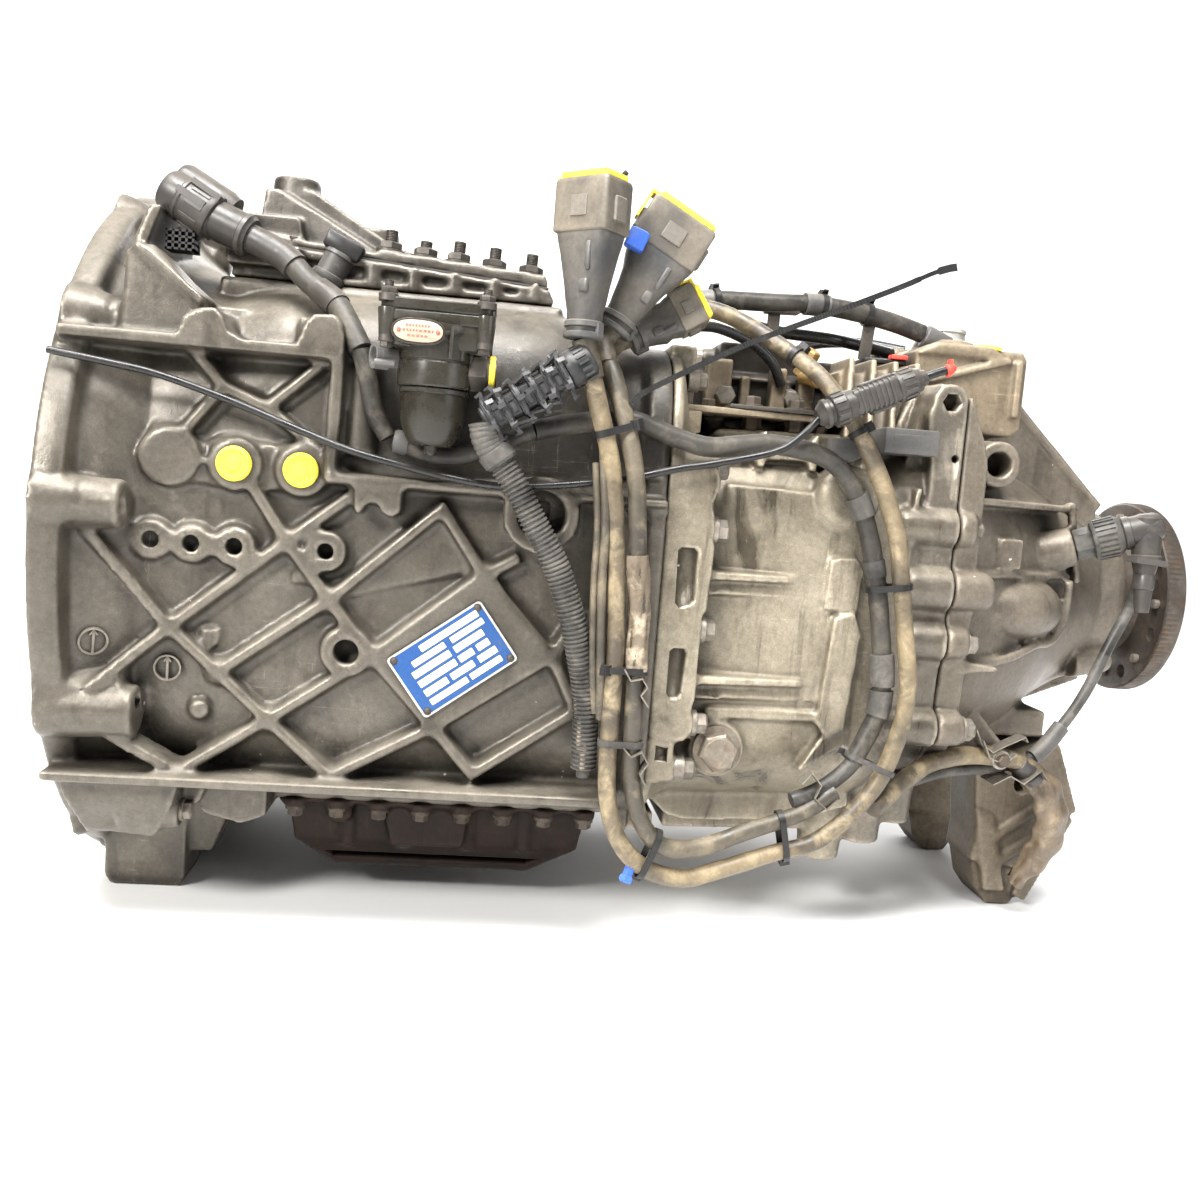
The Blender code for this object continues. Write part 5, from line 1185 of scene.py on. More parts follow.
make("regulator_ring", [turned((292, RY, 136), (1, 0, 0), [(0, 10.8), (0.6, 11.6), (3.6, 11.6), (4.2, 10.8)], 32)],
     M_YELLOW)
bits = []
for x, y in ((224, -280), (288, -280), (224, -245), (288, -245)):
    bits += stud((x, y, 178.2), (0, 0, 1), 3.0, 5.2, 6.0, 3.0, random.random())
    bits += hexbolt((x, y, 150.5), (0, 0, -1), 4.2, 4.0, 1.0, phase=random.random())
make("regulator_screws", bits, M_GUN)

# ================================================================== labels, blank
def plate_mesh(cx, y, cz, w, h, ang, t, r=1.5, n=6):
    c, s = math.cos(ang), math.sin(ang)
    out = []
    for kx, kz, a0 in ((1, 1, 0), (-1, 1, 90), (-1, -1, 180), (1, -1, 270)):
        for i in range(n + 1):
            a = math.radians(a0 + 90 * i / n)
            u, v = kx * (w / 2 - r) + r * math.cos(a), kz * (h / 2 - r) + r * math.sin(a)
            out.append((cx + u * c - v * s, cz + u * s + v * c))
    return slab_xz(out, y - t, y)


def on_plate(u, v, w, h, y, t=0.25, r=0.4, ang=math.atan2(47, 63), cx=280, cz=-64):
    c, s = math.cos(ang), math.sin(ang)
    return plate_mesh(cx + u * c - v * s, y, cz + u * s + v * c, w, h, ang, t, r, 3)


A = math.atan2(47, 63)
make("nameplate_sheet", [plate_mesh(280, -240.9, -64, 78.6, 50.6, A, 1.0, 3.0)], M_PLATE_METAL,
     replaces=["nameplate"])
make("nameplate_print", [plate_mesh(280, -241.9, -64, 75.5, 47.5, A, 0.25, 2.0)], M_PLATE_BLUE)
fields = [(-12, 12.0, 27, 4.6), (20, 12.0, 27, 4.6), (-14, 5.0, 31, 5.2), (17, 5.0, 24, 5.2), (-14, -2.6, 31, 5.2),
          (10, -2.6, 12, 5.2), (24, -2.6, 10, 5.2), (-20, -10.2, 19, 5.2), (2, -10.2, 19, 5.2), (23, -10.2, 15, 5.2),
          (-14, -17.6, 31, 4.6), (17, -17.6, 26, 4.6)]
make("nameplate_fields", [on_plate(u, v, w, h, -242.15) for u, v, w, h in fields]
     + [on_plate(9, 18.6, 48, 5.0, -242.15)], M_PLATE_CREAM)
ruled = []
for u, v, w, h in fields:
    k = 0
    x = u - w / 2 + 2
    while x < u + w / 2 - 2.5:
        ruled.append(on_plate(x + 0.7, v - 0.2, 1.4, 0.34, -242.36, 0.12, 0.1))
        x += 2.4
make("nameplate_marks", ruled, M_PLATE_MARK)
rivets = []
for u in (-35, 35):
    for v in (-21.5, 21.5):
        c, s = math.cos(A), math.sin(A)
        p = (280 + u * c - v * s, -240.9, -64 + u * s + v * c)
        rivets.append(turned(p, (0, -1, 0), [(0, 2.4), (1.4, 2.4), (2.0, 2.1), (2.4, 1.4), (2.5, 0.4)], 20))
        rivets.append(turned((p[0], -236, p[2]), (0, -1, 0), [(0, 3.0), (5.6, 3.0), (6.3, 2.9)], 20))
make("nameplate_rivets", rivets, M_GUN)

pts = []
for i in range(48):
    a = 2 * math.pi * i / 48
    c, s = math.cos(a), math.sin(a)
    pts.append((math.copysign(abs(c) ** 0.72, c), math.copysign(abs(s) ** 0.9, s)))
LX, LZ = 245.0, 156.5
make("regulator_label_seat", [rings([[(LX + u * k, y, LZ + v * j) for u, v in pts] for y, k, j in
                                     ((-276, 17.6, 8.6), (-289.6, 17.6, 8.6), (-290.4, 16.8, 7.8))])], M_REG)
make("regulator_label", [rings([[(LX + u * k, y, LZ + v * j) for u, v in pts] for y, k, j in
                                ((-290.2, 15.8, 7.0), (-291.1, 15.8, 7.0), (-291.3, 15.4, 6.6))])], M_OVAL)
lines = []
for k, (w, z) in enumerate(((16, 3.4), (20, 0.2), (14, -3.2))):
    x = -w / 2
    while x < w / 2 - 1:
        step = 1.1 + 0.9 * ((k * 7 + int(x * 3)) % 3) / 2
        lines.append(box(LX + x, LX + x + step, -291.55, -291.2, LZ + z - 0.7, LZ + z + 0.7))
        x += step + 0.9
lines += [turned((LX + e * 12.6, -291.0, LZ), (0, -1, 0), [(0, 1.5), (0.8, 1.4), (1.0, 0.8)], 16) for e in (-1, 1)]
make("regulator_label_marks", lines, M_OVAL_MARK)

# ================================================================== yellow caps
for node, x, z in (("sealing_cap_front", 123, 62), ("sealing_cap_rear", 168, 61)):
    loops = []
    prof = [(0.3, 11.2), (0.5, 11.9), (2.4, 12.2), (3.8, 11.8), (4.6, 10.9), (4.9, 10.2), (4.9, 9.4), (4.3, 8.9),
            (4.3, 5.2), (4.9, 4.8), (5.0, 4.2), (5.0, 0.6)]
    make(node + "_shape", [turned((x, RIB_Y, z), (0, -1, 0), prof, 56),
                           bar((x - 3.0, RIB_Y - 4.6, z + 1), (x + 3.0, RIB_Y - 4.6, z - 1), (0, 1, 0), 1.2, 1.4)],
         M_YELLOW, replaces=[node])

# ================================================================== oil level plug and housing screws
make("oil_plug_shape",
     [turned((481, -217.3, -124), (0, -1, 0), [(0, 17), (0.6, 18.5), (2.4, 18.5), (2.8, 17.6)], 48),
      turned((481, -219.6, -124), (0, -1, 0), [(0, 14.6), (0.6, 15.2), (9.6, 15.2), (11.4, 13.4)], 6, 0.25),
      turned((481, -230, -124), (0, -1, 0), [(0, 12.6), (0.8, 12.4), (1.5, 11)], 40)],
     M_PLUG, replaces=["oil_level_plug"], angle=25)
bits = []
for s in (-1, 1):
    for x, z in ((463, 41), (460, -33), (459.5, -103), (453, -138)):
        bits += hexbolt((x, s * 224, z), (1, 0, 0), 8.0, 8.5, 2.2, phase=random.random())
    bits += hexbolt((460.5, s * 223, 85), (1, 0, 0), 7.0, 7.5, 2.0, phase=random.random())
    bits += hexbolt((669, s * 200, 55), (1, 0, 0), 6.6, 6.5, 1.8, phase=random.random())
    bits += hexbolt((673.5, s * 200, -33), (1, 0, 0), 7.6, 7.5, 1.8, phase=random.random())
    bits += hexbolt((677, s * 200, -101), (1, 0, 0), 8.6, 8.5, 2.2, phase=random.random())
    bits += hexbolt((92, s * 216, -190), (1, 0, 0), 6.5, 6.0, 2.0, phase=random.random())
    bits += hexbolt((441, s * 190, 150), (1, 0, 0), 6.5, 7.0, 2.0, proud=5, phase=random.random())
for k in range(8):
    y = -70 + 20 * k
    bits += hexbolt((676.5, y * 1.6, -132), (1, 0, 0), 6.0, 6.5, 1.6, proud=0, sunk=10, phase=random.random())
make("housing_screws", bits, M_STEEL)
bits = []
for y in (-80, 0, 80):
    bits += hexbolt((300, y * 1.0 + 120 if y == 0 else y, 184), (0, 0, 1), 6, 6, 1.5, proud=12 if y else 30, sunk=14)
make("roof_screws", bits, M_RUST)

# ================================================================== hose bracket (two plates, bolts)
make("bracket_plate", [slab_xy([(434, -196), (560, -184), (566, -150), (560, -112), (432, -112)], 127.9, 132.6),
                       slab_xz([(434, 128), (452, 128), (452, 112), (440, 108), (434, 114)], -196, -182),
                       slab_xz([(440, 132), (447, 132), (447, 148), (440, 148)], -150, -120)],
     M_BROWN, bevel=1.0)
make("bracket_strap", [slab_xy([(474, -192), (562, -190), (570, -168), (560, -128), (500, -124), (476, -150)], 132.9, 136.0),
                       slab_xz([(556, 133), (566, 138), (572, 152), (569, 153), (562, 140), (555, 136)], -186, -140)],
     M_GUN, bevel=0.7)
bits = []
for x in (496, 530):
    bits += hexbolt((x, -170, 136.2), (0, 0, 1), 6.2, 6.5, 1.8, phase=random.random())
    bits.append(turned((x, -170, 128), (0, 0, -1), [(0, 7.6), (8, 7.6), (9, 6.6)], 6, 0.2))
    bits.append(turned((x, -170, 120), (0, 0, -1), [(0, 4.4), (9, 4.4), (9.6, 3.6)], 16))
bits += hexbolt((463, -160, 133), (0, 0, 1), 5.5, 6, 1.6, phase=0.4)
make("bracket_bolts", bits, M_RUST)
make("grey_block", [box(588, 630, -216, -176, 108, 127), box(594, 624, -216.6, -210, 112, 123)], M_GREY, bevel=1.6)
make("side_tab", [slab_xz([(548, 116), (572, 116), (572, 104), (562, 98), (548, 102)], -222, -200)], M_GREY, bevel=1.6)
# small blocks and brass fittings between the boxes
make("solenoid_row", [box(604, 632, -110, -80, 150, 186), box(600, 636, -112, -76, 186, 190),
                      box(606, 628, -70, -40, 150, 192), box(604, 632, -30, 6, 150, 184)], M_BLACK, bevel=1.4)
make("brass_elbow", [turned((548, -112, 176), (0.3, -0.4, 0.86), [(-6, 6), (8, 6), (8.4, 8), (16, 8), (17, 6.5)], 6),
                     turned((552, -118, 168), (0.4, -0.9, -0.1), [(-8, 6), (8, 6), (8.4, 7.6), (14, 7.6), (15, 4), (12, 3.4)], 24)],
     M_BRONZE)
make("solenoid_rail", [bar((596, -96, 174), (640, -96, 172), (0, 1, 0), 10, 5),
                       turned((640, -96, 172), (1, 0, 0), [(0, 4), (10, 4), (10.5, 6), (16, 6)], 20)], M_STEEL)
make("red_mark", [box(622, 636, -114, -104, 190.2, 194)], M_RED_BIT, bevel=0.8)

# ================================================================== harness
OUTER = [(354, -272, 161), (366, -270, 124), (380, -267, 78), (388, -266, 17), (392, -266, -39),
         (393, -266, -96), (395, -264, -147), (406, -262, -183), (427, -258, -204), (456, -252, -213),
         (482, -247, -208), (523, -242, -195), (561, -240, -182), (597, -238, -145),
         (613, -238, -103), (617, -238, -66), (613, -238, -38), (605, -238, 4), (597, -238, 44),
         (585, -238, 76), (570, -234, 107), (552, -228, 136), (533, -215, 160), (508, -190, 182),
         (476, -170, 202), (452, -160, 210)]
INNER = [(374.0, -242, 172.2), (368.4, -242.5, 161.5), (379, -256, 138), (396, -266, 79), (403, -266, 18),
         (408, -266, -38), (409, -266, -95), (412, -264, -139), (422, -262, -170), (440, -258, -188),
         (468, -252, -189), (505, -247, -176), (543, -242, -163), (569, -239, -146)]
BRANCH = [(582, -234, -124), (591, -231, -106), (599, -229, -86), (600, -229, -62), (595, -229, -26),
          (588, -229, 10), (577, -229, 50), (564, -230, 76), (549, -233, 93), (530, -236, 102),
          (495, -236, 106), (453, -244, 100), (428, -245, 104), (409, -244, 110), (390, -244, 114),
          (353, -247, 108), (326, -251, 101)]
CONDUIT = [(304, -268, 77), (315, -268, 62), (329, -268, 39), (346, -266, 11), (359, -264, -21),
           (367, -261, -48), (374, -257, -77), (377, -254, -106), (378, -252, -134)]
LEAD = [(3, -254, 127), (42, -254, 122), (74, -252, 117), (120, -250, 104), (167, -252, 88),
        (202, -255, 77), (236, -256, 70), (270, -256, 64), (305, -256, 61), (347, -256, 65),
        (392, -254.5, 73), (429, -252, 83), (452, -251, 88), (496, -250, 100), (514, -249, 112),
        (531, -248, 131)]


def wavy(r, amount, length, seed):
    rnd = random.Random(seed)
    ph = [rnd.uniform(0, 6.28) for _ in range(3)]

    def f(d):
        return r * (1 + amount * (math.sin(d / length + ph[0]) * 0.5 + math.sin(d / length * 2.7 + ph[1]) * 0.3
                                  + math.sin(d / length * 6.1 + ph[2]) * 0.2))
    return f


make("harness_outer", [sweep(OUTER, wavy(6.5, 0.05, 31, 1), 24, 4.0)], M_SHEATH, replaces=["harness_cable_outer"],
     angle=70)
make("harness_inner", [sweep(INNER, wavy(6.5, 0.05, 27, 2), 24, 4.0)], M_SHEATH2, replaces=["harness_cable_inner"],
     angle=70)
make("branch", [sweep(BRANCH, wavy(7.2, 0.06, 24, 3), 24, 4.0)], M_HOSE, replaces=["branch_hose"],
     angle=70)


def ribbed(d):
    t = (d % 3.3) / 3.3
    return 9.4 if 0.10 < t < 0.62 else 8.1


make("conduit", [sweep(CONDUIT, ribbed, 28, 0.47),
                 sweep(CONDUIT[-2:] + [(378.3, -251.6, -141)], 5.0, 16, 3.0)], M_CONDUIT,
     replaces=["corrugated_conduit"], angle=50)


SIDE = [(371, -262, 118), (374, -267, 84), (378.5, -269, 40), (379, -270, 2), (381, -270, -36), (383.5, -268, -66),
        (386, -264, -96)]
make("side_leads", [sweep(SIDE, wavy(3.1, 0.05, 21, 5), 16, 3.0),
                    sweep([(x - 5.2, y + 2.0, z - 2) for x, y, z in SIDE[1:-1]] + [(382, -263, -92)],
                          wavy(2.6, 0.05, 18, 6), 16, 3.0)], M_SHEATH2, angle=70)


def at(points, target):
    """Place and direction on a run, nearest to a point."""
    pts = route(points, 1.5)
    target = Vector(target)
    k = min(range(len(pts)), key=lambda i: (pts[i] - target).length)
    d = (pts[min(k + 1, len(pts) - 1)] - pts[max(k - 1, 0)]).normalized()
    return pts[k], d


def piece_of(points, a, b):
    """The run between the places nearest to a and b."""
    pts = route(points, 3.0)
    a, b = Vector(a), Vector(b)
    i = min(range(len(pts)), key=lambda k: (pts[k] - a).length)
    j = min(range(len(pts)), key=lambda k: (pts[k] - b).length)
    i, j = min(i, j), max(i, j)
    return [tuple(p) for p in pts[i:j + 1]]


def tie(centres, radii, d, w=4.6, t=1.3, head=0.0, tail=6.0):
    """Cable tie drawn round a bundle, with its lock and cut end."""
    d, u, v = frame_of(d)
    mid = sum((Vector(c) for c in centres), Vector()) / len(centres)
    flat = [(Vector(c) - d * (Vector(c) - mid).dot(d), r) for c, r in zip(centres, radii)]
    loops = []
    n = 64
    for i in range(n):
        a = 2 * math.pi * i / n
        q = u * math.cos(a) + v * math.sin(a)
        c, r = max(flat, key=lambda cr: (cr[0] - mid).dot(q) + cr[1])
        p = c + q * (r + 0.25)
        loops.append([tuple(p - d * (w / 2)), tuple(p - d * (w / 2) + q * t), tuple(p + d * (w / 2) + q * t),
                      tuple(p + d * (w / 2))])
    out = [rings(loops, closed=True)]
    q = u * math.cos(head) + v * math.sin(head)
    e = -u * math.sin(head) + v * math.cos(head)
    c, r = max(flat, key=lambda cr: (cr[0] - mid).dot(q) + cr[1])
    p = c + q * (r + 0.3)
    out.append(bar(p - e * 3.4, p + e * 3.4, d, 7.4, 9.0))
    out.append(bar(p + q * 1.5 - e * 1.0, p + q * 1.5 + e * (3.5 + tail), d, 4.2, 1.2))
    out.append(bar(p + q * 3.6 - e * 2.4, p + q * 3.6 + e * 2.4, d, 3.4, 2.6))
    return out


ties, pale_ties = [], []
for target, head in (((392, -266, -60), 3.6), ((394, -266, -112), 1.2)):
    a, d = at(OUTER, target)
    b, _ = at(INNER, target)
    (ties if target[2] > -100 else pale_ties).extend(tie([a, b], [6.6, 6.6], d, head=head))
a, d = at(OUTER, (378, -266, 105))
b, _ = at(INNER, (384, -266, 108))
ties += tie([a, b], [6.7, 6.7], d, 5.0, head=2.4, tail=0.5)
a, d = at(OUTER, (428, -258, -206))
b, _ = at(INNER, (430, -258, -182))
ties += tie([a, b], [6.7, 6.7], (1, 0.1, -0.35), head=-1.0, tail=9)
a, d = at(OUTER, (533, -245, -192))
b, _ = at(INNER, (528, -245, -168))
ties += tie([a, b], [6.7, 6.7], d, head=-1.2, tail=12)
a, d = at(OUTER, (605, -238, -128))
b, _ = at(BRANCH, (584, -234, -120))
pale_ties += tie([a, b], [6.7, 7.4], d, 4.0, head=0.9, tail=14)
a, d = at(OUTER, (603, -238, 8))
b, _ = at(BRANCH, (588, -229, 8))
ties += tie([a, b], [6.7, 7.4], d, head=2.9, tail=3)
a, d = at(OUTER, (520, -200, 174))
ties += tie([a], [6.7], d, head=2.0, tail=3)
a, d = at(OUTER, (562, -232, 120))
ties += tie([a], [6.7], d, head=1.5, tail=3)
make("ties", ties, M_TIE, angle=50)
make("ties_pale", pale_ties, M_CONDUIT, angle=50)
# the long uncut tail of one tie, with its fine teeth
TAIL = [(379, -259, 109), (390, -264, 124), (404, -262, 136), (468, -254, 172), (537, -248, 204),
        (579, -244, 224), (600, -242, 235), (612, -241, 240), (619, -240, 242)]
pts = route(TAIL, 1.1)
loops = []
for k, p in enumerate(pts):
    dd = (pts[min(k + 1, len(pts) - 1)] - pts[max(k - 1, 0)]).normalized()
    side = Vector((0, 1, 0))
    side = (side - dd * side.dot(dd)).normalized()
    up = dd.cross(side)
    f = k / len(pts)
    w = 2.0 if f < 0.88 else (1.6 if f < 0.94 else 2.7)
    g = 1.05 if (k % 2 and f < 0.86) else 0.75
    # the flat side looks at the viewer
    loops.append([tuple(p + side * (a * g) + up * (b * w)) for a, b in ((-1, -1), (1, -1), (1, 1), (-1, 1))])
make("tie_tail", [rings(loops)], M_TIE, angle=20)

# sleeves, torn wraps and couplings on the runs
make("branch_sleeves",
     [sweep(piece_of(BRANCH, (566, -230, 73), (574, -229, 58)), 9.2, 28, 3.0),
      sweep(piece_of(BRANCH, (598, -229, -40), (600, -229, -66)), 9.3, 28, 3.0),
      sweep(piece_of(BRANCH, (600, -229, -68), (598, -229, -88)), 9.0, 28, 3.0),
      sweep(piece_of(BRANCH, (584, -229, 28), (587, -229, 16)), 8.4, 28, 3.0),
      sweep([(592, -231, -104), (582, -234, -124), (568, -236, -138), (552, -238, -148), (536, -240, -154)],
            6.0, 24, 3.0)], M_CONDUIT, angle=40)
rnd = random.Random(4)
for k, (run, a, b, r0, mat) in enumerate(((INNER, (402, -266, 22), (409, -266, -58), 7.6, M_TAPE),
                                          (CONDUIT, (370, -258, -84), (378, -252, -134), 7.6, M_TAPE))):
    pts = [Vector(p) for p in piece_of(run, a, b)]
    pts = route([tuple(p) for p in pts], 1.6)
    loops = []
    side = None
    for i, p in enumerate(pts):
        dd = (pts[min(i + 1, len(pts) - 1)] - pts[max(i - 1, 0)]).normalized()
        side = side or dd.orthogonal().normalized()
        side = (side - dd * side.dot(dd)).normalized()
        up = dd.cross(side)
        loop = []
        for j in range(28):
            t = 2 * math.pi * j / 28
            r = r0 + 0.9 * math.sin(3 * t + i * 0.11) + 0.5 * math.sin(7 * t - i * 0.23) + rnd.uniform(-0.25, 0.25)
            loop.append(tuple(p + side * math.cos(t) * r + up * math.sin(t) * r))
        loops.append(loop)
    make("torn_wrap_%d" % (k + 1), [rings(loops)], mat, angle=60)


def bent(path, t, y0, y1):
    """Thin bent strip: a path in XZ, t thick, wide along Y."""
    left, right = [], []
    for i, p in enumerate(path):
        a = Vector(path[max(i - 1, 0)])
        b = Vector(path[min(i + 1, len(path) - 1)])
        d = (b - a).normalized()
        s = Vector((-d.y, d.x)) * (t / 2)
        left.append((p[0] + s.x, p[1] + s.y))
        right.append((p[0] - s.x, p[1] - s.y))
    return slab_xz(left + right[::-1], y0, y1)


make("spring_clips",
     [bent([(399, -58), (404, -66), (412, -64), (416, -70), (412, -76), (418, -84)], 1.0, -276, -262),
      bent([(403, -114), (409, -120), (416, -116), (421, -124), (416, -132), (420, -139)], 1.0, -275, -260),
      bent([(541, -140), (548, -131), (556, -140), (552, -150), (562, -158), (570, -150)], 1.0, -247, -235),
      bent([(700, -104), (706, -116), (716, -122), (726, -116), (742, -108), (744, -112)], 1.1, -182, -168),
      bent([(705, -112), (712, -126), (724, -130), (734, -122)], 1.1, -186, -166),
      bent([(722, -150), (736, -142), (748, -148), (762, -136), (768, -144)], 1.1, -176, -150),
      turned((724, -150, -128), (0, -1, 0), [(0, 6), (26, 6), (27, 8), (30, 8), (31, 6)], 24)],
     M_STEEL, angle=30)
make("clip_bolt", hexbolt((724, -181, -128), (0, -1, 0), 5.0, 5.0, 1.2), M_RUST)
make("blue_stud", [turned((417, -260, -203), (-0.35, -0.35, -0.87), [(0, 4), (7, 4), (8, 5.4), (11, 5.4), (12, 4.4)], 6)],
     M_BLUE_BIT)

# thin lead with its inline plug
D_P = Vector((53, 0.6, 24)).normalized()
P0 = Vector((529, -248, 129))
make("lead_wire", [sweep(LEAD, wavy(2.6, 0.04, 40, 5), 16, 4.0),
                   sweep([tuple(P0 + D_P * 74), tuple(P0 + D_P * 86), (619, -246, 169)], 3.0, 16, 3.0)],
     M_LEAD, replaces=["sensor_lead"], angle=70)
plug = [turned(P0, D_P, [(-4, 5.5), (-2, 7.6), (0, 9.0), (1, 10.6), (4, 10.6), (5, 9.4), (7, 9.4), (8, 11.6),
                         (17, 11.8), (18, 11.0), (24, 10.6), (26, 9.0)], 40),
        lofted(P0 + D_P * 22, D_P, (0, 1, 0), [(0, 8.6, 8.2, 4), (2, 9.6, 9.2, 5), (34, 9.6, 9.2, 5), (36, 8.8, 8.6, 4)]),
        turned(P0 + D_P * 56, D_P, [(0, 9.0), (1, 10.8), (3, 11.2), (14, 10.6), (16, 9.2), (19, 8.4), (20, 6.2), (24, 5.4)], 40)]
for k in range(7):
    plug.append(lofted(P0 + D_P * (27.5 + 3.8 * k), D_P, (0, 1, 0), [(0, 10.2, 9.8, 5), (1.7, 10.2, 9.8, 5)]))
for k in range(14):
    t = 2 * math.pi * k / 14
    _, u, v = frame_of(D_P)
    q = u * math.cos(t) + v * math.sin(t)
    plug.append(bar(P0 + D_P * 8.5 + q * 11.8, P0 + D_P * 16.5 + q * 11.8, D_P.cross(q), 2.0, 1.6))
    plug.append(bar(P0 + D_P * 59.5 + q * 11.0, P0 + D_P * 69 + q * 10.6, D_P.cross(q), 2.0, 1.6))
plug.append(lofted(P0 + D_P * 30 + Vector((-3.4, -1, 8.6)), D_P, (0, 1, 0), [(0, 4, 1.6, 4), (1, 4.5, 2.4, 5), (24, 4.5, 2.4, 5), (25, 3, 1.4, 4)]))
plug.append(lofted(P0 + D_P * 34 + Vector((3.4, -1, -8.6)), D_P, (0, 1, 0), [(0, 5, 1.6, 4), (1, 6, 3.0, 5), (18, 6, 3.0, 5), (19, 5, 1.8, 4)]))
make("inline_plug", plug, M_GREY2, angle=32)
make("lead_tip", [turned((617, -246, 168), (0.905, 0.01, 0.41), [(0, 3.2), (1, 4.2), (4, 3.8), (7, 2.2), (8, 0.8)], 20),
                  bar((619, -246, 164), (619.5, -246, 176), (0, 1, 0), 5.5, 2.2)], M_RED_BIT, angle=40)

# ------------------------------------------------------------------ large connectors
CONN = (("connector_large_a", "connector_lock_a", (353, 163), (353, 266), -272.0, 27, 44, 29, 12.5, 42.0),
        ("connector_large_b", "connector_lock_b", (375, 174), (419, 256), -242.0, 28, 50, 27, 12.5, 0.0),
        ("connector_small", "connector_lock_small", (390, 173), (439, 202), -214.0, 24, 31, 25, 11.0, 8.0))
for name, lock, lo, hi, y, w0, w1, dep, col, turn in CONN:
    a = Vector((lo[0], y, lo[1]))
    b = Vector((hi[0], y, hi[1]))
    d = (b - a).normalized()
    flat_s = Vector((-d.z, 0, d.x))
    tr = math.radians(turn)
    s = flat_s * math.cos(tr) + Vector((0, 1, 0)) * math.sin(tr)
    f = d.cross(s)
    if f.y > 0:
        f = -f
    L = (b - a).length
    h0, h1, k = w0 / 2, w1 / 2, dep / 2
    # smooth rubber boot: clamp collar, waist, shoulder
    boot = [lofted(a, d, s, [(0, col - 2.4, col - 2.4, 2), (0.4, col + 0.6, col + 0.6, 2), (1.4, col + 1.4, col + 1.4, 2),
                             (4.0, col + 1.2, col + 1.2, 2), (4.6, col - 0.8, col - 0.8, 2), (7.4, col - 0.9, col - 0.9, 2),
                             (8.0, col + 0.8, col + 0.8, 2), (11.0, col + 0.7, col + 0.7, 2), (12.0, col - 0.6, col - 0.6, 2),
                             (L * 0.17, col - 0.4, col - 0.4, 2.1), (L * 0.24, h0 * 0.96, k * 0.94, 2.3),
                             (L * 0.34, h0 * 1.08, k * 0.95, 2.6), (L * 0.44, h0 * 1.24, k * 0.96, 3.0),
                             (L * 0.54, h1 * 0.85, k * 0.97, 3.6), (L * 0.61, h1 * 0.93, k * 0.975, 4.4),
                             (L * 0.66, h1 * 0.955, k * 0.98, 5.5), (L * 0.675, h1 * 0.93, k * 0.95, 6)], 88)]
    boot.append(lofted(a + d * (L * 0.28) + f * (k * 0.90) - s * (h0 * 0.52), d, s,
                       [(0, 2.4, 0.6, 3), (1.5, 3.4, 2.0, 3), (7, 3.4, 2.2, 3), (9, 2.4, 0.6, 3)], 24))
    boot.append(lofted(a + d * (L * 0.42) + f * (k * 0.93) - s * (h0 * 0.70), d, s,
                       [(0, 1.2, 0.5, 3), (2, 1.8, 1.8, 3), (L * 0.17, 1.8, 1.6, 3), (L * 0.18, 1.2, 0.4, 3)], 24))
    for e in (-1, 1):
        boot.append(bar(a + d * 1.2 + s * (e * (col + 0.6)), a + d * 10.6 + s * (e * (col + 0.6)), f, 5.5, 3.0))
    make(name + "_boot", boot, M_CBOOT, angle=50)
    head = [lofted(a, d, s, [(L * 0.665, h1 * 0.96, k * 0.99, 8), (L * 0.672, h1 * 0.995, k * 1.03, 12), (L * 0.68, h1, k * 1.04, 14),
                             (L * 0.972, h1, k * 1.04, 14), (L * 0.985, h1 * 0.992, k * 1.03, 14), (L, h1 * 0.965, k * 0.99, 12)], 96),
            # low frame on the broad side, shut-off line round the mouth, latch bosses on the narrow sides
            lofted(a + d * (L * 0.755) + f * (k * 1.035), d, s, [(0, h1 * 0.30, 0.2, 9), (0.3, h1 * 0.30, 0.9, 9),
                                                               (L * 0.13, h1 * 0.30, 0.9, 9), (L * 0.133, h1 * 0.29, 0.2, 9)], 24)]
    for e in (-1, 1):
        head.append(lofted(a + d * (L * 0.73) + s * (e * (h1 + 0.4)), d, s,
                           [(0, 0.8, k * 0.34, 6), (0.8, 1.8, k * 0.42, 6), (L * 0.15, 1.8, k * 0.42, 6), (L * 0.16, 0.8, k * 0.34, 6)], 24))
    make(name + "_shell", head, M_CHEAD, replaces=[name], angle=30)
    # plug insert seen inside the mouth
    make(name + "_insert", [lofted(a + d * (L * 0.96), d, s, [(0, h1 - 5.5, k - 4, 8), (L * 0.04 + 0.1, h1 - 5.5, k - 4, 8)], 40)],
         M_BLACK)
    tip = b + d * 0.35
    lk = [lofted(tip, d, s, [(0, h1 - 3.2, k - 2.2, 9), (0.5, h1 - 2.2, k - 1.5, 9), (2.4, h1 - 2.2, k - 1.5, 9),
                             (3.1, h1 - 2.8, k - 2.0, 9)], 48)]
    for e in (-1, 1):
        lk.append(bar(tip + d * 2.8 + f * (e * (k - 2.6)) - s * (h1 - 4), tip + d * 2.8 + f * (e * (k - 2.6)) + s * (h1 - 4),
                      f, 1.8, 2.6))
        lk.append(bar(tip + d * 2.8 - f * (k - 4) + s * (e * (h1 - 4.2)), tip + d * 2.8 + f * (k - 4) + s * (e * (h1 - 4.2)),
                      s, 1.8, 2.6))
    for j in range(5):
        lk.append(bar(tip + d * 3.3 + s * (-5 + 2.5 * j) - f * (k * 0.45), tip + d * 3.3 + s * (-5 + 2.5 * j) + f * (k * 0.45),
                      s, 1.0, 1.0))
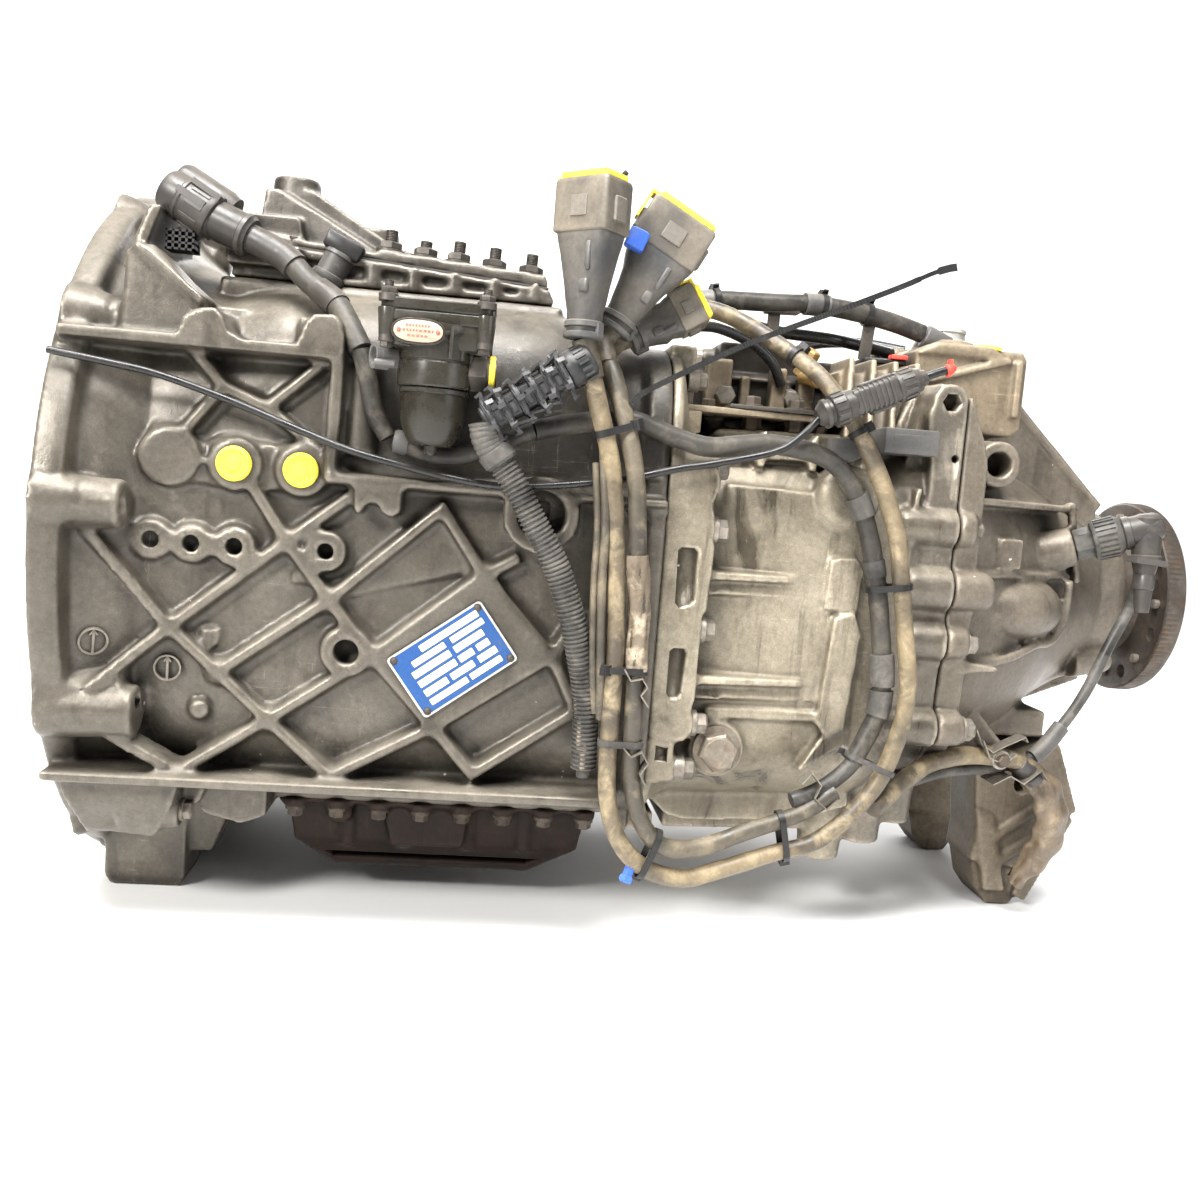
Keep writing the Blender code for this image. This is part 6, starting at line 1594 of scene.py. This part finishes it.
    # side wing of the lock, down the flank of the head
    w = s if s.x < 0 else -s
    lk.append(bar(tip + d * 1.4 + w * (h1 - 3), tip + d * 1.4 + w * (h1 + 3.4), f, k * 1.1, 2.4))
    lk.append(bar(tip + d * 2.4 + w * (h1 + 2.6), tip - d * (L * 0.20) + w * (h1 + 3.2), f, k * 1.0, 1.6))
    make(lock + "_shape", lk, M_YELLOW, body=lock, replaces=[lock], angle=30)

# black grip of the first connector and the blue insert between the two
grip = [lofted((352, -258, 258), (0.1, 0.5, 0.86), (1, 0, 0), [(0, 10, 3, 4), (8, 12, 4, 5), (16, 12, 4, 5), (18, 9, 3, 4)], 32),
        bar((344, -252, 272), (372, -250, 276), (0, 1, 0), 6, 4), bar((366, -250, 270), (376, -250, 280), (0, 1, 0), 6, 3.4)]
make("connector_grip", grip, M_BLACK, bevel=0.5)
make("blue_insert", [lofted((383, -258, 228), (0.35, 0, 0.94), (1, 0, 0), [(0, 6, 4, 5), (1, 7, 5, 5), (13, 7, 5, 5), (14, 5, 4, 5)], 32)],
     M_BLUE_BIT)
# short cable runs out of the connectors' lower ends, bent into the bundle
make("connector_tails",
     [sweep([(392, -214, 174), (380, -222, 166), (372, -238, 150), (378, -252, 130)], 6.0, 24, 3.0),
      sweep([(353, -272, 164), (356, -271, 156), (362, -270, 138)], 8.0, 24, 3.0),
      sweep([(376, -242, 176), (370, -243, 166), (372, -250, 150)], 8.0, 24, 3.0)],
     M_SHEATH2, angle=60)

# ------------------------------------------------------------------ splitter: clamp shells with star-shaped lugs
ang = math.radians(35)
D_H = Vector((math.cos(ang), 0, math.sin(ang)))
N_H = Vector((-math.sin(ang), 0, math.cos(ang)))
C_H = Vector((318, -272, 122))
hs = [lofted(C_H - D_H * 33, D_H, N_H, [(0, 8, 7.6, 2.4), (1, 9.6, 9.0, 2.4), (65, 9.6, 9.0, 2.4), (66, 8, 7.6, 2.4)], 48)]
rnd = random.Random(11)


def star(c, d, r, lugs, thick, seed):
    """Clamp ring with hooked lugs that stand out round it."""
    rr = random.Random(seed)
    d, u, v = frame_of(d)
    out = [turned(c - d * (thick / 2), d, [(0, r - 1.4), (0.6, r), (thick - 0.6, r), (thick, r - 1.4)], 36),
           washer(c - d * 0.8, d, r - 1, r + 2.4, 1.6, 36)]
    for j in range(lugs):
        t = 2 * math.pi * (j + rr.uniform(-0.12, 0.12)) / lugs
        q = u * math.cos(t) + v * math.sin(t)
        if q.y > 0.6:
            continue
        e = d.cross(q)
        h = rr.uniform(4.0, 6.4)
        tilt = rr.uniform(-2.6, 2.6)
        foot = c + q * (r - 0.8)
        top = c + q * (r + h) + d * tilt + e * rr.uniform(-1, 1)
        out.append(rings([[tuple(foot + e * (a * 3.4) + d * (b * thick * 0.36)) for a, b in ((-1, -1), (1, -1), (1, 1), (-1, 1))],
                          [tuple(top + e * (a * 1.5) + d * (b * 1.2)) for a, b in ((-1, -1), (1, -1), (1, 1), (-1, 1))]]))
        k = 1 if j % 2 else -1
        out.append(bar(top - d * (k * 1.0), top + d * (k * 4.2) - q * 1.2, e, 3.2, 1.3))
    return out


for k, (pos, r, n_lug) in enumerate(((-28, 11.8, 7), (-17, 13.6, 8), (-5, 11.6, 6), (7, 13.8, 8), (18, 11.8, 7), (29, 12.6, 7))):
    hs += star(C_H + D_H * pos, D_H, r, n_lug, 5.2, 20 + k)
# hinged shells, latches and stiffening webs between the rings
for k, (u, v, w) in enumerate(((-22, 11.5, 9), (-11, 12.5, 8), (1, 11.5, 9), (12.5, 12.5, 8), (24, 11.5, 8), (-11, -12.5, 9), (12.5, -12.5, 8), (1, -11.5, 9))):
    c = C_H + D_H * u + N_H * v
    sg = 1 if v > 0 else -1
    hs.append(bar(c - D_H * (w / 2), c + D_H * (w / 2), (0, 1, 0), 12, 1.8))
    hs.append(bar(c - D_H * (w / 2 - 1) + Vector((0, -6.5, 0)), c + D_H * (w / 2 + 1) + Vector((0, -7.5, 0)) + N_H * (2.4 * sg), (0, 1, 0), 2.6, 1.6))
for k, u in enumerate((-22.5, -11, 1, 12.5, 23.5)):
    c = C_H + D_H * u + Vector((0, -9.6, 0))
    hs.append(bar(c - N_H * 7.5, c + N_H * 7.5, D_H, 6.4, 1.8))
    hs.append(bar(c - N_H * 5 + Vector((0, -1.6, 0)), c + N_H * 1.5 + Vector((0, -1.6, 0)), D_H, 3.0, 1.4))
    hs.append(bar(c + N_H * 3 + Vector((0, -1.2, 0)), c + N_H * 6.5 + Vector((0, -3.4, 0)), D_H, 4.6, 1.2))
hs.append(turned(C_H + D_H * 31, D_H, [(0, 9), (1, 12.6), (3, 13.4), (8, 13.4), (9, 12.8), (17, 12.8), (19, 12.0), (20.5, 9.6), (21, 5)], 48))
for k in range(18):
    t = 2 * math.pi * k / 18
    q = frame_of(D_H)[1] * math.cos(t) + frame_of(D_H)[2] * math.sin(t)
    hs.append(bar(C_H + D_H * 40.5 + q * 12.6, C_H + D_H * 47.5 + q * 12.6, D_H.cross(q), 1.8, 1.8))
make("splitter_shell", hs, M_SPLIT, replaces=["harness_splitter"], angle=32)
make("splitter_outlets",
     [sweep([(291, -272, 103), (294, -271, 92), (301, -269, 81)], lambda x: 10.9 if (x % 3.2) < 1.9 else 10.4, 32, 0.53),
      sweep([(344, -270, 140), (352, -264, 149), (359, -258, 158)], lambda x: 8.6 if (x % 4.0) < 2.2 else 7.4, 32, 0.8),
      sweep([(340, -272, 134), (348, -272, 138), (353, -272, 146)], 7.4, 32, 2.0)], M_CONDUIT, angle=50)
make("conduit_collar", [lofted((298, -268.5, 86), (0.62, 0, -0.78), (0, 1, 0), [(0, 11, 11, 2.4), (2, 12.6, 12.6, 2.4), (10, 12.2, 12.2, 2.4), (12, 10.4, 10.4, 2.2)], 40)],
     M_CONDUIT)

# ------------------------------------------------------------------ elbow plug and cable of the shift actuator
e0, e1 = Vector((58, -190, 251)), Vector((92, -192, 232))
d = (e1 - e0).normalized()
act = [turned(e0 - d * 2, d, [(0, 10), (1, 13.2), (4, 15.2), (14, 15.6), (15, 16.6), (17, 16.6), (18, 15.8), (34, 16.6), (38, 17.4), (40, 16.6), (41, 15)], 48),
       turned((62, -178, 262), d, [(0, 8), (1, 11), (5, 13), (40, 13.5), (46, 12)], 40),
       turned((88, -191.5, 234), Vector((30, -4.5, -12)), [(0, 14), (1.4, 15.4), (5, 15.4), (6, 14.2), (26, 14.2), (27, 15.2), (30, 15.2), (31, 13.6), (33, 12.6)], 48),
       bar(e0 + d * 12 + Vector((0, -15, 4)), e0 + d * 34 + Vector((0, -15.5, 4)), (0, 0, 1), 5, 3),
       bar(e0 + d * 16 + Vector((6, -8, 13)), e0 + d * 38 + Vector((6, -8, 12)), (0, 1, 0), 9, 4),
       turned((70, -186, 228), (0.5, 0.2, -0.84), [(0, 10), (6, 11), (12, 11), (14, 9)], 32)]
for j in range(10):
    t = 2 * math.pi * j / 10
    _, u, v = frame_of(d)
    q = u * math.cos(t) + v * math.sin(t)
    act.append(bar(e0 + d * 19 + q * 16.0, e0 + d * 33 + q * 16.6, d.cross(q), 2.2, 1.4))
make("actuator_plug", act, M_GREY2, replaces=["actuator_cable"], angle=36)
RUN = [(112, -195, 224), (142, -202, 210), (163, -212, 192), (183, -225, 178), (195, -236, 161), (204, -242, 146),
       (210, -243, 126), (216, -242, 104), (226, -243, 88)]
make("actuator_cable_run", [sweep(RUN[:6], 8.2, 28, 3.0), sweep(RUN[5:], 6.6, 24, 3.0)], M_HOSE, angle=60)
make("actuator_cable_sleeve", [sweep(piece_of(RUN, (118, -197, 221), (150, -205, 203)), 10.0, 32, 2.0),
                               sweep(piece_of(RUN, (170, -217, 186), (186, -227, 175)), 9.2, 32, 2.0)],
     M_GREY2, angle=40)
grid = [box(60, 80, -189, -182, 208, 222)]
for k in range(5):
    grid.append(box(60 + 4.6 * k, 61.6 + 4.6 * k, -200, -186, 208, 222))
for k in range(4):
    grid.append(box(60, 80, -200, -186, 208 + 4.2 * k, 209.5 + 4.2 * k))
make("actuator_grid", grid, M_BLACK)
make("branch_clamp", [turned((230, -243, 86), (1, 0, -0.1), [(0, 7.4), (2, 8.4), (8, 8.4), (10, 7.4)], 32)], M_GREY)
make("hose_low", [sweep([(230, -243, 87), (262, -244, 78), (290, -246, 84), (326, -251, 101)], 6.2, 24, 3.0)], M_HOSE,
     angle=60)

# ------------------------------------------------------------------ speed sensor, elbow and lead
P_S = Vector((792.0, -127.0, 48.0)) + D_S * 0.6
sn = [turned(P_S, D_S, [(0, 12.4), (0.8, 13.2), (13, 13.2), (14, 12.4)], 6, 0.4),
      turned(P_S + D_S * 13.6, D_S, [(0, 12), (1, 15.4), (3, 16.4), (20, 16.6), (22, 15.6), (24.4, 13.6)], 56)]
_, u, v = frame_of(D_S)
for k in range(24):
    t = 2 * math.pi * k / 24
    q = u * math.cos(t) + v * math.sin(t)
    sn.append(bar(P_S + D_S * 17.5 + q * 16.6, P_S + D_S * 33 + q * 16.8, D_S.cross(q), 2.4, 2.0))
make("speed_sensor_shape", sn, M_CONDUIT, replaces=["output_speed_sensor"], angle=36)
Q = P_S + D_S * 38.4
down = Vector((1, -2, -42)).normalized()
R0 = Q + D_S * 19
el = [turned(Q, D_S, [(0, 13), (1, 14), (6, 14), (6.6, 13), (20, 12.6), (26, 12), (30, 10), (32, 7), (33, 3)], 40),
      turned(R0 + Vector((0, 0, 12)), down, [(0, 7), (1.4, 10), (4, 12), (34, 11.2), (35, 12.6), (40, 12.6), (41, 10.4), (50, 8.2),
                                             (51, 8.8), (62, 8.4), (63, 7.4), (78, 6.2), (82, 5.4)], 40),
      bar(R0 + Vector((-14, -8, -26)), R0 + Vector((12, -8, -28)), (0, 1, 0), 14, 5)]
SC = [tuple(Q + D_S * 19 + Vector((1, -2, -28))), (844, -136, 0), (828, -138, -34), (810, -142, -74),
      (790, -146, -104), (764, -152, -131), (725, -162, -139), (686, -172, -141), (651, -186, -147), (630, -197, -155)]
make("speed_sensor_elbow", el, M_GREY2, replaces=["sensor_cable"], angle=36)
make("speed_sensor_lead", [sweep(SC[1:], wavy(4.6, 0.05, 22, 6), 20, 4.0), sweep(SC[:2], 4.8, 20, 3.0)], M_CONDUIT,
     angle=70)
make("speed_sensor_sleeve", [sweep(piece_of(SC, (764, -152, -131), (790, -146, -104)), 7.0, 24, 3.0)], M_GREY)
# thicker run from the bundle to the torn boot beside the bracket
LOW = [(600, -236, -158), (630, -214, -142), (660, -190, -132), (690, -178, -127), (720, -172, -127), (744, -168, -131),
       (764, -160, -140)]
make("bracket_run", [sweep(LOW, wavy(7.4, 0.06, 19, 8), 24, 4.0)], M_SHEATH, angle=70)
make("bracket_plug", [turned((744, -166, -132), (0.8, 0.2, -0.55), [(0, 8), (1, 9.4), (14, 9.4), (15, 8), (18, 8), (19, 9), (26, 8.4)], 32)],
     M_GREY2)
# boot: crumpled tube that stands beside the bracket
pts = route([(766, -140, -146), (782, -142, -158), (793, -140, -178), (795, -136, -202), (786, -130, -228), (776, -124, -250)], 2.4)
loops = []
side = None
rnd = random.Random(9)
for i, p in enumerate(pts):
    f = i / len(pts)
    dd = (pts[min(i + 1, len(pts) - 1)] - pts[max(i - 1, 0)]).normalized()
    side = side or dd.orthogonal().normalized()
    side = (side - dd * side.dot(dd)).normalized()
    up = dd.cross(side)
    base = 10 + 6.5 * math.sin(math.pi * min(1, f * 1.1)) - 5 * max(0, f - 0.8) * 5
    loop = []
    for j in range(36):
        t = 2 * math.pi * j / 36
        r = base + 1.3 * math.sin(i * 0.62 + 2.2 * math.sin(t)) + 1.5 * math.sin(2 * t + i * 0.10) + 0.8 * math.sin(5 * t - i * 0.21)
        loop.append(tuple(p + side * math.cos(t) * r + up * math.sin(t) * r * 0.8))
    loops.append(loop)
make("bracket_boot", [rings(loops)], M_BOOT, angle=70)

# ------------------------------------------------------------------ air hoses on the roof
AIR = [(456, -120, 221), (480, -117, 224), (523, -115, 226), (553, -112, 228), (586, -110, 226), (620, -107, 221), (649, -105, 214)]
make("air_hose_upper", [sweep(AIR, wavy(7.6, 0.03, 33, 10), 28, 4.0)], M_HOSE, angle=70)
make("air_hose_ends", [turned((651, -104, 213), (0.9, 0, -0.35), [(0, 8.6), (1, 9.6), (22, 9.2), (24, 8), (27, 6)], 32),
                       sweep(piece_of(AIR, (545, -112, 228), (566, -111, 228)), 9.0, 28, 2.0),
                       turned((452, -121, 220), (0.98, 0.02, 0.12), [(0, 7), (1, 8.8), (14, 8.8), (15, 8)], 28)],
     M_GREY)
make("air_hose_second", [sweep([(446, -150, 196), (470, -138, 198), (500, -128, 190), (520, -122, 176), (530, -118, 160)], 4.2, 20, 3.0),
                         sweep([(432, -140, 214), (470, -128, 212), (520, -100, 206), (580, -92, 204), (636, -70, 200)], 5.0, 20, 4.0),
                         sweep([(560, 10, 192), (590, 30, 214), (640, 40, 222), (680, 20, 216)], 5.0, 20, 4.0)],
     M_LEAD, angle=70)
tt = []
for p in ((470, -118, 223), (560, -112, 228), (600, -109, 224)):
    a, d = at(AIR, p)
    tt += tie([a], [8.0], d, head=1.2, tail=5)
make("air_hose_ties", tt, M_TIE, angle=50)
make("air_hose_feet", [bar((520, -112, 192), (520, -112, 219), (1, 0, 0), 10, 3), bar((512, -112, 219), (540, -112, 220), (0, 1, 0), 12, 3),
                       bar((600, -108, 188), (602, -108, 216), (1, 0, 0), 10, 3), bar((660, -104, 204), (668, -104, 212), (1, 0, 0), 9, 3)],
     M_GUN, bevel=0.5)

# ================================================================== clutch side, seen through the bell
make("input_spline", [turned((12, 0, 0), (1, 0, 0), [(0, 11), (1.5, 13.6), (17, 14), (18, 14)], 48),
                      turned((70, 0, 0), (1, 0, 0), [(-0.5, 20), (1, 22), (120, 22)], 64)]
     + [rings([[(x, (20.0 if (i // 2) % 2 == 0 else 17.4) * sc * math.cos(2 * math.pi * (i + 0.5 * (i % 2)) / 80),
                 (20.0 if (i // 2) % 2 == 0 else 17.4) * sc * math.sin(2 * math.pi * (i + 0.5 * (i % 2)) / 80))
                for i in range(80)] for x, sc in ((29.5, 0.93), (31, 1.0), (70, 1.0))])],
     M_CLEAN, body="input_shaft", replaces=["input_shaft"], angle=25)
tube = []
n = 72
prof = [(22, 26), (22, 29), (23, 30), (108, 30), (111, 33), (112.4, 38), (112.4, 60), (113.4, 61.8), (121.6, 61.8), (121.6, 26)]
loops = []
for i in range(n):
    a = 2 * math.pi * i / n
    loops.append([(x, r * math.cos(a), r * math.sin(a)) for x, r in prof])
make("guide_tube_shape", [rings(loops, closed=True)], M_STEEL, replaces=["guide_tube"], angle=30)
bits = []
for k in range(6):
    a = math.radians(30 + 60 * k)
    bits += hexbolt((112.3, 50 * math.cos(a), 50 * math.sin(a)), (-1, 0, 0), 5.0, 5.2, 1.2, phase=random.random())
make("guide_tube_screws", bits, M_GUN)
prof = [(52, 31), (52, 42), (53, 44), (54.5, 49), (56, 56), (57.5, 60.5), (60, 62), (64, 62), (64.6, 60.6), (66, 60.6), (66.6, 62),
        (75, 62), (76, 61), (76, 52), (74.6, 50), (74.6, 40), (76, 38), (76, 31)]
loops = []
for i in range(n):
    a = 2 * math.pi * i / n
    loops.append([(x, r * math.cos(a), r * math.sin(a)) for x, r in prof])
make("release_bearing_shape", [rings(loops, closed=True)], M_CLEAN, body="release_bearing", replaces=["release_bearing"],
     angle=30)
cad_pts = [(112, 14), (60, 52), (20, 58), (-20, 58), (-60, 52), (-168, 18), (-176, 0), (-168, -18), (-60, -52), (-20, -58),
          (20, -58), (60, -52), (112, -14), (122, 0)]
fork = [slab_yz(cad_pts, 91, 97), bar((94, -166, 0), (94, -64, 0), (0, 0, 1), 16, 7.6),
        bar((94, 66, 0), (94, 118, 0), (0, 0, 1), 14, 7.6)]
for s in (-1, 1):
    fork += [bar((94, -166, s * 16), (94, -62, s * 49), (1, 0, 0), 8, 5), bar((94, -62, s * 49), (94, -20, s * 55), (1, 0, 0), 8, 5),
             bar((94, -20, s * 55), (94, 20, s * 55), (1, 0, 0), 8, 5), bar((94, 20, s * 55), (94, 62, s * 49), (1, 0, 0), 8, 5),
             bar((94, 62, s * 49), (94, 112, s * 14), (1, 0, 0), 8, 5)]
    fork.append(rings([[(x, y, z) for y, z in ((-5, s * 41.5), (5, s * 41.5), (5, s * 54.5), (-5, s * 54.5))] for x in (77.4, 94)]))
ob = cast("release_fork_shape", fork, M_DARK, "release_fork", 1.4, ["release_fork"],
          pockets=[cyl((80, 0, 0), (108, 0, 0), 37, 37, 64)], faces=30000)
bh = []
for k in range(12):
    t = math.radians(15 + 30 * k)
    c, s = math.cos(t), math.sin(t)
    bh.append(bar((119, 66 * c, 66 * s), (119, 186 * c, 168 * s), (0, -s, c), 7, 8))
for y in (-99, 99):
    bh.append(washer((124, y, 0), (-1, 0, 0), 26, 40, 9, 56))
    bh.append(turned((124, y, 0), (-1, 0, 0), [(0, 25), (5, 25), (6, 23), (6.4, 8), (8, 7)], 48))
bh.append(washer((124, 0, 0), (-1, 0, 0), 66, 78, 7, 72))
for k in range(10):
    t = math.radians(36 * k)
    bh.append(cyl((124, 150 * math.cos(t), 4 + 138 * math.sin(t)), (114, 150 * math.cos(t), 4 + 138 * math.sin(t)), 13, 11, 28))
make("bulkhead_ribs", bh, M_FRONT, angle=40)
bits = []
for k in range(10):
    t = math.radians(36 * k)
    bits += hexbolt((114, 150 * math.cos(t), 4 + 138 * math.sin(t)), (-1, 0, 0), 6.6, 6.6, 1.8, phase=random.random())
make("bulkhead_screws", bits, M_GUN)

for k, (p, nrm, r) in enumerate((((36, -246.4, -66), (0.42, -0.88, -0.20), 9.8), ((82, -231.2, -84), (0.06, -1, -0.05), 9.4))):
    nrm = Vector(nrm).normalized()
    p = Vector(p)
    _, u, v = frame_of(nrm)
    make("date_mark_%d" % (k + 1),
         [washer(p - nrm * 1.9, nrm, r - 1.3, r, 2.9, 48),
          bar(p - nrm * 0.4 - v * (r - 1), p - nrm * 0.4 + v * (r - 1), u, 1.6, 2.4),
          bar(p - nrm * 0.4 + v * (r - 2), p - nrm * 0.4 + v * (r - 5) + u * 2.4, u, 1.2, 2.4),
          bar(p - nrm * 0.4 + v * (r - 2), p - nrm * 0.4 + v * (r - 5) - u * 2.4, u, 1.2, 2.4)],
         M_FRONT, angle=30)

# ================================================================== output flange
n = 240
prof = [(878, 24.8), (878, 47), (879.5, 50), (898, 51), (902, 54), (905.4, 62), (906.2, 66), (906.2, 88), (907.4, 90), (921, 90),
        (924, 88.6), (924, 60), (922.6, 58), (922.6, 47), (918.6, 44), (918.2, 24.8)]
loops = []
for i in range(n):
    a = 2 * math.pi * i / n
    notch = 1.1 if i % 2 else 0.0
    loop = []
    for k, (x, r) in enumerate(prof):
        if k in (8, 9):
            r -= notch
        loop.append((x, r * math.cos(a), r * math.sin(a)))
    loops.append(loop)
fl = raw(rings(loops, closed=True))
subtract(fl, [merge([cyl((895, 75 * math.cos(math.radians(22.5 + 45 * k)), 75 * math.sin(math.radians(22.5 + 45 * k))),
                         (935, 75 * math.cos(math.radians(22.5 + 45 * k)), 75 * math.sin(math.radians(22.5 + 45 * k))),
                         6.5, 6.5, 28) for k in range(8)])])
fl.name = fl.data.name = "output_flange_shape"
fl.data.shade_smooth()
fl.data.set_sharp_from_angle(angle=math.radians(28))
fl.data.materials.clear()
fl.data.materials.append(M_FLANGE)
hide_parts("output_flange")
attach(fl, "output_shaft")
rt = [turned((914, 0, 0), (1, 0, 0), [(0, 24), (4.4, 24), (4.8, 38), (7.4, 39), (8.4, 38), (8.8, 12), (8.2, 10), (8.2, 0.5)], 64)]
for k in range(2):
    rt += hexbolt((921.6, 20 * math.cos(math.pi * k + 0.5), 20 * math.sin(math.pi * k + 0.5)), (1, 0, 0), 8.0, 7.5, 2.0, phase=0.2)
for k in range(8):
    a = math.radians(45 * k)
    rt.append(turned((904, 75 * math.cos(a), 75 * math.sin(a)), (-1, 0, 0), [(-2, 4.0), (0.4, 4.2), (2.6, 4.0), (3.0, 3.2)], 20))
make("output_retainer", rt, M_STEEL, body="output_shaft", angle=30)
make("output_seal", [washer((867, 0, 0), (1, 0, 0), 52, 66, 8.6, 64), washer((874, 0, 0), (1, 0, 0), 50.5, 58, 3.2, 64)], M_RUBBER)

# ================================================================== hidden running gear keeps its CAD shape
def dress(mat, *starts):
    for n in names(*starts):
        ob = NODES[n]
        ob.data.materials.clear()
        ob.data.materials.append(mat)


dress(M_GEAR, "splitter_gear", "second_gear", "first_gear", "reverse_gear", "countershaft", "reverse_idler",
      "planet_gear", "ring_gear", "main_shaft", "output_shaft", "output_bearing")
dress(M_BRONZE, "splitter_sleeve", "shift_sleeve", "range_sleeve")
dress(M_BROWN, "splitter_fork", "shift_fork", "range_fork")
for node, mat in (("front_housing", M_FRONT), ("rear_housing", M_REAR), ("range_housing", M_RANGE),
                  ("rear_bracket", M_BRACKET), ("oil_pan", M_PAN), ("range_cylinder", M_BROWN),
                  ("valve_block", M_DARK), ("shift_actuator_housing", M_DARK), ("shift_actuator_cover", M_DARK),
                  ("pressure_regulator", M_REG), ("regulator_bowl", M_REG), ("connector_large", M_GREY),
                  ("connector_small", M_GREY), ("connector_lock", M_YELLOW), ("harness_splitter", M_SPLIT),
                  ("harness_cable", M_SHEATH), ("branch_hose", M_HOSE), ("corrugated_conduit", M_CONDUIT),
                  ("sensor_lead", M_LEAD), ("output_speed_sensor", M_CONDUIT), ("sensor_cable", M_GREY2),
                  ("actuator_cable", M_GREY2), ("sealing_cap", M_YELLOW), ("nameplate", M_PLATE_METAL),
                  ("oil_level_plug", M_PLUG), ("input_shaft", M_CLEAN), ("guide_tube", M_STEEL),
                  ("release_bearing", M_CLEAN), ("release_fork", M_DARK), ("output_flange", M_FLANGE)):
    dress(mat, node)

# ================================================================== floor, light, camera
fm = Nodes("floor")
base = fm.mix(fm.ramp(fm.noise(1.6, 4.0, 0.6), [(0.3, 0.0), (0.7, 1.0)]), (0.80, 0.795, 0.785), (0.86, 0.86, 0.855))
fm.bump([(fm.noise(60.0, 4.0, 0.6), 0.04, 0.5)])
M_FLOOR = fm.done(base, 0.62, 0.0)
prof = [(-4.5, 0.0), (3.2, 0.0)]
for k in range(1, 13):
    a = math.radians(90 * k / 12)
    prof.append((3.2 + 1.4 * math.sin(a), 1.4 - 1.4 * math.cos(a)))
prof.append((4.6, 6.0))
verts = [(x, y, z) for y, z in prof for x in (-9.0, 9.0)]
faces = [(2 * k, 2 * k + 1, 2 * k + 3, 2 * k + 2) for k in range(len(prof) - 1)]
mesh = bpy.data.meshes.new("floor")
mesh.from_pydata(verts, [], faces)
floor = bpy.data.objects.new("floor", mesh)
bpy.context.scene.collection.objects.link(floor)
mesh.materials.append(M_FLOOR)
mesh.shade_smooth()

world = bpy.data.worlds.new("soft_room")
bpy.context.scene.world = world
world.use_nodes = True
bg = world.node_tree.nodes["Background"]
bg.inputs["Color"].default_value = (0.96, 0.975, 1.0, 1.0)
bg.inputs["Strength"].default_value = 0.22


def area(name, loc, at_point, size, power, colour=(1, 1, 1)):
    light = bpy.data.lights.new(name, "AREA")
    light.shape = "RECTANGLE"
    light.size, light.size_y = size
    light.energy = power
    light.color = colour
    ob = bpy.data.objects.new(name, light)
    bpy.context.scene.collection.objects.link(ob)
    ob.location = loc
    ob.rotation_euler = (Vector(at_point) - Vector(loc)).to_track_quat("-Z", "Y").to_euler()


area("top_soft", (-0.3, -0.9, 2.0), (0, -0.05, 0.25), (1.5, 0.7), 138)
area("key_left", (-1.7, -2.1, 1.6), (0, 0, 0.3), (0.5, 0.5), 122, (1.0, 0.985, 0.955))
area("fill_right", (2.2, -1.7, 1.0), (0.1, 0, 0.25), (1.2, 1.2), 18, (0.97, 0.985, 1.0))
area("rim_back", (0.6, 2.2, 2.0), (0, 0, 0.4), (2.2, 1.0), 45)
area("backdrop_wash", (0, 1.6, 3.4), (0, 4.2, 1.4), (6.0, 1.2), 260)

cam = bpy.data.cameras.new("camera")
cam.sensor_width = 36.0
cam.sensor_fit = "HORIZONTAL"
cam.lens = 34.5
cam.clip_start = 0.05
cam_ob = bpy.data.objects.new("camera", cam)
bpy.context.scene.collection.objects.link(cam_ob)
ya, pi, ro = math.radians(6.126), math.radians(-5.673), math.radians(4.544)
Fv = Vector((math.sin(ya) * math.cos(pi), math.cos(ya) * math.cos(pi), math.sin(pi)))
right = Vector((math.cos(ya), -math.sin(ya), 0.0))
upv = right.cross(Fv)
Rv = right * math.cos(ro) + upv * math.sin(ro)
Uv = upv * math.cos(ro) - right * math.sin(ro)
loc = W((294.352, -1055.109, 66.877))
m = Matrix.Identity(4)
for k in range(3):
    m[k][0], m[k][1], m[k][2], m[k][3] = Rv[k], Uv[k], -Fv[k], loc[k]
cam_ob.matrix_world = m
bpy.context.scene.camera = cam_ob
bpy.context.scene.view_settings.view_transform = "Standard"
bpy.context.scene.view_settings.look = "None"
